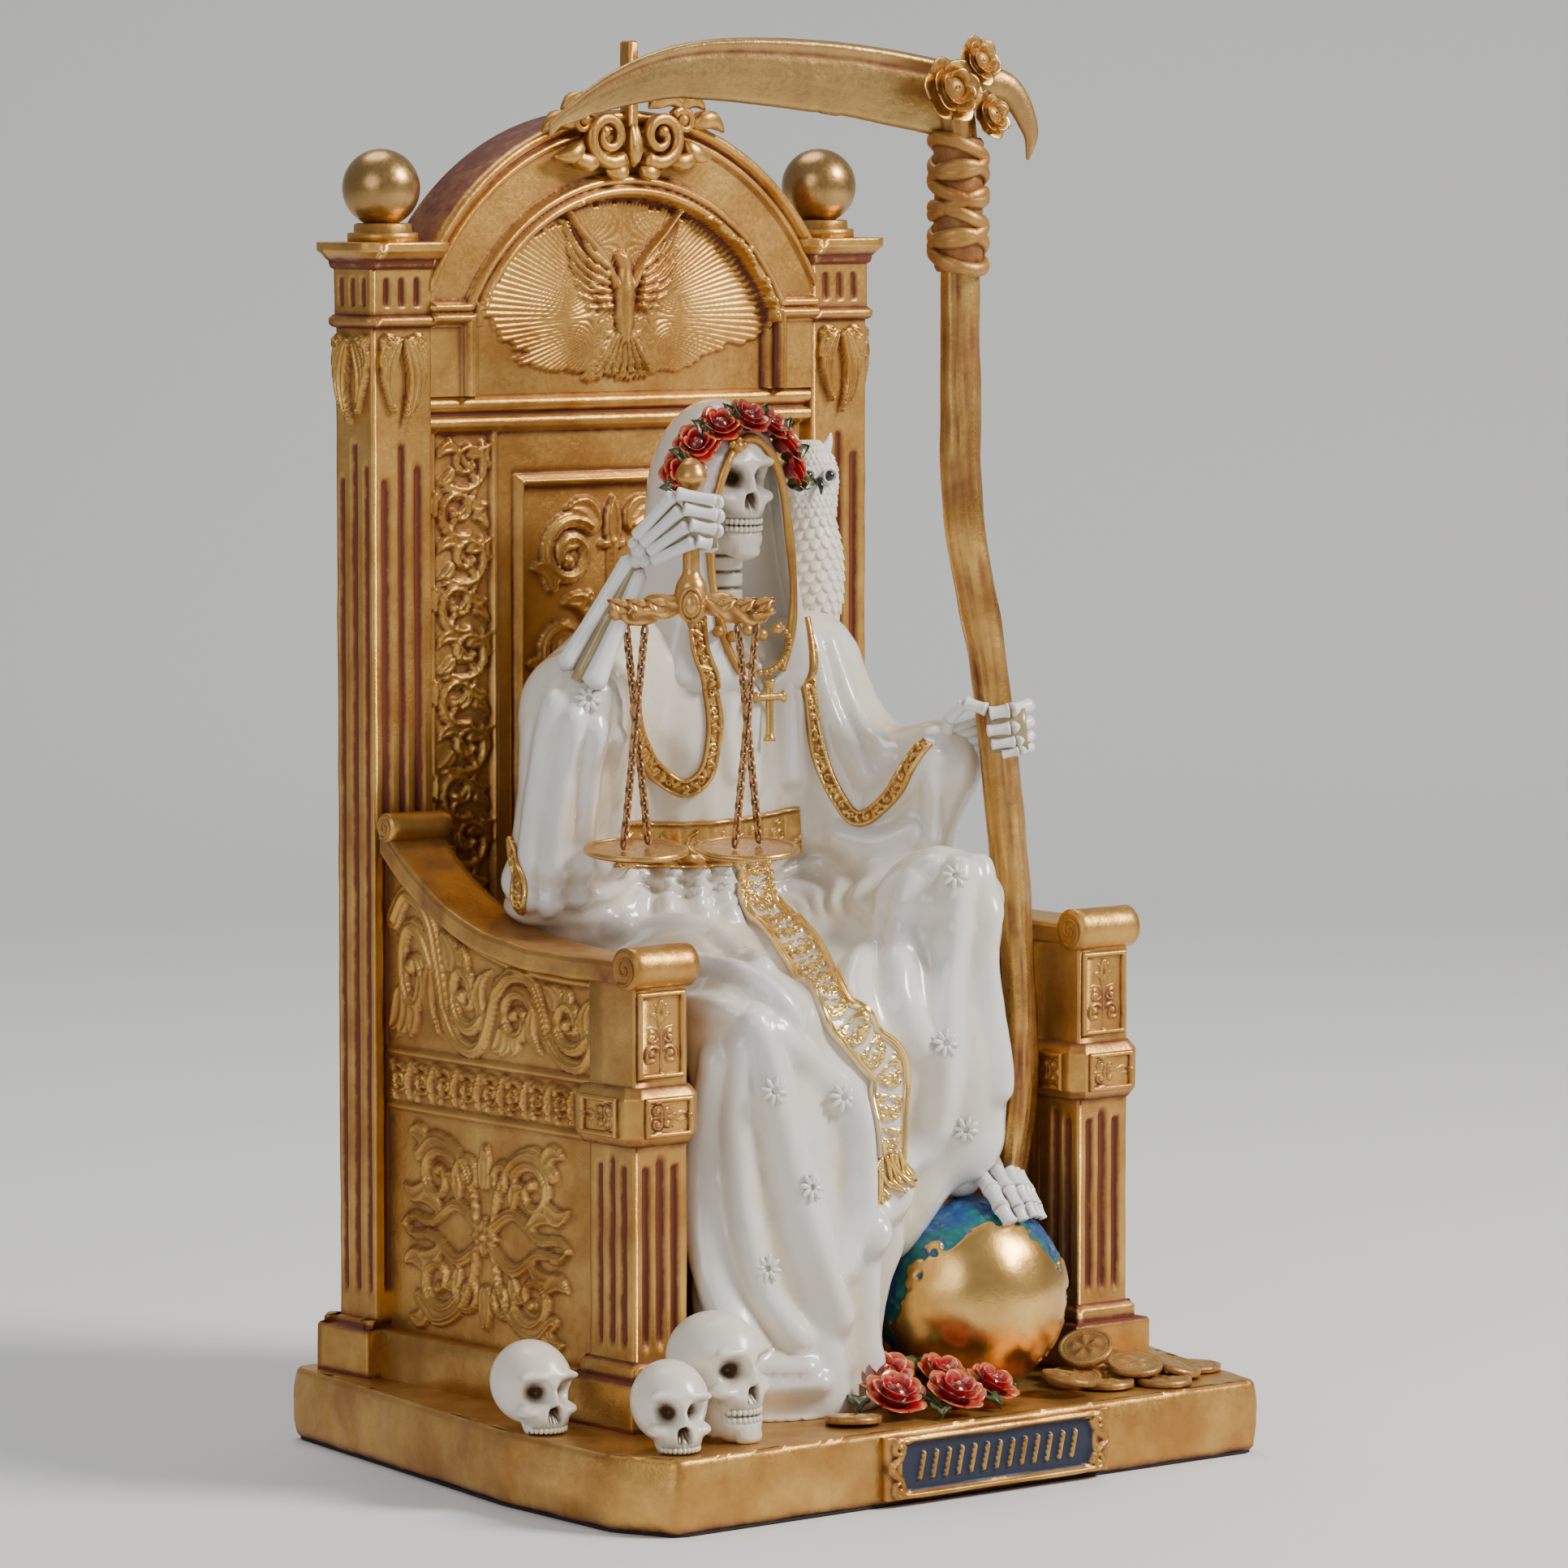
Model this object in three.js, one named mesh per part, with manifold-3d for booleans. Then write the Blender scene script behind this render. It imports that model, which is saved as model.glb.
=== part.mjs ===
// A seated skeletal saint on a carved throne, a cast and painted resin figurine.
// Millimetres, +Z up. The figure looks along -Y and its left hand is on +X. The origin is on the ground
// under the middle of the throne's back, at the front plane of its two posts.
import * as THREE from 'three';
import * as BufferGeometryUtils from 'three/addons/utils/BufferGeometryUtils.js';
import Module from 'manifold-3d';

const wasm = await Module();
wasm.setup();

// Base and felt
const feltThickness = 0.7;
const feltInset = 1.2;
const baseHeight = 16;
const baseFront = 130.5;
const baseRear = 24.5;
const baseFrontRight = 79.5;
const baseFrontLeft = 89;
const baseMiddleHalfWidth = 95;
const baseRearHalfWidth = 79;
const baseMiddleDepth = 75;
const cornerChamfer = 15;
const plateWidth = 64;
const plateHeight = 13.6;
const plateThickness = 2.4;

// Throne back, with heights above the base's top
const postSpacing = 128;
const postWidth = 16.8;
const postDepth = 14;
const postHeight = 237.6;
const plinthHeight = 10.9;
const plinthProud = 3.8;
const astragalHeight = 2.8;
const friezeHeight = 10;
const corniceHeight = 6.2;
const corniceProud = 4.3;
const ballRadius = 8.8;
const ballStepHeight = 2.1;
const ballStepRadius = 6.6;
const backRecess = 3;
const panelRecess = 2.4;
const panelHalfWidth = 27;
const stripWidth = 15.6;
const stripCentre = 44.6;
const archBeyondPosts = 10.9;
const archCentreDrop = 17.8;
const innerArchInset = 6.6;
const archDepth = 13.4;
const archSteps = 10;
const fieldRecess = 2;
const railDrop = 20;
const railWidth = 8;
const crossHeight = 20;
const crossArm = 6.6;
const crossBar = 2.8;
const crestScrollRadius = 7.2;
const crestHalfWidth = 27;
const raysRise = 11.2;
const doveRise = 8.2;

// Seat and arms
const seatHeight = 70;
const seatDepth = 69;
const armWidth = 15;
const armWallThickness = 11;
const armOuter = 71.8;
const pilasterFront = 93.8;
const pilasterDepth = 16;
const armRollHeight = 100.7;
const armRollRadius = 4.7;
const armRearHeight = 125.3;
const armRearRollRadius = 3.1;
const armRailThickness = 5;
const midBlockBottom = 61.8;
const midBlockHeight = 13;
const midBlockProud = 2.6;
const capHeight = 4;
const panelSink = 0.7;
const bandBottom = 63.4;
const bandHeight = 9.4;

// Carving
const reliefHeight = 1.5;
const reliefSink = 0.4;
const strokeSteps = 4;
const fluteDepth = 1.1;
const fluteWidth = 2.1;
const clearance = 0.3;

// Things on the base
const globeRadius = 22.3;
const globeCentre = [26, -92];
const globeSink = 1.6;
const coinRadius = 6.3;
const coinThickness = 1.7;
const pileCentre = [59, -114.6];
const frontCoin = [-30, -118];

// The four skulls on the base: place, radius, turn to the figure's left and whether there is a lower jaw
const floorSkulls = [
  [-88, -79.5, 10.2, -7, false],
  [-80.2, -117.5, 10, -20, false],
  [-63.4, -113.4, 11.4, 8, true],
  [-52.4, -101.6, 10, 8, true],
];
const roseRadius = 7;

// Scythe
const shaftRadius = 4.6;
const shaftPlane = -82;
const jointPlace = [30, 288];
const wrapBottom = 251;
const wrapTop = 280;
const bladeLength = 100;
const bladeWidth = 17.3;
const bladeThickness = 3.6;
const bladeYaw = 16;

// Scales
const beamHalfLength = 17.4;
const beamYaw = -32;
const beamHeight = 176.5;
const handlePlace = [-34.4, -67.2];
const handleRadius = 1.9;
const panRadius = 11.8;
const panThickness = 1.5;
const panHeight = 122.6;
const panOffset = 12.4;
const panTilt = 6;
const chainRadius = 0.95;
const chainSpread = [3, 2.6];

// Belt of the robe
const beltBottom = 124.2;
const beltTop = 132.2;
const beltProud = 1.3;

const baseTop = feltThickness + baseHeight;
const postX = postSpacing / 2;
const postInner = postX - postWidth / 2;
const frameTop = postHeight + astragalHeight + friezeHeight + corniceHeight;
const archCentreHeight = postHeight - archCentreDrop;
const railHeight = postHeight - railDrop;
const archRadius = postInner + archBeyondPosts;
const innerArchRadius = postInner - innerArchInset;

const deg = Math.PI / 180;
const V = (x, y, z) => new THREE.Vector3(x, y, z);
const lerp = (a, b, t) => a + (b - a) * t;
const clamp01 = (t) => Math.min(1, Math.max(0, t));
const smooth = (t) => clamp01(t) ** 2 * (3 - 2 * clamp01(t));
const bump = (d, width) => Math.exp(-((d / width) ** 2));
const X = V(1, 0, 0);
const Y = V(0, 1, 0);
const Z = V(0, 0, 1);
const front = V(0, -1, 0);

// Solids

function solid(geometry) {
  const plain = geometry.index ? geometry.toNonIndexed() : geometry.clone();
  plain.deleteAttribute('normal');
  plain.deleteAttribute('uv');
  const merged = BufferGeometryUtils.mergeVertices(plain, 1e-4);
  const vertProperties = new Float32Array(merged.attributes.position.array);
  const triVerts = new Uint32Array(merged.index.array);
  return new wasm.Manifold(new wasm.Mesh({ numProp: 3, vertProperties, triVerts }));
}

function fuse(...parts) {
  return parts.flat().reduce((whole, part) => whole.add(part));
}

function mesh(name, body, colour, roughness, metalness) {
  const data = body.getMesh();
  const geometry = new THREE.BufferGeometry();
  geometry.setAttribute('position', new THREE.BufferAttribute(new Float32Array(data.vertProperties), 3));
  geometry.setIndex(new THREE.BufferAttribute(new Uint32Array(data.triVerts), 1));
  const material = new THREE.MeshStandardMaterial({ color: colour, roughness, metalness });
  const result = new THREE.Mesh(geometry, material);
  result.name = name;
  return result;
}

function box(x0, x1, y0, y1, z0, z1) {
  const geometry = new THREE.BoxGeometry(x1 - x0, y1 - y0, z1 - z0);
  geometry.translate((x0 + x1) / 2, (y0 + y1) / 2, (z0 + z1) / 2);
  return solid(geometry);
}

// An outline of [a, b] points extruded along one axis: 'z' takes [x, y], 'x' takes [y, z], 'y' takes [x, z]
function prism(outline, axis, from, to) {
  const shape = new THREE.Shape(outline.map(([a, b]) => new THREE.Vector2(a, b)));
  const geometry = new THREE.ExtrudeGeometry(shape, { depth: to - from, bevelEnabled: false });
  geometry.translate(0, 0, axis === 'y' ? -to : from);
  const bases = { x: [Y, Z, X], y: [X, Z, front], z: [X, Y, Z] };
  geometry.applyMatrix4(new THREE.Matrix4().makeBasis(...bases[axis]));
  return solid(geometry);
}

// A turned solid about a vertical axis, from [radius, z] points that start and end on the axis
function turned(profile, segments, x, y) {
  const points = profile.map(([r, z]) => new THREE.Vector2(r, z));
  const geometry = new THREE.LatheGeometry(points, segments);
  geometry.rotateX(Math.PI / 2);
  geometry.translate(x, y, 0);
  return solid(geometry);
}

// A closed skin through rings of points, with a fan at each end
function loft(rings) {
  const points = rings.flat();
  const index = [];
  const n = rings[0].length;
  for (let i = 0; i + 1 < rings.length; i += 1) {
    for (let j = 0; j < n; j += 1) {
      const a = i * n + j;
      const b = i * n + ((j + 1) % n);
      index.push(a, b, b + n, a, b + n, a + n);
    }
  }
  for (const first of [0, (rings.length - 1) * n]) {
    const ring = points.slice(first, first + n);
    const fan = fanOf(ring, first, points);
    index.push(...(first ? fan : fan.reverse()));
  }
  return solid(outward(points.flatMap((p) => [p.x, p.y, p.z]), index));
}

// The triangles that close a ring: from its first corner, or from a point at its middle if it is large
function fanOf(ring, first, points) {
  const n = ring.length;
  if (n <= 6) return ring.slice(2).flatMap((_, j) => [first, first + j + 1, first + j + 2]);
  const centre = ring.reduce((sum, p) => sum.add(p), V(0, 0, 0)).divideScalar(n);
  points.push(centre);
  return ring.flatMap((_, j) => [first + j, first + ((j + 1) % n), points.length - 1]);
}

// A closed skin as a geometry whose faces point out
function outward(positions, index) {
  const at = (i) => V(positions[3 * i], positions[3 * i + 1], positions[3 * i + 2]);
  let volume = 0;
  for (let i = 0; i < index.length; i += 3) {
    volume += at(index[i]).dot(at(index[i + 1]).cross(at(index[i + 2])));
  }
  const order = volume < 0 ? index.slice().reverse() : index;
  const geometry = new THREE.BufferGeometry();
  geometry.setAttribute('position', new THREE.BufferAttribute(new Float32Array(positions), 3));
  geometry.setIndex(order);
  return geometry;
}

// A pyramid over a flat outline
function pyramid(corners, peak) {
  const n = corners.length;
  const index = corners.flatMap((_, j) => [j, (j + 1) % n, n]);
  for (let j = 1; j + 1 < n; j += 1) index.push(0, j + 1, j);
  return solid(outward([...corners, peak].flatMap((p) => [p.x, p.y, p.z]), index));
}

// Points of a ring in the plane of two directions, with a radius along each
function ringOf(centre, side, over, count, radiusAt) {
  return Array.from({ length: count }, (_, j) => {
    const turn = (j / count) * 2 * Math.PI;
    const [rs, ro] = radiusAt(turn);
    return centre.clone().addScaledVector(side, rs * Math.cos(turn))
      .addScaledVector(over, ro * Math.sin(turn));
  });
}

// A round rod from a to b with its own radius at each end
function rod(a, b, ra, rb, sides = 6) {
  const along = b.clone().sub(a).normalize();
  return limb([a, b], [ra, rb], sides, Math.abs(along.z) < 0.9 ? Z : X);
}

// A limb of rings through a list of points, with a radius at each
function limb(points, radii, sides, up) {
  return loft(points.map((p, i) => {
    const before = points[Math.max(0, i - 1)];
    const along = points[Math.min(points.length - 1, i + 1)].clone().sub(before).normalize();
    const side = along.clone().cross(up).normalize();
    return ringOf(p, side, side.clone().cross(along), sides, () => [radii[i], radii[i]]);
  }));
}

// A tube of rings along a curve, with radius and flattening as functions of the share along it
function tube(curve, steps, sides, radiusAt, up = Y) {
  return loft(Array.from({ length: steps + 1 }, (_, i) => {
    const t = i / steps;
    const along = curve.getTangent(t);
    const side = along.clone().cross(up).normalize();
    return ringOf(curve.getPoint(t), side, side.clone().cross(along), sides, (turn) => radiusAt(t, turn));
  }));
}

// A strip swept along a path on a surface with mitred corners. The profile lists [sideways, outward]
// points and is scaled by width and height. Its foot is sunk into the surface.
function sweep(path, normal, profile, width, height, sink = reliefSink) {
  const last = path.length - 1;
  return loft(path.map((p, i) => {
    const incoming = p.clone().sub(path[Math.max(0, i - 1)]).normalize();
    const outgoing = path[Math.min(last, i + 1)].clone().sub(p).normalize();
    const along = incoming.clone().add(outgoing).normalize();
    const mitre = i > 0 && i < last ? 1 / along.dot(outgoing) : 1;
    const side = normal.clone().cross(along).normalize();
    return profile.map(([s, o]) => p.clone().addScaledVector(side, s * width * mitre)
      .addScaledVector(normal, o > 0 ? o * height : -sink));
  }));
}

const ridgeProfile = [[-1, 0], [0, 1], [1, 0]];
const beadPairProfile = [[-1, 0], [-0.6, 0.8], [0, 0.25], [0.6, 0.8], [1, 0]];

// Flat ornament: scrolls and leaves in a panel's own [u, v], each with a share of the relief's height

// A scroll that curls inward from its outer end
function volute(cx, cy, radius, start, turns, width, steps = strokeSteps) {
  const points = Array.from({ length: steps + 1 }, (_, i) => {
    const t = i / steps;
    const r = radius * (1 - 0.68 * t);
    const a = start + turns * 2 * Math.PI * t;
    return [cx + r * Math.cos(a), cy + r * Math.sin(a)];
  });
  return { points, width, height: 1 };
}

// A pointed leaf of four facets, from one end to the other
function leaf(x0, y0, x1, y1, width) {
  const across = width / Math.hypot(x1 - x0, y1 - y0);
  const [mx, my] = [(x0 + x1) / 2, (y0 + y1) / 2];
  const [du, dv] = [(y1 - y0) * across, (x1 - x0) * across];
  const corners = [[x0, y0], [mx + du, my - dv], [x1, y1], [mx - du, my + dv]];
  return { corners, peak: [mx, my], height: 0.9 };
}

function mirrored(strokes, su, sv) {
  const flip = ([u, v]) => [u * su, v * sv];
  return strokes.map((s) => (s.corners
    ? { ...s, corners: s.corners.map(flip), peak: flip(s.peak) }
    : { ...s, points: s.points.map(flip) }));
}

// Puts ornament on a plane through origin, with u and v axes and an outward normal
function carve(strokes, origin, uAxis, vAxis, normal, height = reliefHeight) {
  const place = ([u, v], out) => origin.clone().addScaledVector(uAxis, u).addScaledVector(vAxis, v)
    .addScaledVector(normal, out);
  return strokes.map((s) => (s.corners
    ? pyramid(s.corners.map((c) => place(c, -reliefSink)), place(s.peak, height * s.height))
    : sweep(s.points.map((q) => place(q, 0)), normal, ridgeProfile, s.width, height * s.height)));
}

// A running scroll: volutes turn alternately up and down along the length, with a leaf at each join
function rinceau(length, height, count) {
  const pitch = length / count;
  return Array.from({ length: count }, (_, i) => {
    const up = i % 2 ? -1 : 1;
    const cx = (i + 0.5) * pitch - length / 2;
    const radius = Math.min(pitch, height) * 0.44;
    return [
      volute(cx, up * height * 0.06, radius, up * -2.6, up, 1.5),
      leaf(cx - pitch * 0.52, -up * height * 0.1, cx - pitch * 0.28, up * height * 0.47, 1.9),
    ];
  }).flat();
}

// A band of equal slanting leaves
function leafBand(length, height, count) {
  const pitch = length / count;
  return Array.from({ length: count }, (_, i) => {
    const cx = (i + 0.5) * pitch - length / 2;
    return leaf(cx - pitch * 0.34, -height * 0.4, cx + pitch * 0.34, height * 0.4, 2.4);
  });
}

// Four scrolls round a centre, with a pointed leaf on each axis
function rosette(width, height) {
  const a = width / 2;
  const b = height / 2;
  const quarter = [volute(a * 0.48, b * 0.52, b * 0.42, -2.2, 1, 1.6)];
  const axes = [leaf(1, 0, a, 0, 3), leaf(-1, 0, -a, 0, 3), leaf(0, 1, 0, b, 2.6), leaf(0, -1, 0, -b, 2.6)];
  const signs = [[1, 1], [1, -1], [-1, 1], [-1, -1]];
  return signs.flatMap(([su, sv]) => mirrored(quarter, su, sv)).concat(axes);
}

// A climbing vine of scrolls that turn left and right
function vine(width, height, count) {
  const pitch = height / count;
  return Array.from({ length: count }, (_, i) => {
    const side = i % 2 ? -1 : 1;
    const start = side > 0 ? -2 : -1.1;
    return volute(side * width * 0.06, (i + 0.5) * pitch - height / 2, width * 0.42, start, side, 1.6);
  });
}

// A small tuft of leaves that fan out
function tuft(width, height, lobes) {
  return Array.from({ length: lobes }, (_, i) => {
    const x = ((i + 0.5) / lobes - 0.5) * width;
    return leaf(x * 0.5, -height * 0.45, x, height * 0.45, (width / lobes) * 0.4);
  });
}

// Base: an uneven slab, widest at the middle of its sides, with its left front corner cut off

function baseOutline(inset) {
  const loop = [
    [baseRearHalfWidth, baseRear],
    [baseMiddleHalfWidth, -baseMiddleDepth],
    [baseFrontRight, -baseFront],
    [-baseFrontLeft, -baseFront],
    [-baseMiddleHalfWidth - 1, -baseFront + cornerChamfer],
    [-baseMiddleHalfWidth, -baseMiddleDepth],
    [-baseRearHalfWidth, baseRear],
  ];
  const middle = (baseRear - baseFront) / 2;
  return loop.map(([x, y]) => [x - Math.sign(x) * inset, y - Math.sign(y - middle) * inset]);
}

function baseSlab() {
  const swellOut = 1.5;
  const heights = [[0, 0], [0.12, swellOut], [0.8, swellOut], [1, 0.2]];
  const rings = heights.map(([t, out]) => baseOutline(1.4 - out)
    .map(([x, y]) => V(x, y, feltThickness + t * baseHeight)));
  return loft(rings);
}

function namePlate() {
  const a = plateWidth / 2;
  const b = plateHeight / 2;
  const centre = feltThickness + baseHeight / 2;
  const cut = 3;
  const outline = [[-a, -b + cut], [-a + cut, -b], [a - cut, -b], [a, -b + cut], [a, b - cut], [a - cut, b],
    [-a + cut, b], [-a, b - cut]].map(([x, z]) => [x, z + centre]);
  const field = outline.map(([x, z]) => [x * (1 - 3.4 / a), centre + (z - centre) * (1 - 2.2 / b)]);
  const face = -baseFront - plateThickness;
  const plate = prism(outline, 'y', face, -baseFront + 4);
  const sunk = prism(field, 'y', face - 1, face + 0.8);
  const strokeCount = 5;
  const strokeReach = plateHeight * 0.2;
  const pitch = (plateWidth - 16) / strokeCount;
  const marks = Array.from({ length: strokeCount }, (_, i) => {
    const x = (i - (strokeCount - 1) / 2) * pitch;
    return box(x - 1.6, x + 1.6, face + 0.3, face + 1.2, centre - strokeReach, centre + strokeReach);
  });
  return fuse(plate.subtract(sunk), marks);
}

// Throne back

function corniceSteps(x0, x1, y0, y1, h) {
  const step = (out, z0, z1) => box(x0 - out, x1 + out, y0 - out, y1 + out, h + z0, h + z1);
  const friezeTop = astragalHeight + friezeHeight;
  return [
    step(1.7, 0, astragalHeight),
    step(0.3, astragalHeight, friezeTop),
    step(corniceProud * 0.45, friezeTop - 0.1, friezeTop + corniceHeight * 0.4),
    step(corniceProud, friezeTop + corniceHeight * 0.35, friezeTop + corniceHeight),
  ];
}

function flutes(origin, uAxis, normal, spacing, bottoms, tops) {
  return [-1, 0, 1].map((k, i) => {
    const foot = origin.clone().addScaledVector(uAxis, k * spacing);
    const path = [foot.clone().addScaledVector(Z, bottoms[i]), foot.clone().addScaledVector(Z, tops[i])];
    return groove(path, normal);
  });
}

// A groove cutter: a thin wedge that is wider outside the surface and pointed inside it
function groove(path, normal) {
  const along = path[1].clone().sub(path[0]).normalize();
  const side = normal.clone().cross(along);
  const corner = (p, s, o, shift) => p.clone().addScaledVector(side, s).addScaledVector(normal, o)
    .addScaledVector(along, shift);
  const half = fluteWidth / 2;
  const ring = (p, shift) => [corner(p, -half * 1.3, 0.3, 0), corner(p, 0, -fluteDepth, shift),
    corner(p, half * 1.3, 0.3, 0)];
  return loft([ring(path[0], 1.2), ring(path[1], -1.2)]);
}

// A leaf that hangs under a capital: three lobes that fan out and down from one point
function capitalLeaf(origin, uAxis, normal) {
  const lobes = [-1, 0, 1].map((k) => leaf(k * 1.5, 0, k * 4.2, -15 + Math.abs(k) * 3, 2.4));
  return carve(lobes, origin, uAxis, Z, normal, 2.4);
}

function post(side) {
  const x = side * postX;
  const x0 = x - postWidth / 2;
  const x1 = x + postWidth / 2;
  const outerX = side > 0 ? x1 : x0;
  const h = baseTop;
  const outwards = X.clone().multiplyScalar(side);
  const parts = [
    box(x0, x1, 0, postDepth, h - 1, h + postHeight + 1),
    box(x0 - plinthProud, x1 + plinthProud, -1.7, postDepth + plinthProud, h - 1, h + plinthHeight),
    box(x0 - 1.6, x1 + 1.6, -0.9, postDepth + 1.6, h + plinthHeight - 0.1, h + plinthHeight + 1.6),
    ...corniceSteps(x0, x1, 0, postDepth, h + postHeight),
    turned([[0, h + frameTop - 0.5], [ballStepRadius + 1.4, h + frameTop - 0.5],
      [ballStepRadius + 1.4, h + frameTop + ballStepHeight], [ballStepRadius, h + frameTop + ballStepHeight],
      [ballStepRadius * 0.9, h + frameTop + 2 * ballStepHeight], [0, h + frameTop + 2 * ballStepHeight]],
    8, x, postDepth / 2),
    ball(ballRadius, V(x, postDepth / 2, h + frameTop + 2 * ballStepHeight + ballRadius - 0.9), 9, 6),
    ...capitalLeaf(V(x, 0, h + postHeight - 1), X, front),
    ...capitalLeaf(V(outerX, postDepth / 2, h + postHeight - 1), Y, outwards),
  ];
  const low = plinthHeight + 8;
  const high = postHeight - 26;
  const starts = [low, low, low];
  const stops = [high - 7, high, high - 7];
  const cutters = [
    ...flutes(V(x, 0, h), X, front, 4.6, starts, stops),
    ...flutes(V(outerX, postDepth / 2, h), Y, outwards, 3.8, starts, stops),
  ];
  return fuse(parts).subtract(fuse(cutters));
}

function ball(radius, centre, segments, rings) {
  const geometry = new THREE.SphereGeometry(radius, segments, rings);
  geometry.rotateX(Math.PI / 2);
  geometry.translate(centre.x, centre.y, centre.z);
  return solid(geometry);
}

function arcPoints(radius, from, to, steps, y, cz) {
  return Array.from({ length: steps + 1 }, (_, i) => {
    const a = lerp(from, to, i / steps);
    return V(radius * Math.cos(a), y, cz + radius * Math.sin(a));
  });
}

function archSolid() {
  const reach = postInner + 1;
  const foot = Math.acos(reach / archRadius);
  const bottom = archCentreHeight;
  const arc = arcPoints(archRadius, foot, Math.PI - foot, archSteps, 0, bottom).map((p) => [p.x, p.z]);
  const outline = [[reach, bottom], ...arc, [-reach, bottom]].map(([x, z]) => [x, z + baseTop]);
  return prism(outline, 'y', 0, archDepth);
}

// The line of the arch's inner moulding: an arc that turns level to each post
function innerArchLine(side, y) {
  const level = postHeight + astragalHeight / 2;
  const foot = Math.asin((level - archCentreHeight) / innerArchRadius);
  const arc = arcPoints(innerArchRadius, foot, Math.PI - foot, archSteps, y, archCentreHeight);
  return [V(side, y, level), ...arc, V(-side, y, level)].map((p) => p.add(V(0, 0, baseTop)));
}

// Mouldings of the arch: a ridge round the tympanum, a ridge at the rim that stops at the crest, and a rail
function archMouldings() {
  const rimRadius = archRadius - 3.2;
  const rimFoot = Math.acos((postInner + 0.6) / rimRadius);
  const rimHead = Math.acos(crestHalfWidth / rimRadius);
  const rims = [1, -1].map((side) => arcPoints(rimRadius, rimFoot, rimHead, 4, 0, baseTop + archCentreHeight)
    .map((p) => V(side * p.x, 0, p.z)));
  const rail = [V(postInner + 1, 0, baseTop + railHeight), V(-postInner - 1, 0, baseTop + railHeight)];
  return [
    sweep(innerArchLine(postInner + 1, 0), front, ridgeProfile, 4.4, 2.2, fieldRecess + 0.4),
    ...rims.map((rim) => sweep(rim, front, ridgeProfile, 3, 2)),
    sweep(rail, front, beadPairProfile, railWidth / 2, 1.6),
  ];
}

// The burst of rays behind the dove: a low jagged star, longest to the sides
function rays() {
  const count = 13;
  const centre = V(0, fieldRecess, baseTop + archCentreHeight + raysRise);
  const rim = Array.from({ length: 2 * count }, (_, i) => {
    const a = ((i + 0.5) / (2 * count)) * 2 * Math.PI;
    const reach = 1 / Math.hypot(Math.cos(a) / 46, Math.sin(a) / (Math.sin(a) > 0 ? 21 : 16));
    const r = reach * (i % 2 ? 0.84 : 1);
    return V(centre.x + r * Math.cos(a), centre.y, centre.z + r * Math.sin(a));
  });
  const lift = (p, share, out) => V(lerp(centre.x, p.x, share), centre.y - out, lerp(centre.z, p.z, share));
  return loft([rim.map((p) => lift(p, 1, -0.6)), rim.map((p) => lift(p, 0.4, 1.6))]);
}

// The dove, flying upward with spread wings: a flat outline with a raised body
function dove() {
  const half = [[0, 17], [2, 16], [1.8, 12], [4, 13], [7, 19], [14, 21], [17, 15], [14, 9], [8, 4], [3, 1],
    [4.5, -9], [1.5, -12]];
  const heart = baseTop + archCentreHeight + doveRise;
  const outline = half.concat(half.slice(1).reverse().map(([x, z]) => [-x, z]))
    .map(([x, z]) => [x, heart + z]);
  const body = limb([0, 6, 12, 17].map((z) => V(0, -1, heart + z)), [1.6, 3.2, 2.6, 1.2], 5, Y);
  return [prism(outline, 'y', -1, fieldRecess + 0.5), body];
}

function crest() {
  const crown = baseTop + archCentreHeight + archRadius;
  const r = crestScrollRadius;
  const half = [
    volute(r + 0.4, -4.5, r, -2.2, 1, 2, strokeSteps + 2),
    leaf(r * 1.5, -1, crestHalfWidth, -6, 4.4),
    leaf(r * 1.5, -8, crestHalfWidth - 4, -11, 3.4),
  ];
  const scrolls = carve([...half, ...mirrored(half, -1, 1)], V(0, 0, crown), X, Z, front, 4.4);
  const bar = crossBar / 2;
  const foot = crown - 4;
  const arms = foot + crossHeight * 0.4;
  const cross = [
    box(-bar, bar, -3.4, 0.6, foot, foot + crossHeight),
    box(-crossArm, crossArm, -3.4, 0.6, arms - bar, arms + bar),
  ];
  return [...scrolls, ...cross];
}

function backPanel() {
  const h = baseTop;
  const top = railHeight - railWidth / 2;
  const reach = postInner + 1;
  const inner = panelHalfWidth;
  const sunkTop = top - 12;
  const slab = box(-reach, reach, backRecess, archDepth, h - 1, h + postHeight + 2);
  const tympanum = box(-reach, reach, 0, archDepth, h + top, h + archCentreHeight + 2);
  const sunk = box(-inner, inner, backRecess - 1, backRecess + panelRecess, h + seatHeight, h + sunkTop);
  const framePath = [V(-inner - 2, backRecess, h + seatHeight), V(-inner - 2, backRecess, h + sunkTop + 2),
    V(inner + 2, backRecess, h + sunkTop + 2), V(inner + 2, backRecess, h + seatHeight)];
  const stripHeight = top - seatHeight - 42;
  const strips = [-1, 1].flatMap((side) => {
    const middle = V(side * stripCentre, backRecess, h + top - stripHeight / 2 - 3);
    return carve(mirrored(vine(stripWidth, stripHeight, 5), side, 1), middle, X, Z, front);
  });
  const scrolls = [
    volute(inner * 0.5, 0, 10, 2.2, -1, 2, strokeSteps + 1),
    volute(inner * 0.55, -26, 9, -2, 1, 1.8),
  ];
  const middle = V(0, backRecess + panelRecess, h + sunkTop - 18);
  return [fuse(slab, tympanum).subtract(sunk), sweep(framePath, front, ridgeProfile, 2, 1.8), ...strips,
    ...carve([...scrolls, ...mirrored(scrolls, -1, 1)], middle, X, Z, front)];
}

// The tympanum field is sunk behind the arch moulding and above the rail
function tympanumCut() {
  const side = postInner - 1.5;
  const bottom = baseTop + railHeight + railWidth / 2;
  const line = innerArchLine(side, 0).map((p) => [p.x, p.z]);
  return prism([[side, bottom], ...line, [-side, bottom]], 'y', -2, fieldRecess);
}

// Arms

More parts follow.
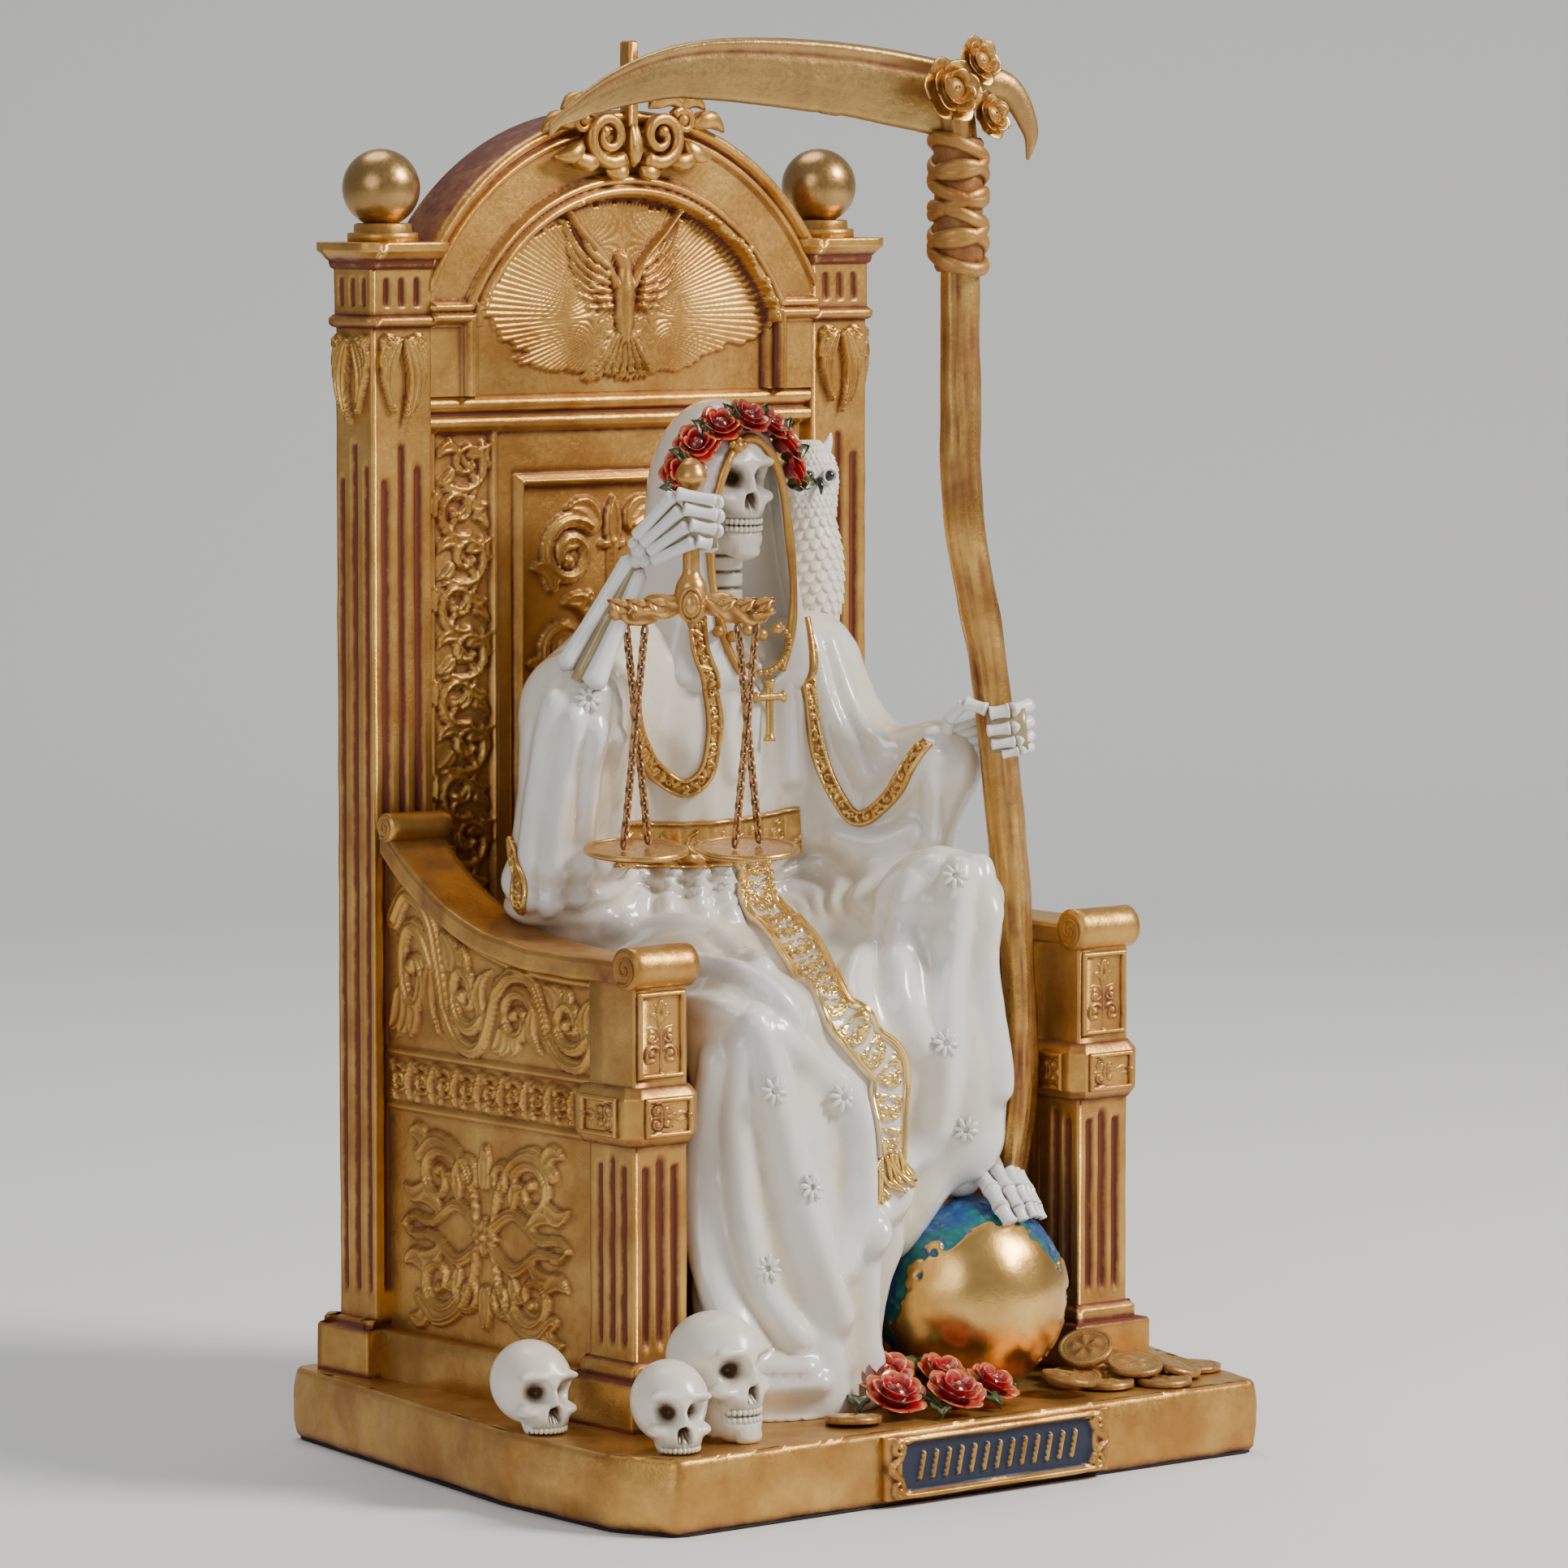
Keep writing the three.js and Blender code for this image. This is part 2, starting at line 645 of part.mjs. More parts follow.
function armCurve(steps) {
  const start = pilasterFront - pilasterDepth / 2;
  return Array.from({ length: steps + 1 }, (_, i) => {
    const y = lerp(-start, -armRearRollRadius, i / steps);
    return [y, baseTop + armTop(y)];
  });
}

// Height of the arm's top above the base: level at the front, sweeping up to the rear roll
function armTop(y) {
  const share = clamp01((y + 76) / 73);
  return armRollHeight + 1.2 + (armRearHeight - armRollHeight - 2.6) * share ** 3;
}

function arm(side) {
  const h = baseTop;
  const outer = armOuter;
  const inner = outer - armWidth;
  const wallOuter = outer - 3.8;
  const wallInner = wallOuter - armWallThickness;
  const curve = armCurve(7);
  const span = (a, b) => (side > 0 ? [a, b] : [-b, -a]);
  const slab = (a, b, y0, y1, z0, z1) => box(...span(a, b), y0, y1, z0, z1);
  const rear = 1;
  const frontY = -pilasterFront;
  const wall = [[rear, h - 1], [rear, curve.at(-1)[1]], ...curve.slice().reverse(), [curve[0][0], h - 1]];
  const rail = [[rear, curve.at(-1)[1]], ...curve.slice().reverse(), [frontY + 3, h + armTop(-90)],
    [frontY + 3, h + armTop(-90) - armRailThickness],
    ...curve.map(([y, z]) => [y, z - armRailThickness]), [rear, curve.at(-1)[1] - armRailThickness]];
  const outwards = X.clone().multiplyScalar(side);
  const face = (x) => side * x;
  const middleY = -(pilasterFront - pilasterDepth / 2);
  const middleX = face(outer - armWidth / 2);
  const cap = midBlockBottom + midBlockHeight;
  const bandTop = h + bandBottom + bandHeight;
  const blockMiddle = h + midBlockBottom + midBlockHeight / 2;
  const parts = [
    prism(wall, 'x', ...span(wallInner, wallOuter)),
    prism(rail, 'x', ...span(inner - 0.4, outer + 0.4)),
    slab(inner, outer, frontY, frontY + pilasterDepth, h - 1, h + armTop(-90) - 1),
    slab(inner - 1, outer + 1, frontY - 1, frontY + pilasterDepth + 1, h - 1, h + plinthHeight + capHeight),
    slab(inner - 3.6, outer + 3.6, frontY - 4.8, frontY + pilasterDepth + 3, h - 1, h + plinthHeight),
    slab(wallInner, outer + 0.6, frontY + 6, rear, h - 1, h + plinthHeight),
    roll(side, V(0, frontY + 1.6, h + armRollHeight), armRollRadius, inner - 1.4, outer + 1.4),
    roll(side, V(0, -armRearRollRadius - 1.5, h + armRearHeight), armRearRollRadius, inner - 0.8, outer + 1),
    chamferedBlock(span(inner - midBlockProud, outer + midBlockProud), frontY - midBlockProud,
      frontY + pilasterDepth + midBlockProud * 0.4, h + midBlockBottom, h + cap),
    slab(wallInner + 2, wallOuter + 1.6, frontY + 8, rear, h + bandBottom - 3, h + bandBottom - 0.6),
    slab(wallInner + 2, wallOuter + 1.6, frontY + 8, rear, bandTop, bandTop + 2.4),
  ];
  const upperTuft = tuft(armWidth - 4, 17, 3);
  const blockTuft = tuft(10, 8, 2);
  const carved = [
    ...carve(rinceau(74, 19, 4), V(face(wallOuter), -39, bandTop + 13), Y, Z, outwards),
    ...carve(leafBand(72, bandHeight, 6), V(face(wallOuter), -37.5, h + bandBottom + bandHeight / 2), Y, Z,
      outwards, 1),
    ...carve(rosette(66, 42), V(face(wallOuter), -36.5, h + 36), Y, Z, outwards, 1.8),
    ...carve(upperTuft, V(middleX, frontY + panelSink, h + cap + 11), X, Z, front, 1.2),
    ...carve(blockTuft, V(middleX, frontY - midBlockProud, blockMiddle), X, Z, front, 1),
  ];
  const low = plinthHeight + capHeight + 2.5;
  const high = midBlockBottom - 3;
  const cutters = [
    ...flutes(V(middleX, frontY, h), X, front, 4.2, [low, low, low], [high, high, high]),
    ...flutes(V(face(outer), middleY, h), Y, outwards, 4.2, [low, low, low], [high, high, high]),
    slab(inner + 1.8, outer - 1.8, frontY - 1, frontY + panelSink, h + cap + 2.2, h + cap + 20),
  ];
  return fuse(fuse(parts).subtract(fuse(cutters)), carved);
}

function roll(side, centre, radius, x0, x1) {
  const steps = 8;
  const outline = Array.from({ length: steps }, (_, i) => {
    const a = ((i + 0.5) / steps) * 2 * Math.PI;
    return [centre.y + radius * Math.cos(a), centre.z + radius * Math.sin(a)];
  });
  return prism(outline, 'x', side > 0 ? x0 : -x1, side > 0 ? x1 : -x0);
}

function chamferedBlock([x0, x1], y0, y1, z0, z1) {
  const cut = 2.6;
  const outline = (inset) => [[x0 + cut, y0 + inset], [x1 - cut, y0 + inset], [x1 - inset, y0 + cut],
    [x1 - inset, y1], [x0 + inset, y1], [x0 + inset, y0 + cut]];
  const rings = [[z0, 1.6], [z0 + 1.8, 0], [z1 - 1.8, 0], [z1, 1.6]];
  return loft(rings.map(([z, inset]) => outline(inset).map(([x, y]) => V(x, y, z))));
}

function throne() {
  const reach = armOuter - 10;
  const seat = box(-reach, reach, -seatDepth, backRecess + 1, baseTop - 1, baseTop + seatHeight);
  const back = fuse(backPanel(), archSolid()).subtract(tympanumCut());
  return fuse(baseSlab(), namePlate(), seat, back, post(-1), post(1), arm(-1), arm(1), archMouldings(),
    rays(), dove(), crest());
}

// The figure. Its pose is a set of places in millimetres from the axis of the throne, with heights above
// the base's top, and its cloth is worked out round them.

const pose = {
  head: V(-0.5, -37, 201),
  rightShoulder: V(-27, -31, 161),
  rightElbow: V(-50, -46, 155),
  rightWrist: V(-41.5, -58.8, 186),
  rightFist: V(handlePlace[0], handlePlace[1], 193),
  leftShoulder: V(27, -31, 160),
  leftElbow: V(34, -50, 130),
  leftWrist: V(37, -74, 141),
  leftFist: V(42.2, -82, 148),
  rightKnee: V(-33, -86, 84),
  leftKnee: V(22.5, -87, 108),
  leftAnkle: V(22.5, -92, 57),
};

// Capsules of the body under the robe: two ends and a radius at each
const bodyCapsules = [
  [V(-17, -32, 88), V(17, -32, 88), 22, 22],
  [V(-8, -31, 95), V(-7, -31, 150), 17, 15.5],
  [V(8, -31, 95), V(7, -31, 150), 17, 15.5],
  [V(-15, -31, 148), V(15, -31, 148), 13.5, 13.5],
  [pose.rightShoulder, pose.leftShoulder, 11, 11],
  [pose.rightShoulder, pose.rightElbow, 11.5, 12],
  [V(-48, -43, 148), V(-56, -38, 112), 12, 8],
  [V(-34, -33, 148), V(-42, -33, 108), 13, 12],
  [pose.leftShoulder, V(33, -48, 132), 11.5, 12],
  [V(33, -48, 132), V(37, -68, 139), 12, 10],
  [V(37, -66, 134), V(36, -62, 110), 9, 7],
  [V(22, -34, 140), V(31, -54, 116), 13, 12],
  [V(-16, -34, 88), pose.rightKnee, 19, 13.5],
  [V(16, -34, 90), V(20, -62, 96), 19, 13.5],
  [V(20, -62, 96), pose.leftKnee, 13.5, 12],
  [pose.leftKnee, V(20.5, -91, 70), 12, 12],
  [V(20.5, -91, 70), pose.leftAnkle, 12, 10],
  [V(0, -60, 90), V(4, -82, 84), 14, 13],
  [pose.rightKnee, V(-36.5, -91, 2), 13, 14.5],
  [V(-12, -86, 78), V(-26, -92, 2), 14, 16],
  [V(8, -84, 84), V(-14, -87, 34), 14, 13],
  [V(-14, -87, 34), V(-17, -90, 2), 13, 14],
];

function capsuleGap(p, [a, b, ra, rb]) {
  const along = b.clone().sub(a);
  const t = clamp01(p.clone().sub(a).dot(along) / along.lengthSq());
  return p.distanceTo(a.clone().addScaledVector(along, t)) - lerp(ra, rb, t);
}

// Smooth union of the capsules: negative inside the body
function bodyField(p) {
  const softness = 3.2;
  const share = (capsule) => Math.exp(-capsuleGap(p, capsule) / softness);
  const sum = bodyCapsules.reduce((total, capsule) => total + share(capsule), 0);
  return -softness * Math.log(sum);
}

// The axis from which the robe is measured outward at each height
function robeAxis(h) {
  const chest = smooth((h - 94) / 28);
  return V(lerp(-10, 0, chest), lerp(-78, -32, chest), h);
}

// Folds of the robe: flutes that hang from the lap, gathers under the belt and soft folds over the chest
function robeFold(angle, h) {
  const hanging = smooth((88 - h) / 50);
  const gathers = bump(h - 116, 9);
  const chest = smooth((h - 132) / 10);
  const flute = 0.5 + 0.5 * Math.cos(11 * angle + 0.03 * h);
  return hanging * 2.6 * (flute - 0.5) + gathers * 0.9 * Math.cos(19 * angle)
    + chest * 0.7 * Math.cos(9 * angle + 1);
}

function robePoint(angle, h, proud = 0) {
  const axis = robeAxis(h);
  const direction = V(Math.sin(angle), -Math.cos(angle), 0);
  const inside = (r) => bodyField(axis.clone().addScaledVector(direction, r)) < 0;
  let far = 74;
  while (far > 2 && !inside(far)) far -= 2;
  let low = far;
  let high = far + 2;
  for (let i = 0; i < 9; i += 1) {
    const middle = (low + high) / 2;
    if (inside(middle)) low = middle;
    else high = middle;
  }
  return axis.addScaledVector(direction, low + robeFold(angle, h) + proud);
}

// Angles round the robe, closer together at the front
function robeAngles(count) {
  return Array.from({ length: count }, (_, i) => {
    const t = (i / count) * 2 * Math.PI;
    return t - 0.42 * Math.sin(t);
  });
}

function robe() {
  const heights = [clearance, 28, 48, 64, 78, 90, 100, 110, 118, 144, 157, 170];
  const belt = [[beltBottom - 0.4, 0], [beltBottom, beltProud], [beltTop, beltProud], [beltTop + 0.4, 0]];
  const levels = [...heights.map((h) => [h, 0]), ...belt].sort((a, b) => a[0] - b[0]);
  const angles = robeAngles(24);
  return loft(levels.map(([h, proud]) => angles.map((angle) => robePoint(angle, h, proud))));
}

// Skull: the outward distance in each direction from a point inside the brain case, in radii of the case.
// It is the smooth greatest of a few ellipsoids, with dents for the eye sockets, nose and temples.
function ellipsoidReach(d, centre, size) {
  const a = (d.x / size.x) ** 2 + (d.y / size.y) ** 2 + (d.z / size.z) ** 2;
  const b = (d.x * centre.x) / size.x ** 2 + (d.y * centre.y) / size.y ** 2 + (d.z * centre.z) / size.z ** 2;
  const c = (centre.x / size.x) ** 2 + (centre.y / size.y) ** 2 + (centre.z / size.z) ** 2 - 1;
  const root = b * b - a * c;
  return root < 0 ? 0 : Math.max(0, (b + Math.sqrt(root)) / a);
}

const skullForms = [
  [V(0, 0.16, 0.16), V(0.84, 1.04, 0.92)],
  [V(0, -0.42, -0.42), V(0.56, 0.5, 0.62)],
  [V(0.44, -0.5, -0.34), V(0.26, 0.3, 0.16)],
  [V(-0.44, -0.5, -0.34), V(0.26, 0.3, 0.16)],
];
const jawForm = [V(0, -0.42, -1.02), V(0.5, 0.48, 0.42)];

function skullReach(direction, jaw) {
  const forms = jaw ? [...skullForms, jawForm] : skullForms;
  const sum = forms.reduce((total, [c, s]) => total + ellipsoidReach(direction, c, s) ** 12, 0);
  const dent = (x, y, z, width, depth) => depth * bump(direction.distanceTo(V(x, y, z).normalize()), width);
  const sockets = dent(0.36, -0.93, -0.13, 0.25, 0.36) + dent(-0.36, -0.93, -0.13, 0.25, 0.36);
  const nose = dent(0, -0.9, -0.44, 0.13, 0.2);
  const temples = dent(0.86, -0.42, -0.1, 0.25, 0.1) + dent(-0.86, -0.42, -0.1, 0.25, 0.1);
  return sum ** (1 / 12) - sockets - nose - temples;
}

function skull(radius, centre, yaw, pitch, jaw, columns, rows) {
  const turn = new THREE.Euler(pitch * deg, 0, yaw * deg, 'ZYX');
  const rings = Array.from({ length: rows }, (_, i) => {
    const tilt = lerp(0.12, 0.97, i / (rows - 1)) * Math.PI;
    return Array.from({ length: columns }, (_, j) => {
      const t = (j / columns) * 2 * Math.PI;
      const a = t - 0.45 * Math.sin(t);
      const d = V(Math.sin(a) * Math.sin(tilt), -Math.cos(a) * Math.sin(tilt), Math.cos(tilt));
      return d.clone().multiplyScalar(radius * skullReach(d, jaw)).applyEuler(turn).add(centre);
    });
  });
  return loft(rings);
}

// Veil: a hood over the head that widens to the shoulders, hollow and open at the face
function veilSize(h) {
  const drop = clamp01((213 - h) / 55);
  const crown = clamp01((221 - h) / 22);
  const round = Math.sqrt(Math.max(0, 1 - (1 - crown) ** 2));
  return [round * lerp(15.2, 27, drop ** 2), round * lerp(15.5, 17.5, drop)];
}

function veilRing(h) {
  const count = 12;
  const [rx, ry] = veilSize(h);
  return Array.from({ length: count }, (_, j) => {
    const a = (j / count) * 2 * Math.PI;
    const fold = 1 + 0.04 * Math.cos(6 * a) * clamp01((205 - h) / 30);
    return V(rx * fold * Math.sin(a), -33 - ry * fold * Math.cos(a), baseTop + h);
  });
}

function veil() {
  const outer = loft([150, 170, 190, 206, 216, 220.5].map(veilRing));
  const opening = tube(new THREE.CatmullRomCurve3([V(0, -50, baseTop + 156), V(0, -50, baseTop + 180),
    V(0, -49, baseTop + 200), V(0, -47, baseTop + 212)]), 4, 6, (t) => {
    const r = lerp(9, 12.5, smooth(t * 1.6)) * Math.sqrt(Math.max(0.08, 1 - Math.max(0, t - 0.6) ** 2 * 5));
    return [r, r * 1.4];
  });
  return outer.subtract(opening);
}

function lift(points) {
  return points.map((p) => p.clone().add(V(0, 0, baseTop)));
}

// A closed fist round a bar: four finger bones and a thumb that curl round it from the palm behind. Along
// is the bar's direction, outward the side that the fingers cross, and knuckles the way from the palm over
// the bar.
function fist(centre, along, outward, knuckles, size, barRadius) {
  const bone = 0.46 * size;
  const curl = (from, to, steps, a0, a1, inner, outer) => {
    const arc = (r) => Array.from({ length: steps + 1 }, (_, i) => {
      const angle = lerp(from, to, i / steps) * deg;
      return [r * Math.cos(angle), r * Math.sin(angle)];
    });
    const hollow = inner / Math.cos(((to - from) * deg) / (2 * steps));
    const place = new THREE.Matrix4().makeBasis(outward, knuckles, outward.clone().cross(knuckles))
      .setPosition(centre);
    return prism([...arc(outer), ...arc(hollow).reverse()], 'z', a0, a1).transform(place.elements);
  };
  const upward = Math.sign(outward.clone().cross(knuckles).dot(along));
  const inner = barRadius + clearance;
  const fingers = [-1.5, -0.5, 0.5, 1.5].map((place) => {
    const a = place * size * 0.53;
    return curl(-95, 120, 4, a - bone / 2, a + bone / 2, inner, inner + 0.62 * size);
  });
  const thumb = [1.15, 1.6].map((a) => upward * a * size).sort((a, b) => a - b);
  return [
    ...fingers,
    curl(-95, 60, 3, ...thumb, inner, inner + 0.55 * size),
    curl(-150, -84, 2, -size * 1.7, size * 1.7, inner + 0.1, inner + 0.72 * size),
  ];
}

function armBones() {
  const [elbow, wrist, leftWrist] = lift([pose.rightElbow, pose.rightWrist, pose.leftWrist]);
  const [rightFist, leftFist, leftElbow] = lift([pose.rightFist, pose.leftFist, pose.leftElbow]);
  const aside = V(0.75, -0.5, 0.3);
  const across = rightFist.clone().sub(wrist).setZ(0).normalize();
  const shaftLean = V(-0.17, 0, 1).normalize();
  const leftOut = V(-0.55, -0.8, 0).projectOnPlane(shaftLean).normalize();
  return [
    rod(elbow.clone().addScaledVector(aside, 1.9), wrist.clone().addScaledVector(aside, 1.2), 2.1, 1.8, 5),
    rod(elbow.clone().addScaledVector(aside, -1.9), wrist.clone().addScaledVector(aside, -1.2), 2, 1.7, 5),
    rod(wrist, rightFist.clone().lerp(wrist, 0.45), 3.4, 3.6, 5),
    rod(leftElbow, leftWrist.clone().lerp(leftFist, 0.3), 3, 3.4, 5),
    ...fist(rightFist, Z, across.clone().cross(Z), across, 5.6, handleRadius),
    ...fist(leftFist, shaftLean, leftOut, leftOut.clone().cross(shaftLean).negate(), 5.4, shaftRadius * 1.1),
  ];
}

// The bones of the left foot, laid over the top of the globe
function footBones() {
  const top = globeSurface();
  const toes = [-1.5, -0.5, 0.5, 1.5].map((place) => {
    const aside = place * 2.9;
    const joints = [top(5, aside * 0.7, 1.6), top(-4, aside, 1.8), top(-11, aside * 1.2, 1.1)];
    return limb(joints, [1.9, 1.9, 1.3], 4, X);
  });
  return [...toes, rod(top(12, 0, 7), top(2, 0, 2.2), 6, 4.4, 5)];
}

// A place over the globe: shares forward and sideways from its top in millimetres of arc, and height over it
function globeSurface() {
  const centre = V(globeCentre[0], globeCentre[1], baseTop + globeRadius - globeSink);
  const turn = 14 * deg;
  return (back, aside, over) => {
    const d = V(0, 0, 1);
    const shift = V(aside, back, 0).applyAxisAngle(Z, turn);
    const arc = shift.length() / globeRadius;
    if (arc > 0) d.applyAxisAngle(V(-shift.y, shift.x, 0).normalize(), arc);
    return centre.clone().addScaledVector(d, globeRadius + over);
  };
}

// A rose: a ring of petals that turn out round a bud
function rose(centre, radius, normal, turn = 0, sides = 6) {
  const up = normal.clone().normalize();
  const side = (Math.abs(up.z) < 0.9 ? Z : X).clone().cross(up).normalize().applyAxisAngle(up, turn);
  const over = up.clone().cross(side);
  const profile = sides > 6 ? [[0.6, -0.5], [1, 0], [0.55, 0.5]] : [[0.95, -0.5], [0.6, 0.5]];
  const lobed = (r, a) => radius * r * (1 + 0.14 * Math.cos((sides / 2) * a));
  return loft(profile.map(([r, o]) => {
    const middle = centre.clone().addScaledVector(up, o * radius);
    return ringOf(middle, side, over, sides, (a) => [lobed(r, a), lobed(r, a)]);
  }));
}

// The crown of roses along the veil's front edge, from the right ear over the brow to the left ear
function roseCrown() {
  const count = 7;
  return Array.from({ length: count }, (_, i) => {
    const a = lerp(-74, 74, i / (count - 1)) * deg;
    const [s, c] = [Math.sin(a), Math.cos(a)];
    const out = V(s, -0.35, c).normalize();
    const place = V(17 * s, -45 + 3.5 * Math.abs(s), baseTop + 200.5 + 16.5 * c);
    return rose(place, 5, out, i);
  });
}

// A flat band that follows the robe between two edge lines of [angle, height] pairs
function robeBand(stations, proud) {
  const rings = stations.map(([a0, h0, a1, h1]) => {
    const left = [robePoint(a0, h0, proud), robePoint(a0, h0, -8)];
    const right = [robePoint(a1, h1, proud), robePoint(a1, h1, -8)];
    return [left[0], right[0], right[1], left[1]];
  });
  return loft(rings);
}

// The sash, from the belt over the lap and down between the knees
function sash() {
  const way = [[-0.02, 123], [0.16, 110], [0.3, 96], [0.22, 84], [0.12, 68], [0.1, 47]];
  return robeBand(way.map(([a, h], i) => {
    const half = lerp(0.2, 0.135, i / (way.length - 1));
    return [a - half, h - 2, a + half, h + 2];
  }), 1.5);
}

function spine() {
  const h = baseTop;
  const bead = (z) => [[3.8, h + z], [5.2, h + z + 1.4], [5.2, h + z + 4.4]];
  const beads = [160, 166.2, 172.4, 178.6].flatMap((z) => bead(z));
  return turned([[0, h + 159], ...beads, [3.8, h + 186], [0, h + 186]], 6, 0, -36);
}

// The small cross that hangs on the chest
function pendant() {
  const { x, y } = robePoint(-0.02, 160, 0.4);
  const bar = (half, z0, z1) => box(x - half, x + half, y - 2, y + 3, baseTop + z0, baseTop + z1);
  return fuse(bar(0.9, 146, 158), bar(3.4, 152.6, 154.6));
}

function figure() {
  const cloth = fuse(robe(), sash()).translate([0, 0, baseTop]);
  const head = skull(10.6, pose.head.clone().add(V(0, 0, baseTop)), -4, 4, true, 12, 9);
  return fuse(cloth, veil(), head, spine(), armBones(), footBones(), roseCrown(), pendant());
}

// Owl: a rounded body with a broad head, short ear tufts and a tail behind
function owl(grow = 0) {
  const foot = V(31.5, -28, baseTop + 163);
  const from = (x, y, z) => foot.clone().add(V(x, y, z));
  const rings = [[-1 - grow, 3.5, 4], [10, 8, 7.9], [22, 8, 7.8], [32, 6.2, 6.2], [40, 7, 6.8],
    [48, 2.4, 2.4]];
  const body = loft(rings.map(([z, rx, ry]) => ringOf(from(0, -z * 0.03, z), X, Y, 8,
    () => [rx + grow, ry + grow])));
  const tail = rod(from(1, 5, 8), from(2.5, 7, -6 - grow), 4 + grow, 2.2 + grow, 5);
  const beak = rod(from(0, -6, 40), from(0, -8.6, 37), 1.6, 0.6, 4);
  return fuse(body, tail, beak);
}

function globe(grow = 0, segments = 14, rings = 9) {
  const centre = V(globeCentre[0], globeCentre[1], baseTop + globeRadius - globeSink);
  return ball(globeRadius + grow, centre, segments, rings);
}

// The room that the robe leaves for the globe: a coarse ball that holds the whole globe
function globeRoom() {
  const segments = 10;
  const rings = 7;
  const flat = Math.cos(Math.PI / segments) * Math.cos(Math.PI / (2 * rings));
  return globe((globeRadius + clearance) / flat - globeRadius, segments, rings);
}

// Scythe: a crooked shaft in one plane, a cloth wrap, a curved blade and its roses

const shaftLine = [V(47.4, -75.8, -1), V(47.8, -76.4, 20), V(48.3, -79.5, 44), V(48.6, -82.4, 70),
  V(46.8, shaftPlane, 110), V(43.4, shaftPlane, 140), V(38.5, shaftPlane, 168), V(32.2, shaftPlane, 196),
  V(31, shaftPlane, 222), V(30.6, shaftPlane, 250), V(30.4, shaftPlane, 276), V(29, shaftPlane, 288)];

function shaft(grow = 0) {
  const curve = new THREE.CatmullRomCurve3(shaftLine.map((p) => p.clone().add(V(0, 0, baseTop))));
  return tube(curve, 12, 6, (t, turn) => {
    const crook = 1 + 0.1 * Math.cos(3 * turn + 9 * t);
    const r = shaftRadius * lerp(0.78, 1, clamp01(t / 0.25)) * crook + 1.2 * grow;
    return [r * 0.98, r * 0.94];
  });
}

// The blade, its flat side to the front, with the back edge above and the cutting edge below
function blade(joint, along) {
  const across = V(-along.y, along.x, 0);
  const steps = 9;
  return loft(Array.from({ length: steps + 1 }, (_, i) => {
    const t = i / steps;
    const width = bladeWidth * Math.max(0.06, 1 - t ** 2.2) ** 0.6;
    const at = (down, out) => joint.clone().addScaledVector(along, t * bladeLength - 2)
      .add(V(0, 0, bladeSpine(t) - down * width)).addScaledVector(across, out * bladeThickness / 2);
    return [at(0, 0.4), at(0.14, 1), at(1, 0.12), at(1, -0.12), at(0.14, -1), at(0, -0.4)];
  }));
}

function scythe() {
  const [jointX, jointHeight] = jointPlace;
  const wrap = turned([[0, wrapBottom], [6.2, wrapBottom], [6.8, wrapBottom + 9], [6.1, wrapBottom + 16],
    [6.5, wrapTop], [0, wrapTop]].map(([r, z]) => [r, z + baseTop]), 7, jointX + 0.5, shaftPlane);
  const joint = V(jointX, shaftPlane, baseTop + jointHeight);
  const yaw = (180 - bladeYaw) * deg;
  const along = V(Math.cos(yaw), Math.sin(yaw), 0);
  const at = (back, up) => joint.clone().addScaledVector(along, -back).add(V(0, 0, up));
  const spike = limb([at(0, 4), at(12, 3), at(18, -6), at(17.6, -13)], [5, 3.6, 2.2, 0.5], 5, Y);
  const roses = [
    rose(joint.clone().add(V(-6, -5.2, 2.5)), 7.2, V(-0.5, -0.8, 0.1), 0, 8),
    rose(joint.clone().add(V(3.2, -4, 9)), 5.4, V(0.2, -0.7, 0.6), 1),
    rose(joint.clone().add(V(6, -4.6, -3)), 5.2, V(0.45, -0.85, -0.1), 2),
  ];
  return fuse(shaft(), wrap, blade(joint, along), spike, roses);
}

// Height of the blade's back edge over the joint: it rises to the middle and falls to the point
function bladeSpine(t) {
  return t < 0.5 ? 14 - 6 * (1 - 2 * t) ** 2 : 14 - 19 * (2 * t - 1) ** 2.6;
}

// Scales

const beamDirection = V(Math.cos(beamYaw * deg), Math.sin(beamYaw * deg), 0);
const handle = V(handlePlace[0], handlePlace[1], baseTop);

function handleRod(grow = 0) {
  const profile = [[0, 172.6], [2.6, 173.5], [4.2, 178], [3.4, 182], [handleRadius, 184],
    [handleRadius, 203], [3.7, 204.4], [3.7, 206], [2, 209], [0, 209.4]];
  return turned(profile.map(([r, z]) => [r ? r + grow : 0, z + baseTop]), 7, handle.x, handle.y);
}

function beam() {
  const mid = handle.clone().add(V(0, 0, beamHeight));
  const bends = [[-1, 3], [-0.8, -1.2], [-0.45, 0.4], [0, 1.2], [0.45, 0.4], [0.8, -1.2], [1, 3]];
  const curve = new THREE.CatmullRomCurve3(bends.map(([s, rise]) => mid.clone()
    .addScaledVector(beamDirection, s * beamHalfLength).add(V(0, 0, rise))));
  const bar = tube(curve, 10, 5, (t) => {
    const r = 2.5 + 0.6 * Math.cos(t * 6 * Math.PI) - 1.1 * Math.abs(2 * t - 1) ** 6;
    return [r, r * 0.85];
  }, Z);
  return fuse(bar, handleRod());
}

function panPlace(side) {
  return handle.clone().addScaledVector(beamDirection, side * panOffset).add(V(0, 0, panHeight));
}

const panLean = new THREE.Quaternion().setFromAxisAngle(beamDirection, panTilt * deg);

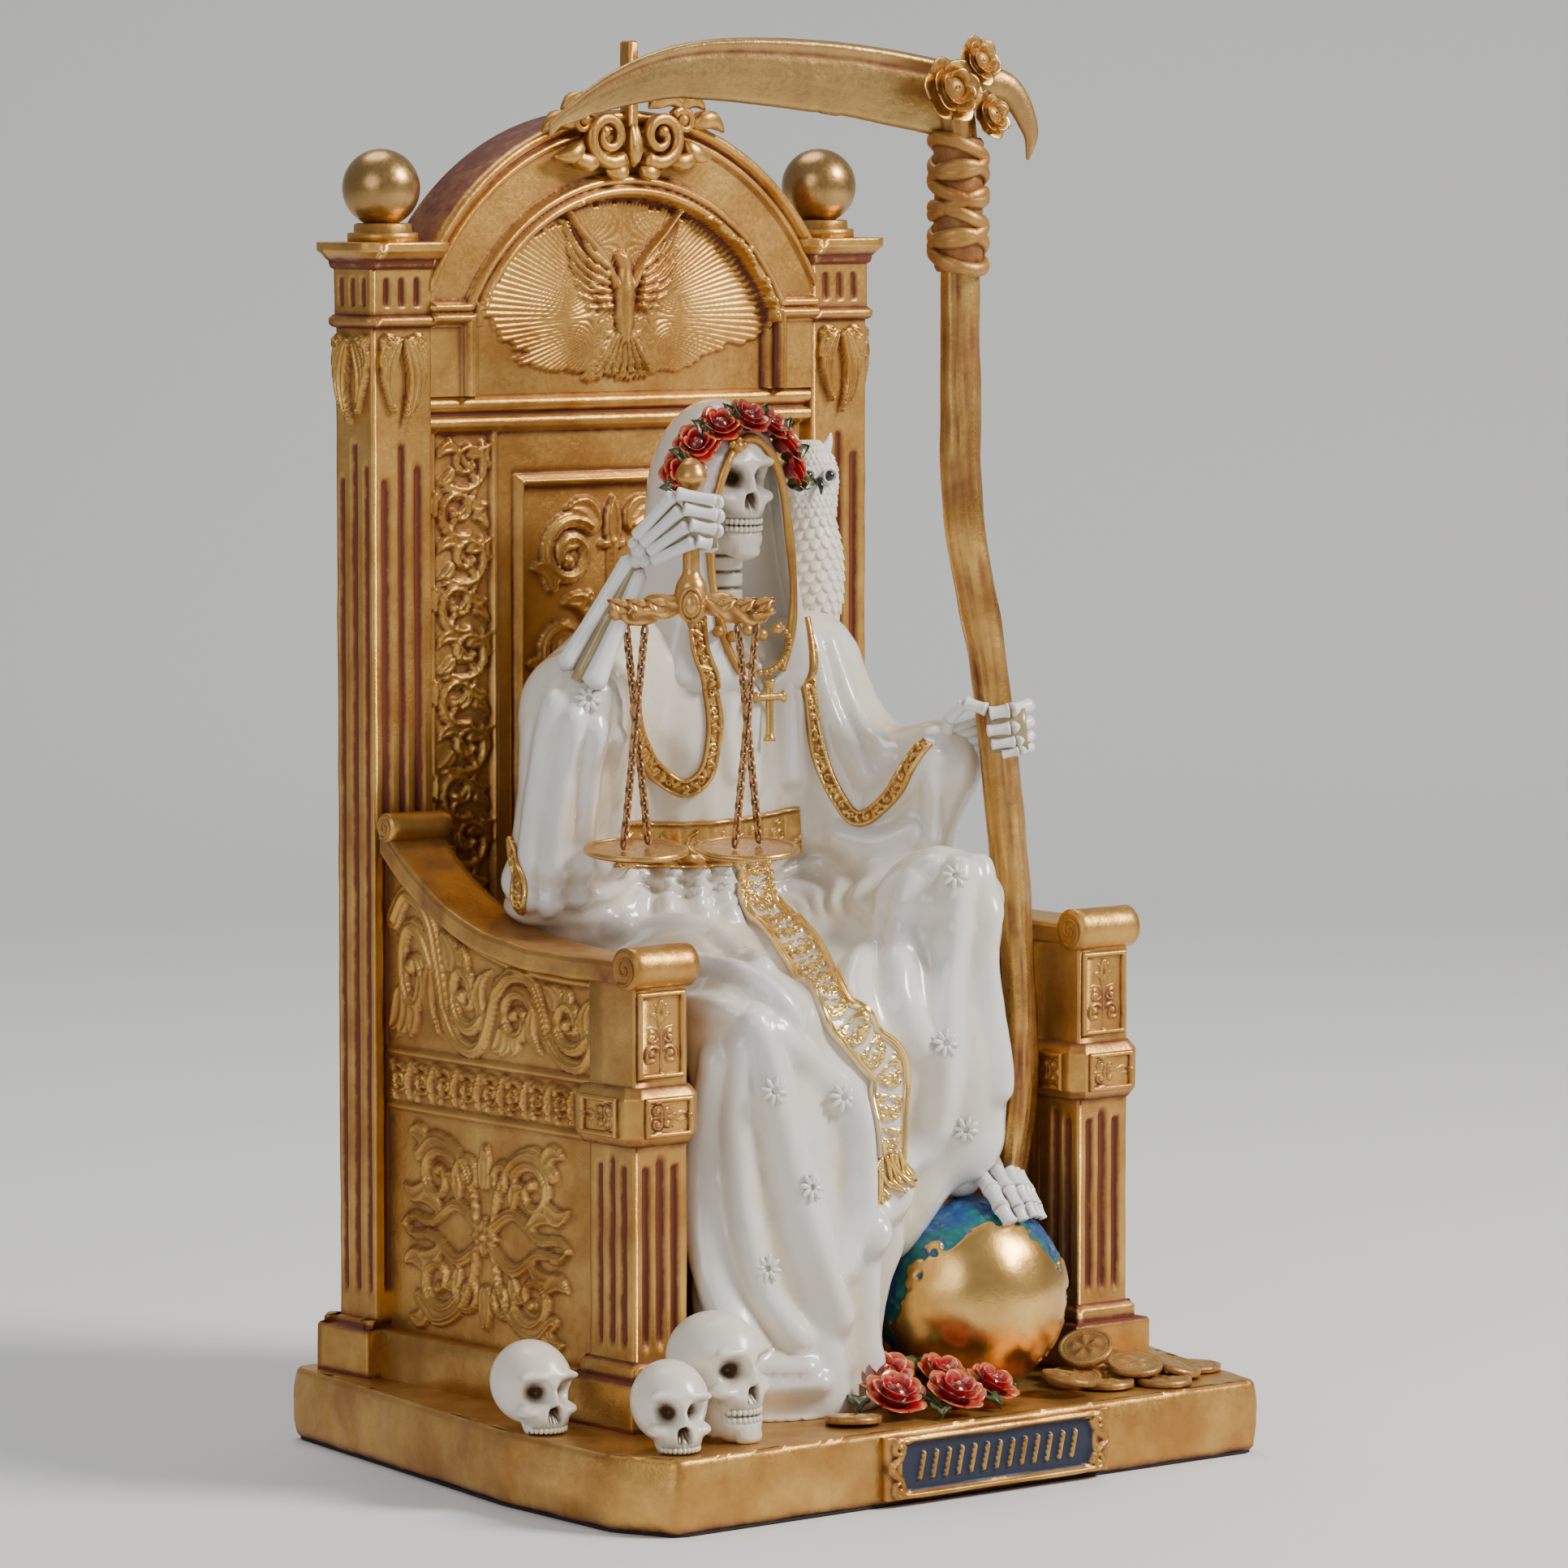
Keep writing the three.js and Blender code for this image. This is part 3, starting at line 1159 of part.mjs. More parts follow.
// Where a chain meets its pan, and where it leaves the beam
function chainEnds(side, near) {
  const sign = near ? 1 : -1;
  const offset = beamDirection.clone().multiplyScalar(-sign * chainSpread[0])
    .addScaledVector(V(beamDirection.y, -beamDirection.x, 0), sign * chainSpread[1]).applyQuaternion(panLean);
  const foot = panPlace(side).add(offset).add(V(0, 0, panThickness / 2 + 2 * clearance));
  const head = handle.clone().addScaledVector(beamDirection, side * panOffset + 2 * sign)
    .addScaledVector(V(beamDirection.y, -beamDirection.x, 0), sign * 0.8).add(V(0, 0, beamHeight - 4.4));
  return [foot, head];
}

// A chain, as a square rod that is turned a little at each of its links
function chain(side, near) {
  const [foot, head] = chainEnds(side, near);
  const steps = 4;
  return loft(Array.from({ length: steps + 1 }, (_, i) => ringOf(foot.clone().lerp(head, i / steps), X, Y, 4,
    () => [chainRadius * (i % 2 ? 1.1 : 0.8), chainRadius * (i % 2 ? 0.8 : 1.1)])));
}

function pan(side) {
  const t = panThickness / 2;
  const edge = panRadius - 0.6;
  const disc = turned([[0, -t], [edge, -t], [panRadius, 0], [edge, t], [0, t]], 12, 0, 0);
  const pin = turned([[0, -4.6], [1.1, -3.6], [0.7, 0], [0, 0]], 5, 0, 0).translate([side * -2.6, -2.6, 0]);
  const lean = new THREE.Matrix4().makeRotationFromQuaternion(panLean).setPosition(panPlace(side));
  return fuse(disc, pin).transform(lean.elements);
}

// Coins

function coin(x, y, z, tiltX = 0, tiltY = 0) {
  const t = coinThickness / 2;
  const rim = ringOf(V(0, 0, 0), X, Y, 8, () => [coinRadius, coinRadius]).map((p) => [p.x, p.y]);
  return prism(rim, 'z', -t, t).rotate([tiltX, tiltY, 0]).translate([x, y, baseTop + z]);
}

function coinPile() {
  const count = 7;
  const [x, y] = pileCentre;
  const coins = Array.from({ length: count }, (_, i) => {
    const share = i / (count - 1);
    const a = i * 2.4;
    const r = 17 * Math.sqrt(share);
    return coin(x + 1.05 * r * Math.cos(a), y + 0.55 * r * Math.sin(a), 1 + 6.5 * (1 - share) + (i % 2) * 0.8,
      10 * Math.sin(a * 1.7), 14 * Math.cos(a));
  });
  const heap = loft([[0, 16, 9], [6, 6, 4]].map(([z, rx, ry]) => ringOf(V(x, y, baseTop + z), X, Y, 8,
    () => [rx, ry])));
  return fuse(heap, coins);
}

function roseCluster(grow = 0) {
  const places = [[-10, -105, 7], [-17, -117, 5], [-4, -122, 5], [3, -110, 6.5], [10, -118, 4.8]];
  const roses = places.map(([x, y, h], i) => {
    const radius = roseRadius * lerp(1, 0.85, i / 4) + grow;
    return rose(V(x, y, baseTop + h), radius, V(0.03 * x, -0.7, 0.7), i);
  });
  const bed = loft([[0, 1], [3, 0.8]].map(([z, s]) => ringOf(V(-4, -113, baseTop + z), X, Y, 8,
    () => [18 * s + grow, 11 * s + grow])));
  return fuse(bed, roses);
}

const colours = {
  gold: 0xb98a3e, pearl: 0xf0ece4, bone: 0xe6dcc4, red: 0xb3141c, sea: 0x2a5f8f, felt: 0x151312,
};

function floorSkull([x, y, radius, yaw, jaw], grow = 0) {
  const lift = radius * (jaw ? 1.36 : 0.86);
  return skull(radius + grow, V(x, y, baseTop + lift), yaw, 0, jaw, 10, 8);
}

// Everything below the base's top and its clearance, cut away from what stands on the base
const ground = box(-baseMiddleHalfWidth, baseMiddleHalfWidth, -baseFront, baseRear, 0, baseTop + clearance);

// The room that the figure leaves for the seat and the arms
function seatRoom() {
  const c = clearance;
  const inner = armOuter - armWidth;
  const top = baseTop + seatHeight + c;
  const seat = box(-armOuter, armOuter, -seatDepth - c, backRecess, baseTop - 1, top);
  const rails = [-1, 1].map((side) => {
    const outline = armCurve(3).map(([y, z]) => [y, z + c + 0.5]);
    const [x0, x1] = side > 0 ? [inner - 1.6, armOuter] : [-armOuter, 1.6 - inner];
    return prism([...outline, [0, baseTop], [outline[0][0], baseTop]], 'x', x0, x1);
  });
  return fuse(seat, rails);
}

// The room that the skull by the arm leaves for the arm's plinth
function plinthRoom() {
  const c = clearance;
  const inner = armOuter - armWidth;
  const out = plinthProud + c;
  return box(-armOuter, out - inner, -pilasterFront - out - 1, 0, baseTop, baseTop + seatHeight);
}

const felt = prism(baseOutline(feltInset + 1.4), 'z', 0, feltThickness);
const [skullA, skullB, skullC, skullD] = floorSkulls;
const figureRoom = fuse(seatRoom(), globeRoom(), owl(clearance), shaft(clearance), handleRod(clearance),
  roseCluster(2 * clearance), floorSkull(skullC, 2 * clearance), floorSkull(skullD, 2 * clearance));
const skullCBody = floorSkull(skullC).subtract(fuse(ground, floorSkull(skullB, 2 * clearance)));
const skullDBody = floorSkull(skullD).subtract(fuse(ground, floorSkull(skullC, 2 * clearance), plinthRoom()));

const part = new THREE.Group();
part.add(
  mesh('felt_pad', felt, colours.felt, 0.95, 0),
  mesh('base_and_throne', throne(), colours.gold, 0.42, 0.75),
  mesh('figure', figure().subtract(figureRoom), colours.pearl, 0.35, 0),
  mesh('owl', owl(), colours.pearl, 0.5, 0),
  mesh('globe', globe().subtract(ground), colours.sea, 0.4, 0.3),
  mesh('scythe', scythe().subtract(ground), colours.gold, 0.35, 0.8),
  mesh('scales_beam', beam(), colours.gold, 0.35, 0.8),
  mesh('pan_left', pan(1), colours.gold, 0.35, 0.8),
  mesh('pan_right', pan(-1), colours.gold, 0.35, 0.8),
  mesh('chain_1', chain(-1, true), colours.gold, 0.4, 0.8),
  mesh('chain_2', chain(-1, false), colours.gold, 0.4, 0.8),
  mesh('chain_3', chain(1, true), colours.gold, 0.4, 0.8),
  mesh('chain_4', chain(1, false), colours.gold, 0.4, 0.8),
  mesh('skull_a', floorSkull(skullA).subtract(ground), colours.bone, 0.5, 0),
  mesh('skull_b', floorSkull(skullB).subtract(ground), colours.bone, 0.5, 0),
  mesh('skull_c', skullCBody, colours.bone, 0.5, 0),
  mesh('skull_d', skullDBody, colours.bone, 0.5, 0),
  mesh('rose_cluster', roseCluster().subtract(ground), colours.red, 0.3, 0),
  mesh('coin_pile', coinPile().subtract(ground), colours.gold, 0.4, 0.8),
  mesh('coin_front', coin(...frontCoin, 1 + clearance), colours.gold, 0.4, 0.8),
);

export default part;
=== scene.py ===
import math

import bpy
import numpy as np
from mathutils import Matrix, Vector


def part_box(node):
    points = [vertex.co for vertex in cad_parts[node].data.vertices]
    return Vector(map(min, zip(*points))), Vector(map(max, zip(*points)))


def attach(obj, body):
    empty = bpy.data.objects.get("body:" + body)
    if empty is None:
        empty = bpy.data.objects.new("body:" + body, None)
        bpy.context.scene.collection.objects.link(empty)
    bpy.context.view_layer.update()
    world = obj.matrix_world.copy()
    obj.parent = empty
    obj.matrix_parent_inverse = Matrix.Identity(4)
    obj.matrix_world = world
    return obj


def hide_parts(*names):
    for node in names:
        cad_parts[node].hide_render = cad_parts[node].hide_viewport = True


bl_info = {
    "name": "Seated saint on a carved throne",
    "version": (1, 0, 0),
    "blender": (4, 5, 0),
    "location": "3D View > Sidebar > Figurine",
    "description": "Builds the painted resin figurine round its packed solids",
    "category": "Object",
}

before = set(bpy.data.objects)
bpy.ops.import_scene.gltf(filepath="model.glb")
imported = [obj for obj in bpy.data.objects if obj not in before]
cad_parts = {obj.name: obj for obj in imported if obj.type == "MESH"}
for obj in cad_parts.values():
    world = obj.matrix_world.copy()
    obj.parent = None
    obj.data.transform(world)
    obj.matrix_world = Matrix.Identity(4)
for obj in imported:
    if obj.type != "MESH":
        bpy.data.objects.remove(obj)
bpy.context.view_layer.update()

MM = 0.001
TAU = 2 * math.pi
X, Y, Z = np.eye(3)
FRONT = -Y

# Places of the solids, in millimetres
felt_low, felt_high = [np.array(c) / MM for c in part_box("felt_pad")]
throne_low = np.array(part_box("base_and_throne")[0]) / MM
FELT_TOP = felt_high[2]
BASE_HEIGHT = 16.0
BASE_TOP = FELT_TOP + BASE_HEIGHT
POST_X = 64.0
POST_HALF = 8.4
POST_DEPTH = 14.0
POST_HEIGHT = 237.6
CORNICE_TOP = 273.3
BALL_RADIUS = 8.8
ARCH_CENTRE = 236.5
ARCH_RADIUS = 66.5
INNER_ARCH_RADIUS = 49.0
BACK_PLANE = 3.0
BACK_REAR = 13.4
SEAT_TOP = BASE_TOP + 70.0
RAIL_Z = 234.3
TYMPANUM_FOOT = 238.3
STRIP_CENTRE = 44.6
ARM_OUTER = 71.8
ARM_WIDTH = 15.0
ARM_FRONT = -93.8
PILASTER_DEPTH = 16.0
WALL_OUTER = 68.0
WALL_INNER = 57.0
TYMPANUM_SINK = 2.0
BASE_MIDDLE = np.array([0, -53.0])

# The upright planes, by their y, in which places on the figure are read off the photograph
CHEST = -50
LAP = -80


# What a user would change

def length_property(label, text, default):
    """A length in metres, from a default in millimetres."""
    return bpy.props.FloatProperty(name=label, description=text, default=default * MM, min=0.0, precision=5,
                                   subtype="DISTANCE", unit="LENGTH")


def colour_property(label, text, default):
    """A scene-linear colour."""
    return bpy.props.FloatVectorProperty(name=label, description=text, default=default, size=3, min=0.0,
                                         max=1.0, subtype="COLOR")


class FigurineSizes(bpy.types.PropertyGroup):
    """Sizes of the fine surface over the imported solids"""
    carving: length_property("Carving height", "How far the throne's scrolls stand out of their ground",
                             1.75)
    flute: length_property("Flute depth", "Depth of the grooves in posts and pilasters", 1.15)
    fold: length_property("Fold height", "Height of the robe's hanging folds", 1.5)
    trim: length_property("Trim relief", "Height of the scrolls on the robe's gold bands", 0.8)
    feather: length_property("Feather height", "How far the owl's feathers stand out at their tips", 0.75)
    rose: length_property("Crown rose radius", "Radius of each rose on the crown", 4.9)
    coin: length_property("Coin radius", "Radius of each coin on the base", 6.2)
    wire: length_property("Link wire radius", "Radius of the wire of the chain links", 0.36)
    bead: length_property("Bead radius", "Radius of each bead of the necklace", 0.78)


class FigurineColours(bpy.types.PropertyGroup):
    """Colours of the paints"""
    gold_light: colour_property("Gold, rubbed", "Gilt on the high places", (0.72, 0.43, 0.12))
    gold_dark: colour_property("Gold, aged", "Gilt between the high places", (0.46, 0.22, 0.05))
    gold_stain: colour_property("Gold stain", "Wash in the recesses of the gilt", (0.15, 0.03, 0.008))
    trim: colour_property("Trim gold", "Gold of the bands, necklace and sash", (0.85, 0.56, 0.16))
    chain: colour_property("Chain", "Metal of the four chains", (0.66, 0.36, 0.15))
    plate: colour_property("Name panel", "Ground of the panel at the base's front", (0.006, 0.012, 0.035))
    pearl: colour_property("Robe", "Pearl white of the robe and hood", (0.74, 0.72, 0.68))
    # Painted shade: the colour that the robe's low folds and the inside of the hood are darkened toward.
    robe_fold_shade: colour_property("Robe shade", "Tone in the folds of the robe", (0.62, 0.52, 0.34))
    bone: colour_property("Skull", "Cream of the skulls and the neck", (0.76, 0.71, 0.59))
    hand: colour_property("Hands", "Cool white of the hands and the foot", (0.78, 0.78, 0.75))
    rose: colour_property("Roses", "Red of the roses", (0.50, 0.006, 0.012))
    leaf: colour_property("Leaves", "Green of the rose leaves", (0.015, 0.05, 0.018))
    owl: colour_property("Owl", "White of the owl", (0.80, 0.78, 0.73))
    sea: colour_property("Sea", "Deep blue of the globe", (0.006, 0.03, 0.12))
    land: colour_property("Land", "Gold of the globe", (0.85, 0.54, 0.17))


def size_of(name):
    """A size from the panel, in millimetres."""
    return getattr(bpy.context.scene.figurine_sizes, name) / MM


def colour_of(name):
    """A colour from the panel."""
    return tuple(getattr(bpy.context.scene.figurine_colours, name))


# Arrays

def clamp(x):
    """The value, held between 0 and 1."""
    return np.clip(x, 0.0, 1.0)


def smooth(x):
    """The cubic 3x squared minus 2x cubed, held between 0 and 1."""
    x = clamp(x)
    return x * x * (3 - 2 * x)


def bell(distance, width):
    """The exponential of minus the squared share of distance over width."""
    return np.exp(-(distance / width) ** 2)


def dome(distance, width):
    """The root of 1 minus the squared share of distance over width, and 0 beyond it."""
    return np.sqrt(clamp(1 - (distance / width) ** 2))


def lerp(a, b, t):
    """The value at the share t of the way from a to b."""
    return a + (b - a) * t


def between(corners, count):
    """Points at equal steps along each side of a line of corners, without its last corner."""
    corners = np.asarray(corners, float)
    t = np.linspace(0, 1, count, endpoint=False)[:, None]
    return np.concatenate([lerp(p, q, t) for p, q in zip(corners[:-1], corners[1:])])


def lifted(plan, z):
    """Rings of [x, y] with one height for each ring."""
    return np.concatenate([plan, np.broadcast_to(z[:, None, None], plan.shape[:2] + (1,))], -1)


def unit(v):
    """The vectors at length 1."""
    v = np.asarray(v, float)
    return v / np.maximum(np.linalg.norm(v, axis=-1, keepdims=True), 1e-12)


def lattice(ix, iy, iz, seed):
    """A fixed number between 0 and 1 for each cell corner, the fraction of a large multiple of a sine."""
    return np.modf(np.abs(np.sin(ix * 12.9898 + iy * 78.233 + iz * 37.719 + seed * 4.1) * 43758.5453))[0]


def noise(points, size, seed=0):
    """Value noise between -1 and 1: corner numbers of a cubic lattice of that size, blended smoothly."""
    p = np.asarray(points) / size
    low = np.floor(p)
    f = smooth(p - low)
    total = 0.0
    for corner in range(8):
        d = np.array([corner & 1, corner >> 1 & 1, corner >> 2 & 1])
        share = np.prod(np.where(d, f, 1 - f), axis=-1)
        c = low + d
        total = total + share * lattice(c[..., 0], c[..., 1], c[..., 2], seed)
    return 2 * total - 1


def curve(points, count):
    """A Catmull-Rom curve through the points, at equal steps of its parameter."""
    p = np.asarray(points, float)
    ends = np.concatenate([[2 * p[0] - p[1]], p, [2 * p[-1] - p[-2]]])
    t = np.linspace(0, len(p) - 1, count)
    i = np.minimum(t.astype(int), len(p) - 2)
    f = (t - i)[:, None]
    a, b, c, d = (ends[i + k] for k in range(4))
    return (0.5 * (2 * b + (c - a) * f + (2 * a - 5 * b + 4 * c - d) * f ** 2
                   + (3 * b - a - 3 * c + d) * f ** 3))


def blurred(values, reach):
    """The mean over a square window of a grid, by running sums along both directions."""
    for axis in (0, 1):
        pad = [(reach + 1, reach) if a == axis else (0, 0) for a in (0, 1)]
        total = np.cumsum(np.pad(values, pad, mode="edge"), axis=axis)
        size = 2 * reach + 1
        upper = np.take(total, range(size, total.shape[axis]), axis=axis)
        lower = np.take(total, range(0, total.shape[axis] - size), axis=axis)
        values = (upper - lower) / size
    return values


# Meshes

def squares(index):
    """The four corners of each square of a grid of point numbers."""
    return np.stack([index[:-1, :-1], index[:-1, 1:], index[1:, 1:], index[1:, :-1]], -1).reshape(-1, 4)


def border_of(index):
    """The point numbers round the border of a grid, in order."""
    return np.concatenate([index[0, :-1], index[:-1, -1], index[-1, :0:-1], index[:0:-1, 0]])


class Shape:
    """Closed shells gathered for one mesh, each turned so that its faces point out."""

    def __init__(self):
        self.points, self.quads, self.tris = [], [], []
        self.wash, self.tint = [], []
        self.count = 0

    def add(self, points, quads, tris, wash=0.0, tint=0.0):
        """Adds a shell. A negative volume, summed over its triangles, means that it has to be turned."""
        quads = np.asarray(quads, int).reshape(-1, 4)
        tris = np.asarray(tris, int).reshape(-1, 3)
        corners = np.concatenate([tris, quads[:, :3], quads[:, [0, 2, 3]]])
        a, b, c = (points[corners[:, k]] for k in range(3))
        if np.einsum("ij,ij->", a, np.cross(b, c)) < 0:
            quads, tris = quads[:, ::-1], tris[:, ::-1]
        self.points.append(points)
        self.quads.append(quads + self.count)
        self.tris.append(tris + self.count)
        self.wash.append(np.broadcast_to(wash, len(points)))
        self.tint.append(np.broadcast_to(tint, len(points)))
        self.count += len(points)

    def tube(self, grid, wash=0.0, tint=0.0):
        """Adds rings of points, closed round each ring and by a fan at both ends."""
        n, m, _ = grid.shape
        first, last = grid[0].mean(0), grid[-1].mean(0)
        points = np.concatenate([grid.reshape(-1, 3), [first, last]])
        i, j = np.meshgrid(np.arange(n - 1), np.arange(m), indexing="ij")
        k = (j + 1) % m
        quads = np.stack([i * m + j, i * m + k, (i + 1) * m + k, (i + 1) * m + j], -1).reshape(-1, 4)
        j = np.arange(m)
        k = (j + 1) % m
        fans = [np.stack([k, j, np.full(m, n * m)], -1),
                np.stack([(n - 1) * m + j, (n - 1) * m + k, np.full(m, n * m + 1)], -1)]

        def spread(values):
            """A value for each point, and their mean at both centres."""
            v = np.broadcast_to(values, (n, m)).reshape(-1)
            return np.concatenate([v, [v[:m].mean(), v[-m:].mean()]])
        self.add(points, quads, np.concatenate(fans), spread(wash), spread(tint))

    def shell(self, top, bottom, wash=0.0, tint=0.0):
        """Adds a sheet with thickness: two grids of points, joined by walls along their borders."""
        n, m, _ = top.shape
        index = np.arange(n * m).reshape(n, m)
        upper = squares(index)
        lower = upper[:, ::-1] + n * m
        border = border_of(index)
        following = np.roll(border, -1)
        walls = np.stack([following, border, border + n * m, following + n * m], -1)
        points = np.concatenate([top.reshape(-1, 3), bottom.reshape(-1, 3)])
        wash, tint = (np.broadcast_to(v, (n, m)).reshape(-1) for v in (wash, tint))
        self.add(points, np.concatenate([upper, lower, walls]), np.zeros((0, 3), int),
                 np.concatenate([wash, wash]), np.concatenate([tint, tint]))

    def slab(self, front, back_shift, wash=0.0, tint=0.0):
        """Adds a relief grid with walls down to a flat back, which is its border moved by back_shift. A
        ring close inside the back's edge keeps the back's shading flat."""
        n, m, _ = front.shape
        index = np.arange(n * m).reshape(n, m)
        border = border_of(index)
        points = front.reshape(-1, 3)
        rim = points[border] + back_shift(points[border])
        middle = rim.mean(0)
        size, around = len(points), len(border)
        points = np.concatenate([points, rim, rim + 0.6 * unit(middle - rim), [middle]])
        b = np.arange(around)
        rings = [border, size + b, size + around + b]
        c = (b + 1) % around
        walls = [np.stack([outer[c], outer[b], inner[b], inner[c]], -1)
                 for outer, inner in zip(rings, rings[1:])]
        fan = np.stack([rings[2][c], rings[2][b], np.full(around, size + 2 * around)], -1)

        def spread(values, back):
            """A value for each point, carried down the walls, and one for the back."""
            v = np.broadcast_to(values, (n, m)).reshape(-1)
            return np.concatenate([v, v[border], np.full(around + 1, back)])
        self.add(points, np.concatenate([squares(index), *walls]), fan, spread(wash, 0.12),
                 spread(tint, 0.0))

    def piece(self, name, material, slot, *nodes):
        """Makes the object, in metres, which rides on the root and stands for the nodes."""
        mesh = bpy.data.meshes.new(name)
        points = np.concatenate(self.points)
        quads, tris = np.concatenate(self.quads), np.concatenate(self.tris)
        loops = np.concatenate([quads.reshape(-1), tris.reshape(-1)])
        totals = np.concatenate([np.full(len(quads), 4), np.full(len(tris), 3)])
        mesh.vertices.add(len(points))
        mesh.vertices.foreach_set("co", (points * MM).astype(np.float32).reshape(-1))
        mesh.loops.add(len(loops))
        mesh.loops.foreach_set("vertex_index", loops.astype(np.int32))
        mesh.polygons.add(len(totals))
        starts = np.concatenate([[0], np.cumsum(totals)[:-1]])
        mesh.polygons.foreach_set("loop_start", starts.astype(np.int32))
        mesh.polygons.foreach_set("use_smooth", np.ones(len(totals), bool))
        mesh.update(calc_edges=True)
        mesh.validate()
        # The wash attribute holds the paint wash in hollows and, on the robe, the hood and the chains,
        # painted shade.
        for label, values in (("wash", self.wash), ("tint", self.tint)):
            layer = mesh.attributes.new(label, "FLOAT", "POINT")
            layer.data.foreach_set("value", clamp(np.concatenate(values)).astype(np.float32))
        mesh.materials.append(finish(material))
        piece = bpy.data.objects.new(name, mesh)
        bpy.context.scene.collection.objects.link(piece)
        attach(piece, "root")
        if nodes:
            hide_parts(*nodes)
        return piece


def frames(path, up):
    """Side and over directions along a path: across the tangent and the given direction."""
    along = unit(np.gradient(path, axis=0))
    side = unit(np.cross(along, up))
    return along, side, np.cross(side, along)


def swept(path, radius, sides, up=Y, flat=1.0, twist=0.0, lobes=None):
    """A tube: rings of that radius across the path, flattened by flat along the over direction."""
    path = np.asarray(path, float)
    _, side, over = frames(path, np.asarray(up, float))
    turn = np.arange(sides) / sides * TAU + np.broadcast_to(twist, len(path))[:, None]
    r = np.broadcast_to(radius, len(path))[:, None] * (1 if lobes is None else lobes(turn))
    flat = np.broadcast_to(flat, len(path))[:, None]
    return (path[:, None] + (r * np.cos(turn))[..., None] * side[:, None]
            + (r * flat * np.sin(turn))[..., None] * over[:, None])


def rounded_rectangle(half_x, half_y, corner, per_side):
    """Points round a rectangle with round corners, and the outward direction at each."""
    t = np.linspace(-1, 1, per_side, endpoint=False)
    arc = np.linspace(0, math.pi / 2, 5)
    points, normals = [], []
    for k in range(4):
        a = k * math.pi / 2
        c, s = round(math.cos(a)), round(math.sin(a))
        along, across = (half_y, half_x) if k % 2 == 0 else (half_x, half_y)
        edge = np.stack([np.full(per_side, across), t * (along - corner)], -1)
        bend = np.stack([across - corner + corner * np.cos(arc), along - corner + corner * np.sin(arc)], -1)
        out = np.concatenate([np.tile([1.0, 0.0], (per_side, 1)), np.stack([np.cos(arc), np.sin(arc)], -1)])
        turn = np.array([[c, s], [-s, c]])
        points.append(np.concatenate([edge, bend]) @ turn)
        normals.append(out @ turn)
    return np.concatenate(points), np.concatenate(normals)


def column(centre, half, levels, corner=0.6, per_side=8, dent=None, wear=0.12):
    """A rectangular column: its outline at each level, moved out by that level's share and in by dents."""
    outline, normal = rounded_rectangle(half[0], half[1], corner, per_side)
    z, out = np.array(levels, float).T
    grid = outline[None] + normal[None] * out[:, None, None]
    full = lifted(centre[:2] + grid, z)
    depth = wear * noise(full, 7.0, 3) + (dent(outline, normal, z) if dent else 0)
    full[..., :2] += normal[None] * depth[..., None]
    return full


def steps(*corners, rise=0.7):
    """Levels for a moulded column: each [z, out] corner with a close level on both sides of it."""
    levels = []
    for (z0, o0), (z1, o1) in zip(corners[:-1], corners[1:]):
        count = max(2, int(math.hypot(z1 - z0, o1 - o0) / rise))
        levels += [(lerp(z0, z1, t), lerp(o0, o1, t)) for t in np.linspace(0, 1, count, endpoint=False)]
    return levels + [corners[-1]]


def block(shape, low, high, corner=0.6, wash=0.0, step=3.0):
    """A box with rounded upright edges and eased top and bottom."""
    low, high = np.asarray(low, float), np.asarray(high, float)
    centre, half = (low + high) / 2, (high - low) / 2
    z0, z1 = low[2], high[2]
    e = min(0.5, (z1 - z0) / 4)
    levels = steps((z0, -e), (z0 + e, 0), (z1 - e, 0), (z1, -e), rise=step)
    grid = column(centre, half[:2], levels, corner, max(3, int(2 * half[0] / 4)))
    shape.tube(grid, wash)


# Carving: strokes that stand out of a panel, each a line of [u, v] with a width and a height at each point

PROFILES = {
    "ribbon": lambda x: np.sqrt(1 - x ** 4) * (0.76 + 0.24 * np.cos(TAU * x)),
    "round": lambda x: np.sqrt(1 - x ** 2),
    "leaf": lambda x: (1 - x ** 6) * (0.5 + 0.5 * x),
}


def stroke(points, width, height=1.0, kind="ribbon"):
    """A stroke as its points, a width and a height for each of them, and its profile."""
    points = np.asarray(points, float)
    n = len(points)
    return points, np.broadcast_to(width, n).astype(float), np.broadcast_to(height, n).astype(float), kind


def spiral(cx, cy, radius, start, turns, width, height=1.0, count=22, inner=0.22, berry=True):
    """A scroll whose radius falls evenly as it turns, thinning inward, with a berry at its eye."""
    t = np.linspace(0, 1, count)
    r = radius * (1 - (1 - inner) * t ** 0.8)
    a = start + turns * TAU * t
    points = np.stack([cx + r * np.cos(a), cy + r * np.sin(a)], -1)
    strokes = [stroke(points, width * (1 - 0.5 * t), height)]
    if berry:
        eye = points[-1]
        strokes.append(stroke([eye, eye + 0.01], width * 0.95, height * 1.05, "round"))
    return strokes


def petal(x0, y0, x1, y1, width, bend=0.0, height=0.9, kind="leaf"):
    """A pointed leaf from one place to another, bowed sideways by bend."""
    t = np.linspace(0, 1, 8)
    dx, dy = x1 - x0, y1 - y0
    bow = bend * np.sin(math.pi * t)
    points = np.stack([x0 + dx * t - dy * bow, y0 + dy * t + dx * bow], -1)
    return stroke(points, 0.15 + width * np.sin(math.pi * t ** 0.75) ** 0.8, height, kind)


def flipped(strokes, su=1, sv=1, du=0.0, dv=0.0):
    """The strokes with both coordinates multiplied and then moved."""
    return [(p * [su, sv] + [du, dv], w, h, kind) for p, w, h, kind in strokes]


def mirrored(strokes):
    """The strokes and their mirror images."""
    return strokes + flipped(strokes, -1, 1)


def four_ways(quarter):
    """A quarter of an ornament, set in all four quarters."""
    return [s for su in (1, -1) for sv in (1, -1) for s in flipped(quarter, su, sv)]


def swapped(strokes):
    """The strokes with u and v exchanged."""
    return [(p[:, ::-1], w, h, kind) for p, w, h, kind in strokes]


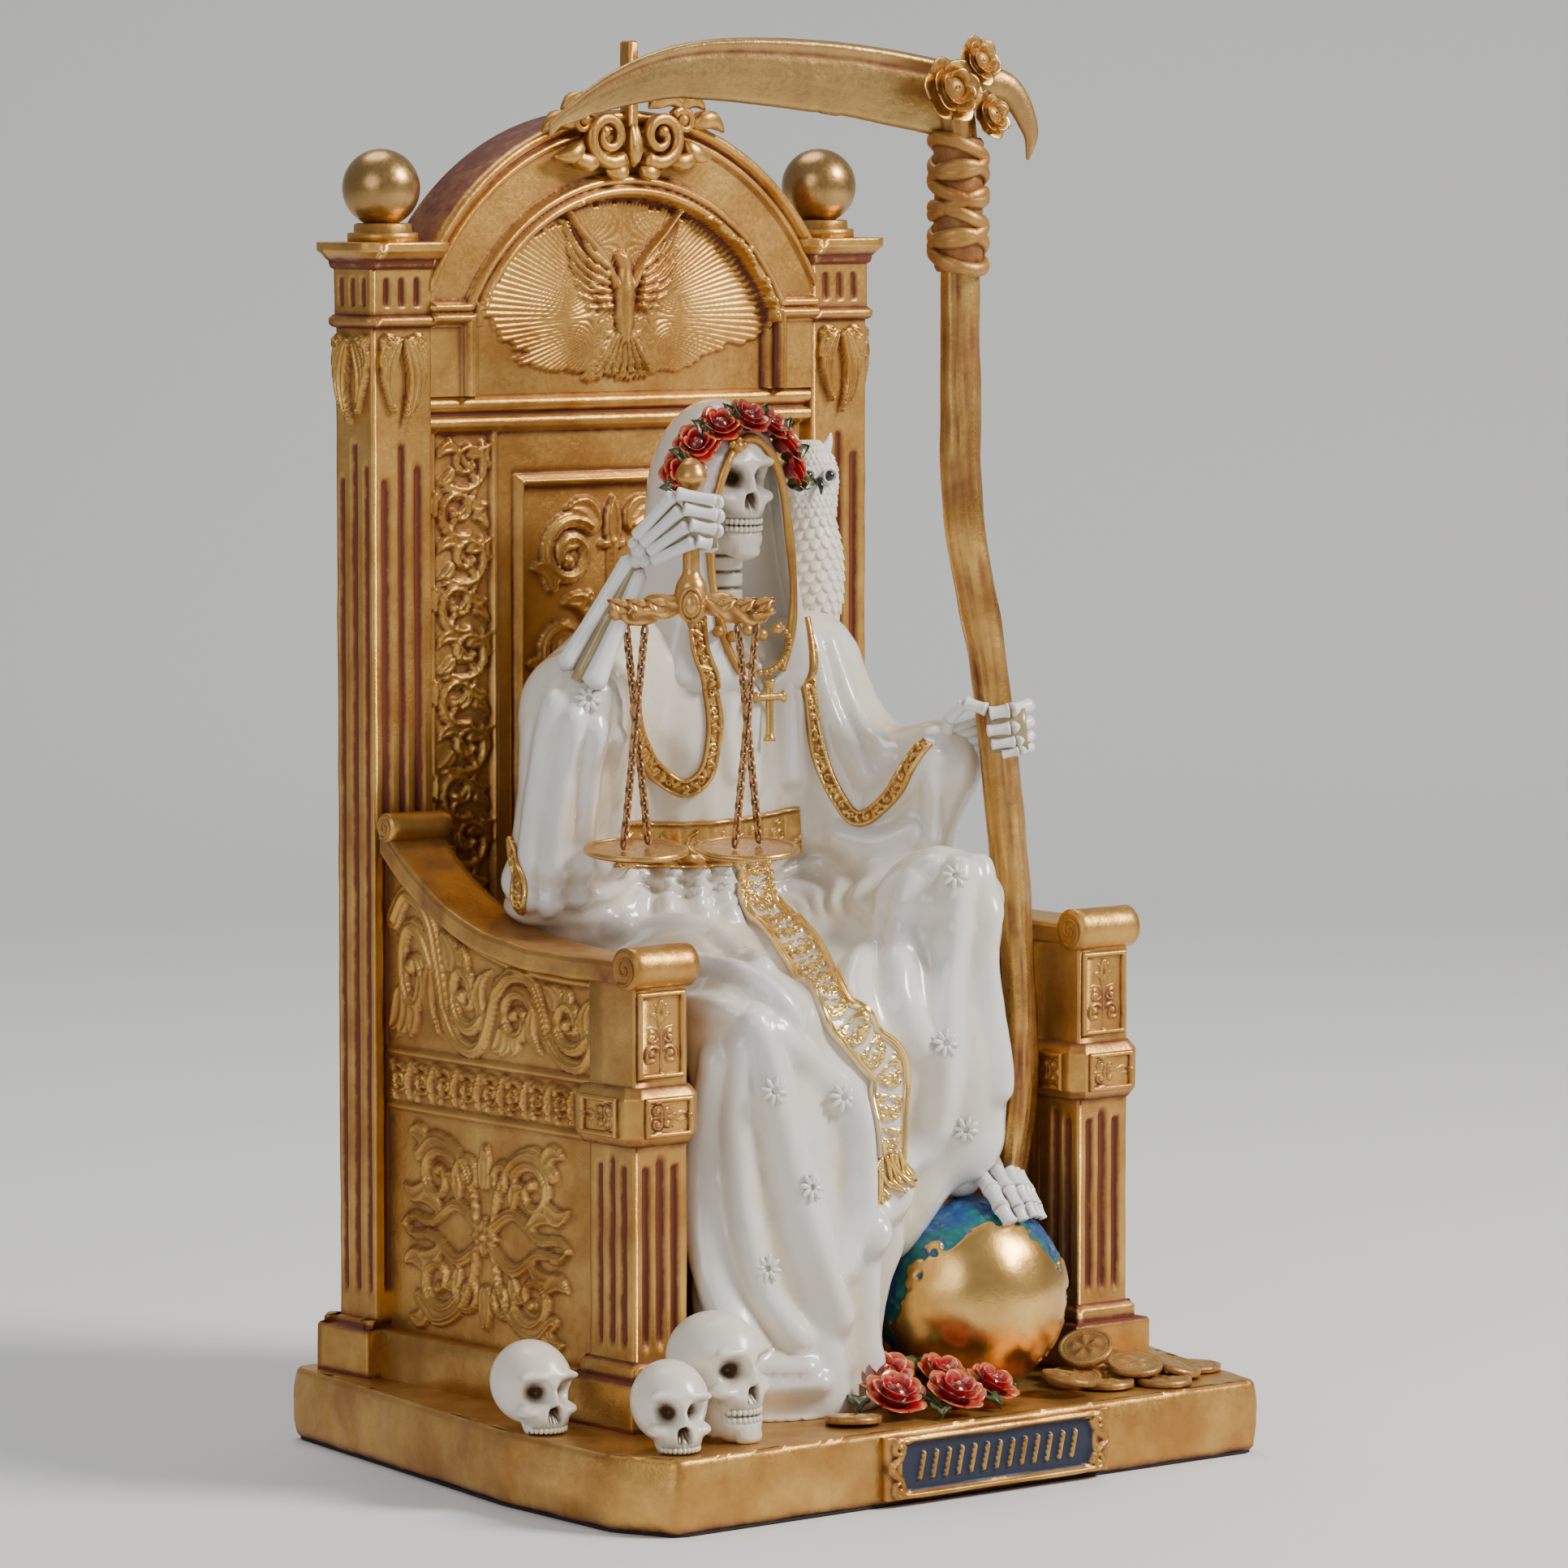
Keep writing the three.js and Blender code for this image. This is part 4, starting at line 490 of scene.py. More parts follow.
def emboss(columns, v, strokes, height):
    """The greatest height of the strokes over a grid whose u depends on the column alone. A stroke's height
    at a place is its profile of the least share of distance over width among its segments, times its rise
    there."""
    relief = np.zeros(v.shape)
    for points, width, rise, kind in strokes:
        low, high = (points - width[:, None]).min(0), (points + width[:, None]).max(0)
        j0, j1 = np.searchsorted(columns, [low[0], high[0]])
        rows = np.flatnonzero(((v[:, j0:j1] > low[1]) & (v[:, j0:j1] < high[1])).any(1))
        if j0 == j1 or not len(rows):
            continue
        i0, i1 = rows[0], rows[-1] + 1
        u, w = columns[None, j0:j1], v[i0:i1, j0:j1]
        least, lift = np.ones(w.shape), np.zeros(w.shape)
        for k in range(len(points) - 1):
            a, d = points[k], points[k + 1] - points[k]
            t = clamp(((u - a[0]) * d[0] + (w - a[1]) * d[1]) / max(d @ d, 1e-9))
            share = np.hypot(u - a[0] - t * d[0], w - a[1] - t * d[1]) / lerp(width[k], width[k + 1], t)
            lift = np.where(share < least, lerp(rise[k], rise[k + 1], t), lift)
            least = np.minimum(least, share)
        part = relief[i0:i1, j0:j1]
        np.maximum(part, lift * PROFILES[kind](least), out=part)
    return relief * height


def hollow_wash(relief, reach, depth, ground=0.12):
    """Wash gathers where the surface lies below its own surroundings."""
    return clamp(ground + (blurred(relief, reach) - relief) / depth)


def carved_panel(shape, origin, u_axis, v_axis, normal, u_range, v_range, step, relief_of, thickness,
                 ground=0.12, depth=1.2, top=None, tint_of=None):
    """A relief panel: a grid of origin + u + v + normal times the relief, closed by a flat back."""
    columns = np.linspace(*u_range, int(abs(u_range[1] - u_range[0]) / step) + 1)
    v1 = np.full(len(columns), v_range[1]) if top is None else top(columns)
    rows = np.linspace(0, 1, int((v1.max() - v_range[0]) / step) + 1)
    v = v_range[0] + rows[:, None] * (v1 - v_range[0])[None]
    relief = relief_of(columns, v)
    normal = np.asarray(normal, float)
    front = (np.asarray(origin, float) + columns[None, :, None] * u_axis + v[..., None] * v_axis)
    front = front + (relief + 0.07 * noise(front, 5.0, 1))[..., None] * normal
    base = float(np.dot(origin, normal)) - thickness
    wash = hollow_wash(relief, max(2, int(1.6 / step)), depth, ground)
    tint = tint_of(columns, v, relief) if tint_of else 0.0
    shape.slab(front, lambda p: (base - p @ normal)[:, None] * normal, wash, tint)


# Ornament

def vine(width, height, count):
    """A climbing scroll: spirals that turn left and right by turns, with leaves in the bends."""
    pitch = height / count
    r = min(width * 0.43, pitch * 0.62)
    strokes = []
    stem = [[0.25 * width * (-1) ** i, (i - count / 2) * pitch] for i in range(count + 1)]
    strokes.append(stroke(curve(stem, 14 * count), 0.75, 0.8))
    for i in range(count):
        side = -1 if i % 2 else 1
        cx, cy = side * width * 0.08, (i + 0.5) * pitch - height / 2
        strokes += spiral(cx, cy, r, -2.0 if side > 0 else -1.1, side * 1.25, 1.15)
        strokes.append(petal(cx + side * r, cy - pitch * 0.1, cx + side * width * 0.46, cy + pitch * 0.42,
                             1.3, 0.3))
        strokes.append(petal(cx - side * r * 0.4, cy + pitch * 0.3, -side * width * 0.47, cy + pitch * 0.12,
                             1.4, -0.25))
        strokes.append(petal(-side * width * 0.2, cy - pitch * 0.1, -side * width * 0.46, cy - pitch * 0.4,
                             1.2, 0.2))
        strokes.append(petal(cx, cy + pitch * 0.2, cx + side * width * 0.3, cy + pitch * 0.46, 1.1, -0.3))
    return strokes


def rinceau(length, height, count):
    """A running scroll: a wave of stem with a large spiral in each bend and leaves that curl off it."""
    pitch = length / count
    strokes = []
    for i in range(count):
        up = -1 if i % 2 else 1
        cx = (i + 0.5) * pitch - length / 2
        r = min(pitch, height) * 0.4
        strokes += spiral(cx, up * height * 0.05, r, up * -2.7, up * 1.35, 1.55, 1.0, 28)
        a = [cx - pitch * 0.62, up * height * 0.32]
        b = [cx - pitch * 0.3, -up * height * 0.42]
        c = [cx + pitch * 0.12, -up * height * 0.46]
        d = [cx + pitch * 0.42, -up * height * 0.2]
        strokes.append(stroke(curve([a, b, c, d], 20), np.linspace(1.2, 1.9, 20), 0.95))
        for k, (du, dv, w) in enumerate([(0.5, 0.46, 1.9), (0.34, 0.5, 1.5), (0.12, 0.5, 1.3)]):
            strokes.append(petal(cx + pitch * (0.3 - 0.12 * k), up * height * 0.18, cx + pitch * du,
                                 up * height * dv, w, 0.22 * up))
        strokes.append(petal(cx - pitch * 0.36, -up * height * 0.2, cx - pitch * 0.48, up * height * 0.42,
                             1.5, -0.3 * up))
        strokes.append(petal(cx - pitch * 0.1, -up * height * 0.02, cx + pitch * 0.12, up * height * 0.22,
                             1.3, 0.4 * up))
    return strokes


def running_curls(length, height, count):
    """A row of equal double spirals joined by slanting bars."""
    pitch = length / count
    strokes = []
    for i in range(count):
        cx = (i + 0.5) * pitch - length / 2
        strokes += spiral(cx, 0, height * 0.4, 1.2, 1.9, 0.62, 1.0, 30, 0.12, False)
        bar = curve([[cx - pitch * 0.5, height * 0.44], [cx - pitch * 0.34, 0],
                     [cx - pitch * 0.42, -height * 0.42]], 10)
        strokes.append(stroke(bar, 0.6))
        strokes.append(petal(cx + pitch * 0.3, height * 0.2, cx + pitch * 0.48, height * 0.46, 0.8, 0.2))
        strokes.append(petal(cx + pitch * 0.32, -height * 0.2, cx + pitch * 0.16, -height * 0.47, 0.8, 0.2))
    return strokes


def rosette(width, height):
    """Four interlaced scrolls round a small flower, with a pointed tip at each end."""
    a, b = width / 2, height / 2
    quarter = spiral(a * 0.56, b * 0.56, b * 0.36, 2.6, -1.15, 1.7, 1.0, 26)
    quarter += spiral(a * 0.2, b * 0.62, b * 0.26, -0.4, 1.1, 1.4, 0.95, 20)
    loop = curve([[a * 0.06, b * 0.1], [a * 0.34, b * 0.3], [a * 0.62, b * 0.08], [a * 0.86, b * 0.1],
                  [a * 0.98, 0]], 26)
    quarter.append(stroke(loop, np.linspace(1.7, 0.9, 26), 0.95))
    arch = curve([[a * 0.1, b * 0.14], [a * 0.16, b * 0.5], [a * 0.34, b * 0.86], [a * 0.6, b * 0.98],
                  [a * 0.8, b * 0.78]], 26)
    quarter.append(stroke(arch, np.linspace(1.1, 1.8, 26), 1.0))
    quarter += [petal(a * 0.7, b * 0.86, a * 0.92, b * 0.98, 2.2, 0.3),
                petal(a * 0.72, b * 0.46, a * 0.98, b * 0.44, 2.2, -0.3),
                petal(a * 0.02, b * 0.5, a * 0.02, b * 1.0, 1.6),
                petal(a * 0.32, b * 0.36, a * 0.5, b * 0.6, 1.8, 0.3),
                petal(a * 0.5, b * 0.16, a * 0.86, b * 0.26, 1.7, 0.2)]
    strokes = four_ways(quarter)
    for k in range(8):
        c, s = math.cos(k * TAU / 8), math.sin(k * TAU / 8)
        strokes.append(petal(c, s, 4.6 * c, 4.6 * s, 1.2, 0.0, 1.1))
    strokes.append(stroke([[0, 0], [0.01, 0]], 1.5, 1.3, "round"))
    return strokes


def plant(width, height):
    """A small upright plant: a stem, two scrolls at its foot, pairs of leaves and a bud."""
    a, b = width / 2, height / 2
    half = spiral(a * 0.5, -b * 0.58, b * 0.3, 2.4, -1.2, 1.0, 1.0, 20)
    half += spiral(a * 0.46, -b * 0.02, b * 0.2, -2.6, 1.2, 0.8, 0.95, 18)
    half += [petal(0.2, -b * 0.3, a * 0.85, b * 0.22, 0.9, 0.25),
             petal(0.2, b * 0.1, a * 0.6, b * 0.6, 0.9, 0.3),
             petal(0.1, b * 0.4, a * 0.34, b * 0.86, 0.8, 0.2)]
    strokes = mirrored(half)
    return strokes + [stroke([[0, -b], [0, b * 0.5]], 0.8, 0.8), petal(0, b * 0.4, 0, b, 1.3, 0, 1.1)]


def acanthus(width, length):
    """A hanging leaf: lobes that fan down from the head, with a curl at each top corner."""
    a = width / 2
    strokes = []
    for k, (x, v, w) in enumerate([(0, -1.0, 1.5), (0.42, -0.88, 1.4), (0.75, -0.66, 1.3),
                                   (0.98, -0.42, 1.2)]):
        for side in ((1, -1) if k else (1,)):
            strokes.append(petal(side * x * a * 0.35, -length * 0.06, side * x * a, length * v, w,
                                 side * 0.14, 1.05 - 0.1 * k))
    for side in (1, -1):
        strokes += flipped(spiral(a * 0.72, -length * 0.13, a * 0.3, 2.6, -1.1, 0.9, 0.8, 16), side, 1)
    return strokes


# Materials

def shader(name):
    """A material with its shader and a helper that adds linked nodes."""
    material = bpy.data.materials.new(name)
    material.use_nodes = True
    tree = material.node_tree
    principled = tree.nodes["Principled BSDF"]

    def node(kind, **sockets):
        """Adds a node and sets or links its sockets, by name or as i and a number."""
        new = tree.nodes.new(kind)
        for key, value in sockets.items():
            target = new.inputs[int(key[1:])] if key[0] == "i" and key[1:].isdigit() else new.inputs[key]
            if isinstance(value, bpy.types.NodeSocket):
                tree.links.new(value, target)
            else:
                target.default_value = value
        return new
    return material, principled, node


def feed(principled, socket, value):
    """Links a value to a socket of the shader."""
    principled.id_data.links.new(value, principled.inputs[socket])


def mix(node, share, a, b):
    """A blend of two colours by a share."""
    new = node("ShaderNodeMix")
    new.data_type = "RGBA"
    for socket, value in ((new.inputs[0], share), (new.inputs[6], a), (new.inputs[7], b)):
        if isinstance(value, bpy.types.NodeSocket):
            socket.id_data.links.new(value, socket)
        elif socket == new.inputs[0]:
            socket.default_value = value
        else:
            socket.default_value = (*value[:3], 1.0)
    return new.outputs[2]


def ramp(node, value, low, high, a=0.0, b=1.0):
    """A value mapped from one range to another and held there."""
    return node("ShaderNodeMapRange", i0=value, i1=low, i2=high, i3=a, i4=b).outputs[0]


def fields(node):
    """Object coordinates and the two attributes that the meshes carry."""
    outputs = [node("ShaderNodeTexCoord").outputs["Object"]]
    for label in ("wash", "tint"):
        attribute = node("ShaderNodeAttribute")
        attribute.attribute_name = label
        outputs.append(attribute.outputs["Fac"])
    return outputs


def speckle(node, place, scale, detail=4.0, rough=0.6):
    """A noise texture's value."""
    return node("ShaderNodeTexNoise", Vector=place, Scale=scale, Detail=detail,
                Roughness=rough).outputs["Fac"]


def math_node(node, kind, a, b=0.0):
    """The result of an arithmetic node."""
    new = node("ShaderNodeMath", i0=a, i1=b)
    new.operation = kind
    return new.outputs[0]


def bump(node, principled, height, strength, distance):
    """Small unevenness from a height."""
    new = node("ShaderNodeBump", Height=height, Strength=strength, Distance=distance)
    feed(principled, "Normal", new.outputs["Normal"])


def painted_metal(name, light, dark, stain, rough=0.36, wash_gain=1.0, tinted=None, grain=900.0, bumps=0.35):
    """Metallic paint that varies between two tones, with a matt stain where wash gathers, which on the
    chains is a painted shade on the inner side of each link. A second colour covers what the tint attribute
    marks."""
    material, principled, node = shader(name)
    place, wash, tint = fields(node)
    blotch = speckle(node, place, 55.0)
    fine = speckle(node, place, grain, 3.0)
    worn = speckle(node, place, 210.0, 5.0, 0.7)
    gold = mix(node, ramp(node, blotch, 0.35, 0.68), dark, light)
    patch = math_node(node, "MULTIPLY", ramp(node, worn, 0.25, 0.75, 0.55, 1.35), wash_gain)
    share = ramp(node, math_node(node, "MULTIPLY", wash, patch), 0.08, 0.62)
    colour = mix(node, share, gold, stain)
    metal = ramp(node, share, 0.0, 1.0, 0.92, 0.25)
    if tinted is not None:
        colour = mix(node, tint, colour, tinted)
        metal = math_node(node, "MULTIPLY", metal, ramp(node, tint, 0.0, 1.0, 1.0, 0.0))
    feed(principled, "Base Color", colour)
    feed(principled, "Metallic", metal)
    gloss = math_node(node, "ADD", ramp(node, fine, 0.3, 0.7, rough - 0.06, rough + 0.08),
                      ramp(node, share, 0, 1, 0, 0.2))
    feed(principled, "Roughness", gloss)
    mixed = math_node(node, "ADD", worn, math_node(node, "MULTIPLY", fine, 0.35))
    bump(node, principled, mixed, bumps, 0.0006)
    return material


def painted_resin(name, base, shade, stain, rough=0.32, coat=0.25, gain=1.0, tinted=None, tint_metal=0.9,
                  bumps=0.12, low=0.1, high=0.7):
    """Satin paint on resin: a base that drifts to a shade, a stain in the recesses (on the robe a painted
    shade in its low folds and inside the hood) and gold where tinted.
    """
    material, principled, node = shader(name)
    place, wash, tint = fields(node)
    blotch = speckle(node, place, 38.0)
    worn = speckle(node, place, 260.0, 5.0, 0.65)
    paint = mix(node, ramp(node, blotch, 0.4, 0.75, 0.0, 0.7), base, shade)
    patch = math_node(node, "MULTIPLY", ramp(node, worn, 0.2, 0.8, 0.6, 1.3), gain)
    share = ramp(node, math_node(node, "MULTIPLY", wash, patch), low, high)
    colour = mix(node, share, paint, stain)
    if tinted is not None:
        colour = mix(node, tint, colour, tinted)
        feed(principled, "Metallic", ramp(node, tint, 0.2, 0.8, 0.0, tint_metal))
    feed(principled, "Base Color", colour)
    feed(principled, "Roughness", ramp(node, worn, 0.3, 0.7, rough - 0.05, rough + 0.07))
    principled.inputs["Coat Weight"].default_value = coat
    principled.inputs["Coat Roughness"].default_value = 0.18
    bump(node, principled, worn, bumps, 0.0005)
    return material


def finishes():
    """For each finish its maker, its tones (light, dark and stain) and what differs from the usual."""
    light, dark, stain = (colour_of(f"gold_{tone}") for tone in ("light", "dark", "stain"))
    trim, pearl, robe_fold_shade, bone, hand = (colour_of(c) for c in ("trim", "pearl", "robe_fold_shade", "bone", "hand"))
    cream, brown = (0.72, 0.65, 0.50), (0.30, 0.22, 0.10)
    return {
        "gilt": (painted_metal, light, dark, stain, dict(rough=0.38, tinted=colour_of("plate"))),
        "ball": (painted_metal, (0.44, 0.27, 0.10), (0.35, 0.20, 0.07), stain, dict(rough=0.3, bumps=0.08)),
        "blade": (painted_metal, (0.58, 0.38, 0.13), (0.42, 0.25, 0.08), stain, dict(rough=0.33)),
        "wood": (painted_metal, (0.78, 0.48, 0.14), (0.38, 0.18, 0.045), stain,
                 dict(rough=0.3, grain=1400.0)),
        "trim": (painted_metal, trim, (0.55, 0.30, 0.07), (0.22, 0.07, 0.015), dict(rough=0.26)),
        "scales": (painted_metal, (0.76, 0.45, 0.14), (0.58, 0.30, 0.08), stain,
                   dict(rough=0.27, bumps=0.15)),
        # The chain's stain darkens the inner side of each link, a painted shade, and its outer side in
        # patches.
        "chain": (painted_metal, colour_of("chain"), (0.48, 0.23, 0.08), (0.10, 0.04, 0.012),
                  dict(rough=0.27)),
        "coin": (painted_metal, (0.82, 0.54, 0.17), (0.58, 0.33, 0.09), stain, dict(rough=0.26)),
        "gilt_rose": (painted_metal, (0.70, 0.44, 0.14), (0.5, 0.28, 0.08), stain, dict(rough=0.34)),
        "felt": (painted_resin, (0.012, 0.011, 0.01), (0.02, 0.018, 0.016), (0, 0, 0),
                 dict(rough=0.9, coat=0.0, bumps=0.6)),
        # The robe's stain tone is a painted shade for its low folds and the inside of the hood.
        "robe": (painted_resin, pearl, cream, robe_fold_shade, dict(rough=0.2, coat=0.6, gain=0.8, low=0.2, high=0.9)),
        "sash": (painted_resin, pearl, cream, (0.45, 0.35, 0.2), dict(rough=0.24, coat=0.4, tinted=trim)),
        "bone": (painted_resin, bone, (0.72, 0.63, 0.46), (0.10, 0.05, 0.02),
                 dict(rough=0.3, coat=0.3, low=0.22, high=0.85)),
        "hands": (painted_resin, hand, (0.72, 0.70, 0.62), brown,
                  dict(rough=0.28, coat=0.35, low=0.2, high=0.7)),
        "owl": (painted_resin, colour_of("owl"), (0.80, 0.74, 0.62), (0.58, 0.44, 0.25),
                dict(rough=0.5, coat=0.1, low=0.15, high=0.85)),
        "black": (painted_resin, (0.008, 0.008, 0.01), (0.015, 0.015, 0.02), (0, 0, 0),
                  dict(rough=0.12, coat=0.6)),
        "rose": (painted_resin, colour_of("rose"), (0.38, 0.005, 0.01), (0.12, 0.002, 0.004),
                 dict(rough=0.2, coat=0.6, tinted=(0.80, 0.34, 0.12), tint_metal=0.6)),
        "leaf": (painted_resin, colour_of("leaf"), (0.03, 0.075, 0.02), (0.2, 0.15, 0.03),
                 dict(rough=0.3, coat=0.4)),
        "globe": (globe_paint, {}),
    }


def finish(name):
    """The named paint, made when a piece first asks for it."""
    label = f"{name}_finish"
    if label not in bpy.data.materials:
        maker, *tones, options = finishes()[name]
        maker(label, *tones, **options)
    return bpy.data.materials[label]


def globe_paint(name):
    """Blue sea that drifts to teal at the coasts, and gold land with a red blush low down."""
    material, principled, node = shader(name)
    place, wash, tint = fields(node)
    blotch = speckle(node, place, 70.0, 6.0)
    streak = speckle(node, place, 260.0, 6.0, 0.75)
    sea = mix(node, ramp(node, blotch, 0.35, 0.65), colour_of("sea"), (0.02, 0.11, 0.30))
    sea = mix(node, ramp(node, streak, 0.55, 0.75, 0, 0.8), sea, (0.22, 0.36, 0.46))
    sea = mix(node, ramp(node, wash, 0.15, 0.8, 0.0, 0.85), sea, (0.0, 0.16, 0.13))
    height = node("ShaderNodeSeparateXYZ", Vector=place).outputs["Z"]
    red = ramp(node, height, 0.020, 0.031, 0.85, 0.0)
    land = mix(node, ramp(node, blotch, 0.35, 0.7), (0.60, 0.33, 0.08), colour_of("land"))
    land = mix(node, red, land, (0.35, 0.05, 0.02))
    feed(principled, "Base Color", mix(node, ramp(node, tint, 0.35, 0.65), sea, land))
    feed(principled, "Metallic", ramp(node, tint, 0.35, 0.65, 0.15, 0.95))
    feed(principled, "Roughness", ramp(node, tint, 0.35, 0.65, 0.34, 0.27))
    principled.inputs["Coat Weight"].default_value = 0.2
    bump(node, principled, streak, 0.25, 0.0005)
    return material


# Throne

def base_outline(count, radius=2.0):
    """The base seen from above: straight sides between its corners, each corner eased."""
    corners = np.array([[79, 24.5], [95, -75], [79.5, -130.5], [-89, -130.5], [-96, -115.5], [-95, -75],
                        [-79, 24.5]])
    corners = corners - unit(corners - corners.mean(0)) * 0.4
    following = np.roll(corners, -1, 0)
    length = np.linalg.norm(following - corners, axis=1)
    start = np.concatenate([[0], np.cumsum(length)])
    s = np.linspace(0, start[-1], count * 4, endpoint=False)
    k = np.searchsorted(start, s, side="right") - 1
    line = corners[k] + (following - corners)[k] * ((s - start[k]) / length[k])[:, None]
    window = max(1, int(radius / start[-1] * count * 4))
    padded = np.concatenate([line[-window:], line, line[:window]])
    total = np.cumsum(np.concatenate([[[0, 0]], padded]), 0)
    return ((total[2 * window + 1:] - total[:-2 * window - 1]) / (2 * window + 1))[::4]


def base_slab(shape):
    """A slab whose outline swells at half height, with uneven, hand-worked sides."""
    outline = base_outline(420)
    side_z = np.linspace(0, 1, 22)
    swell = 1.1 * np.sin(math.pi * side_z) ** 0.7 - 0.9
    ease = np.minimum(side_z, 1 - side_z) < 0.03
    swell = np.where(ease, swell - 0.5, swell)
    inner = np.linspace(0.02, 0.995, 40)
    share = np.concatenate([inner[:3], np.ones(22), inner[::-1]])
    out = np.concatenate([[-1.4] * 3, swell, np.full(40, -0.9)])
    z = np.concatenate([[FELT_TOP] * 3, FELT_TOP + BASE_HEIGHT * side_z, np.full(40, BASE_TOP)])
    away = unit(outline - BASE_MIDDLE)
    ring = (BASE_MIDDLE + (outline - BASE_MIDDLE)[None] * share[:, None, None]
            + away[None] * out[:, None, None])
    grid = lifted(ring, z)
    lumps = 0.45 * noise(grid, 9.0, 5) + 0.25 * noise(grid, 4.0, 6)
    sides = (np.abs(out - out[10]) < 3) & (share == 1)
    grid[..., :2] += away[None] * (np.minimum(lumps, 0.3) * sides[:, None])[..., None]
    wash = 0.12 + 0.2 * clamp(-lumps)
    wash = wash + 0.5 * bell(grid[..., 2] - FELT_TOP, 1.2) * sides[:, None]
    shape.tube(grid, wash)


def name_plate(shape):
    """A framed plate with scrolled ends, a dark field and a row of plain upright strokes."""
    a, b = 32.0, 6.9
    centre = FELT_TOP + 8.0
    quarter = spiral(a - 3.2, b - 2.6, 2.0, 2.0, -1.1, 0.75, 1.0, 16)
    quarter.append(stroke(curve([[0, b - 0.9], [a - 6, b - 0.9], [a - 4.6, b - 2.4]], 12), 0.85))
    quarter.append(stroke(curve([[a - 4.6, b - 2.6], [a - 3.4, b - 4.6], [a - 0.9, 0.4]], 12), 0.8))
    bars = [stroke([[x - 0.6, -2.6], [x + 0.6, 2.6]], 0.62, 0.7, "round") for x in np.linspace(-22, 22, 13)]

    def inside(u, v):
        """Within the frame."""
        return (np.abs(u)[None] < a - 4.4) & (np.abs(v) < b - 1.4)

    def relief(u, v):
        """The frame and the strokes over a sunk field."""
        return emboss(u, v, four_ways(quarter) + bars, 1.3) - 0.5 * inside(u, v)

    def field(u, v, h):
        """The dark ground: what lies low within the frame."""
        return (inside(u, v) & (h < 0.1)).astype(float)
    origin = [0, -132.0, centre]
    carved_panel(shape, origin, X, Z, FRONT, (-a, a), (-b, b), 0.28, relief, 3.0, 0.1, 0.8, tint_of=field)


def grooves(spans, spacing, width, depth, faces):
    """Dents for a column: three upright grooves on the named faces, each between two heights,
    round-ended."""
    def dent(outline, normal, z):
        """Minus the depth times a half round across and at both ends."""
        total = np.zeros((len(z), len(outline)))
        for face in faces:
            along = outline @ np.array([-face[1], face[0]])
            on = (normal @ np.array(face, float)) > 0.95
            for k, (low, high) in zip((-1, 0, 1), spans):
                across = clamp(1 - ((along - k * spacing) / width) ** 2)
                length = clamp(np.minimum(z - low, high - z) / 1.2)
                total -= depth * np.sqrt(across[None] * length[:, None]) * on[None]
        return total
    return dent


def groove_wash(dents):
    """Wash that deepens with the grooves."""
    return clamp(0.14 - dents * 0.75)


def fluted(shape, centre, half, z0, z1, spacing, ends, faces, per_side=26, rows=None):
    """A fluted shaft between two heights, with wash in its grooves and at both ends."""
    dent = grooves(ends, spacing, 1.15, size_of("flute"), faces)
    z = np.linspace(z0, z1, rows or int((z1 - z0) / 1.2))
    levels = np.stack([z, np.zeros(len(z))], -1)
    grid = column(centre, half, levels, 0.7, per_side, dent)
    outline, normal = rounded_rectangle(half[0], half[1], 0.7, per_side)
    ends_wash = 0.5 * bell(z - z0, 1.5) + 0.5 * bell(z1 - z, 1.5)
    shape.tube(grid, groove_wash(dent(outline, normal, z)) + ends_wash[:, None])


def moulded(shape, centre, half, corners, washes, corner=0.5, per_side=10):
    """A moulded block: steps of a profile, with wash at the heights given."""
    levels = steps(*corners, rise=0.45)
    grid = column(centre, half, levels, corner, per_side)
    z = grid[..., 2]
    wash = 0.1 + sum(0.75 * bell(z - w, 0.8) for w in washes)
    shape.tube(grid, wash)


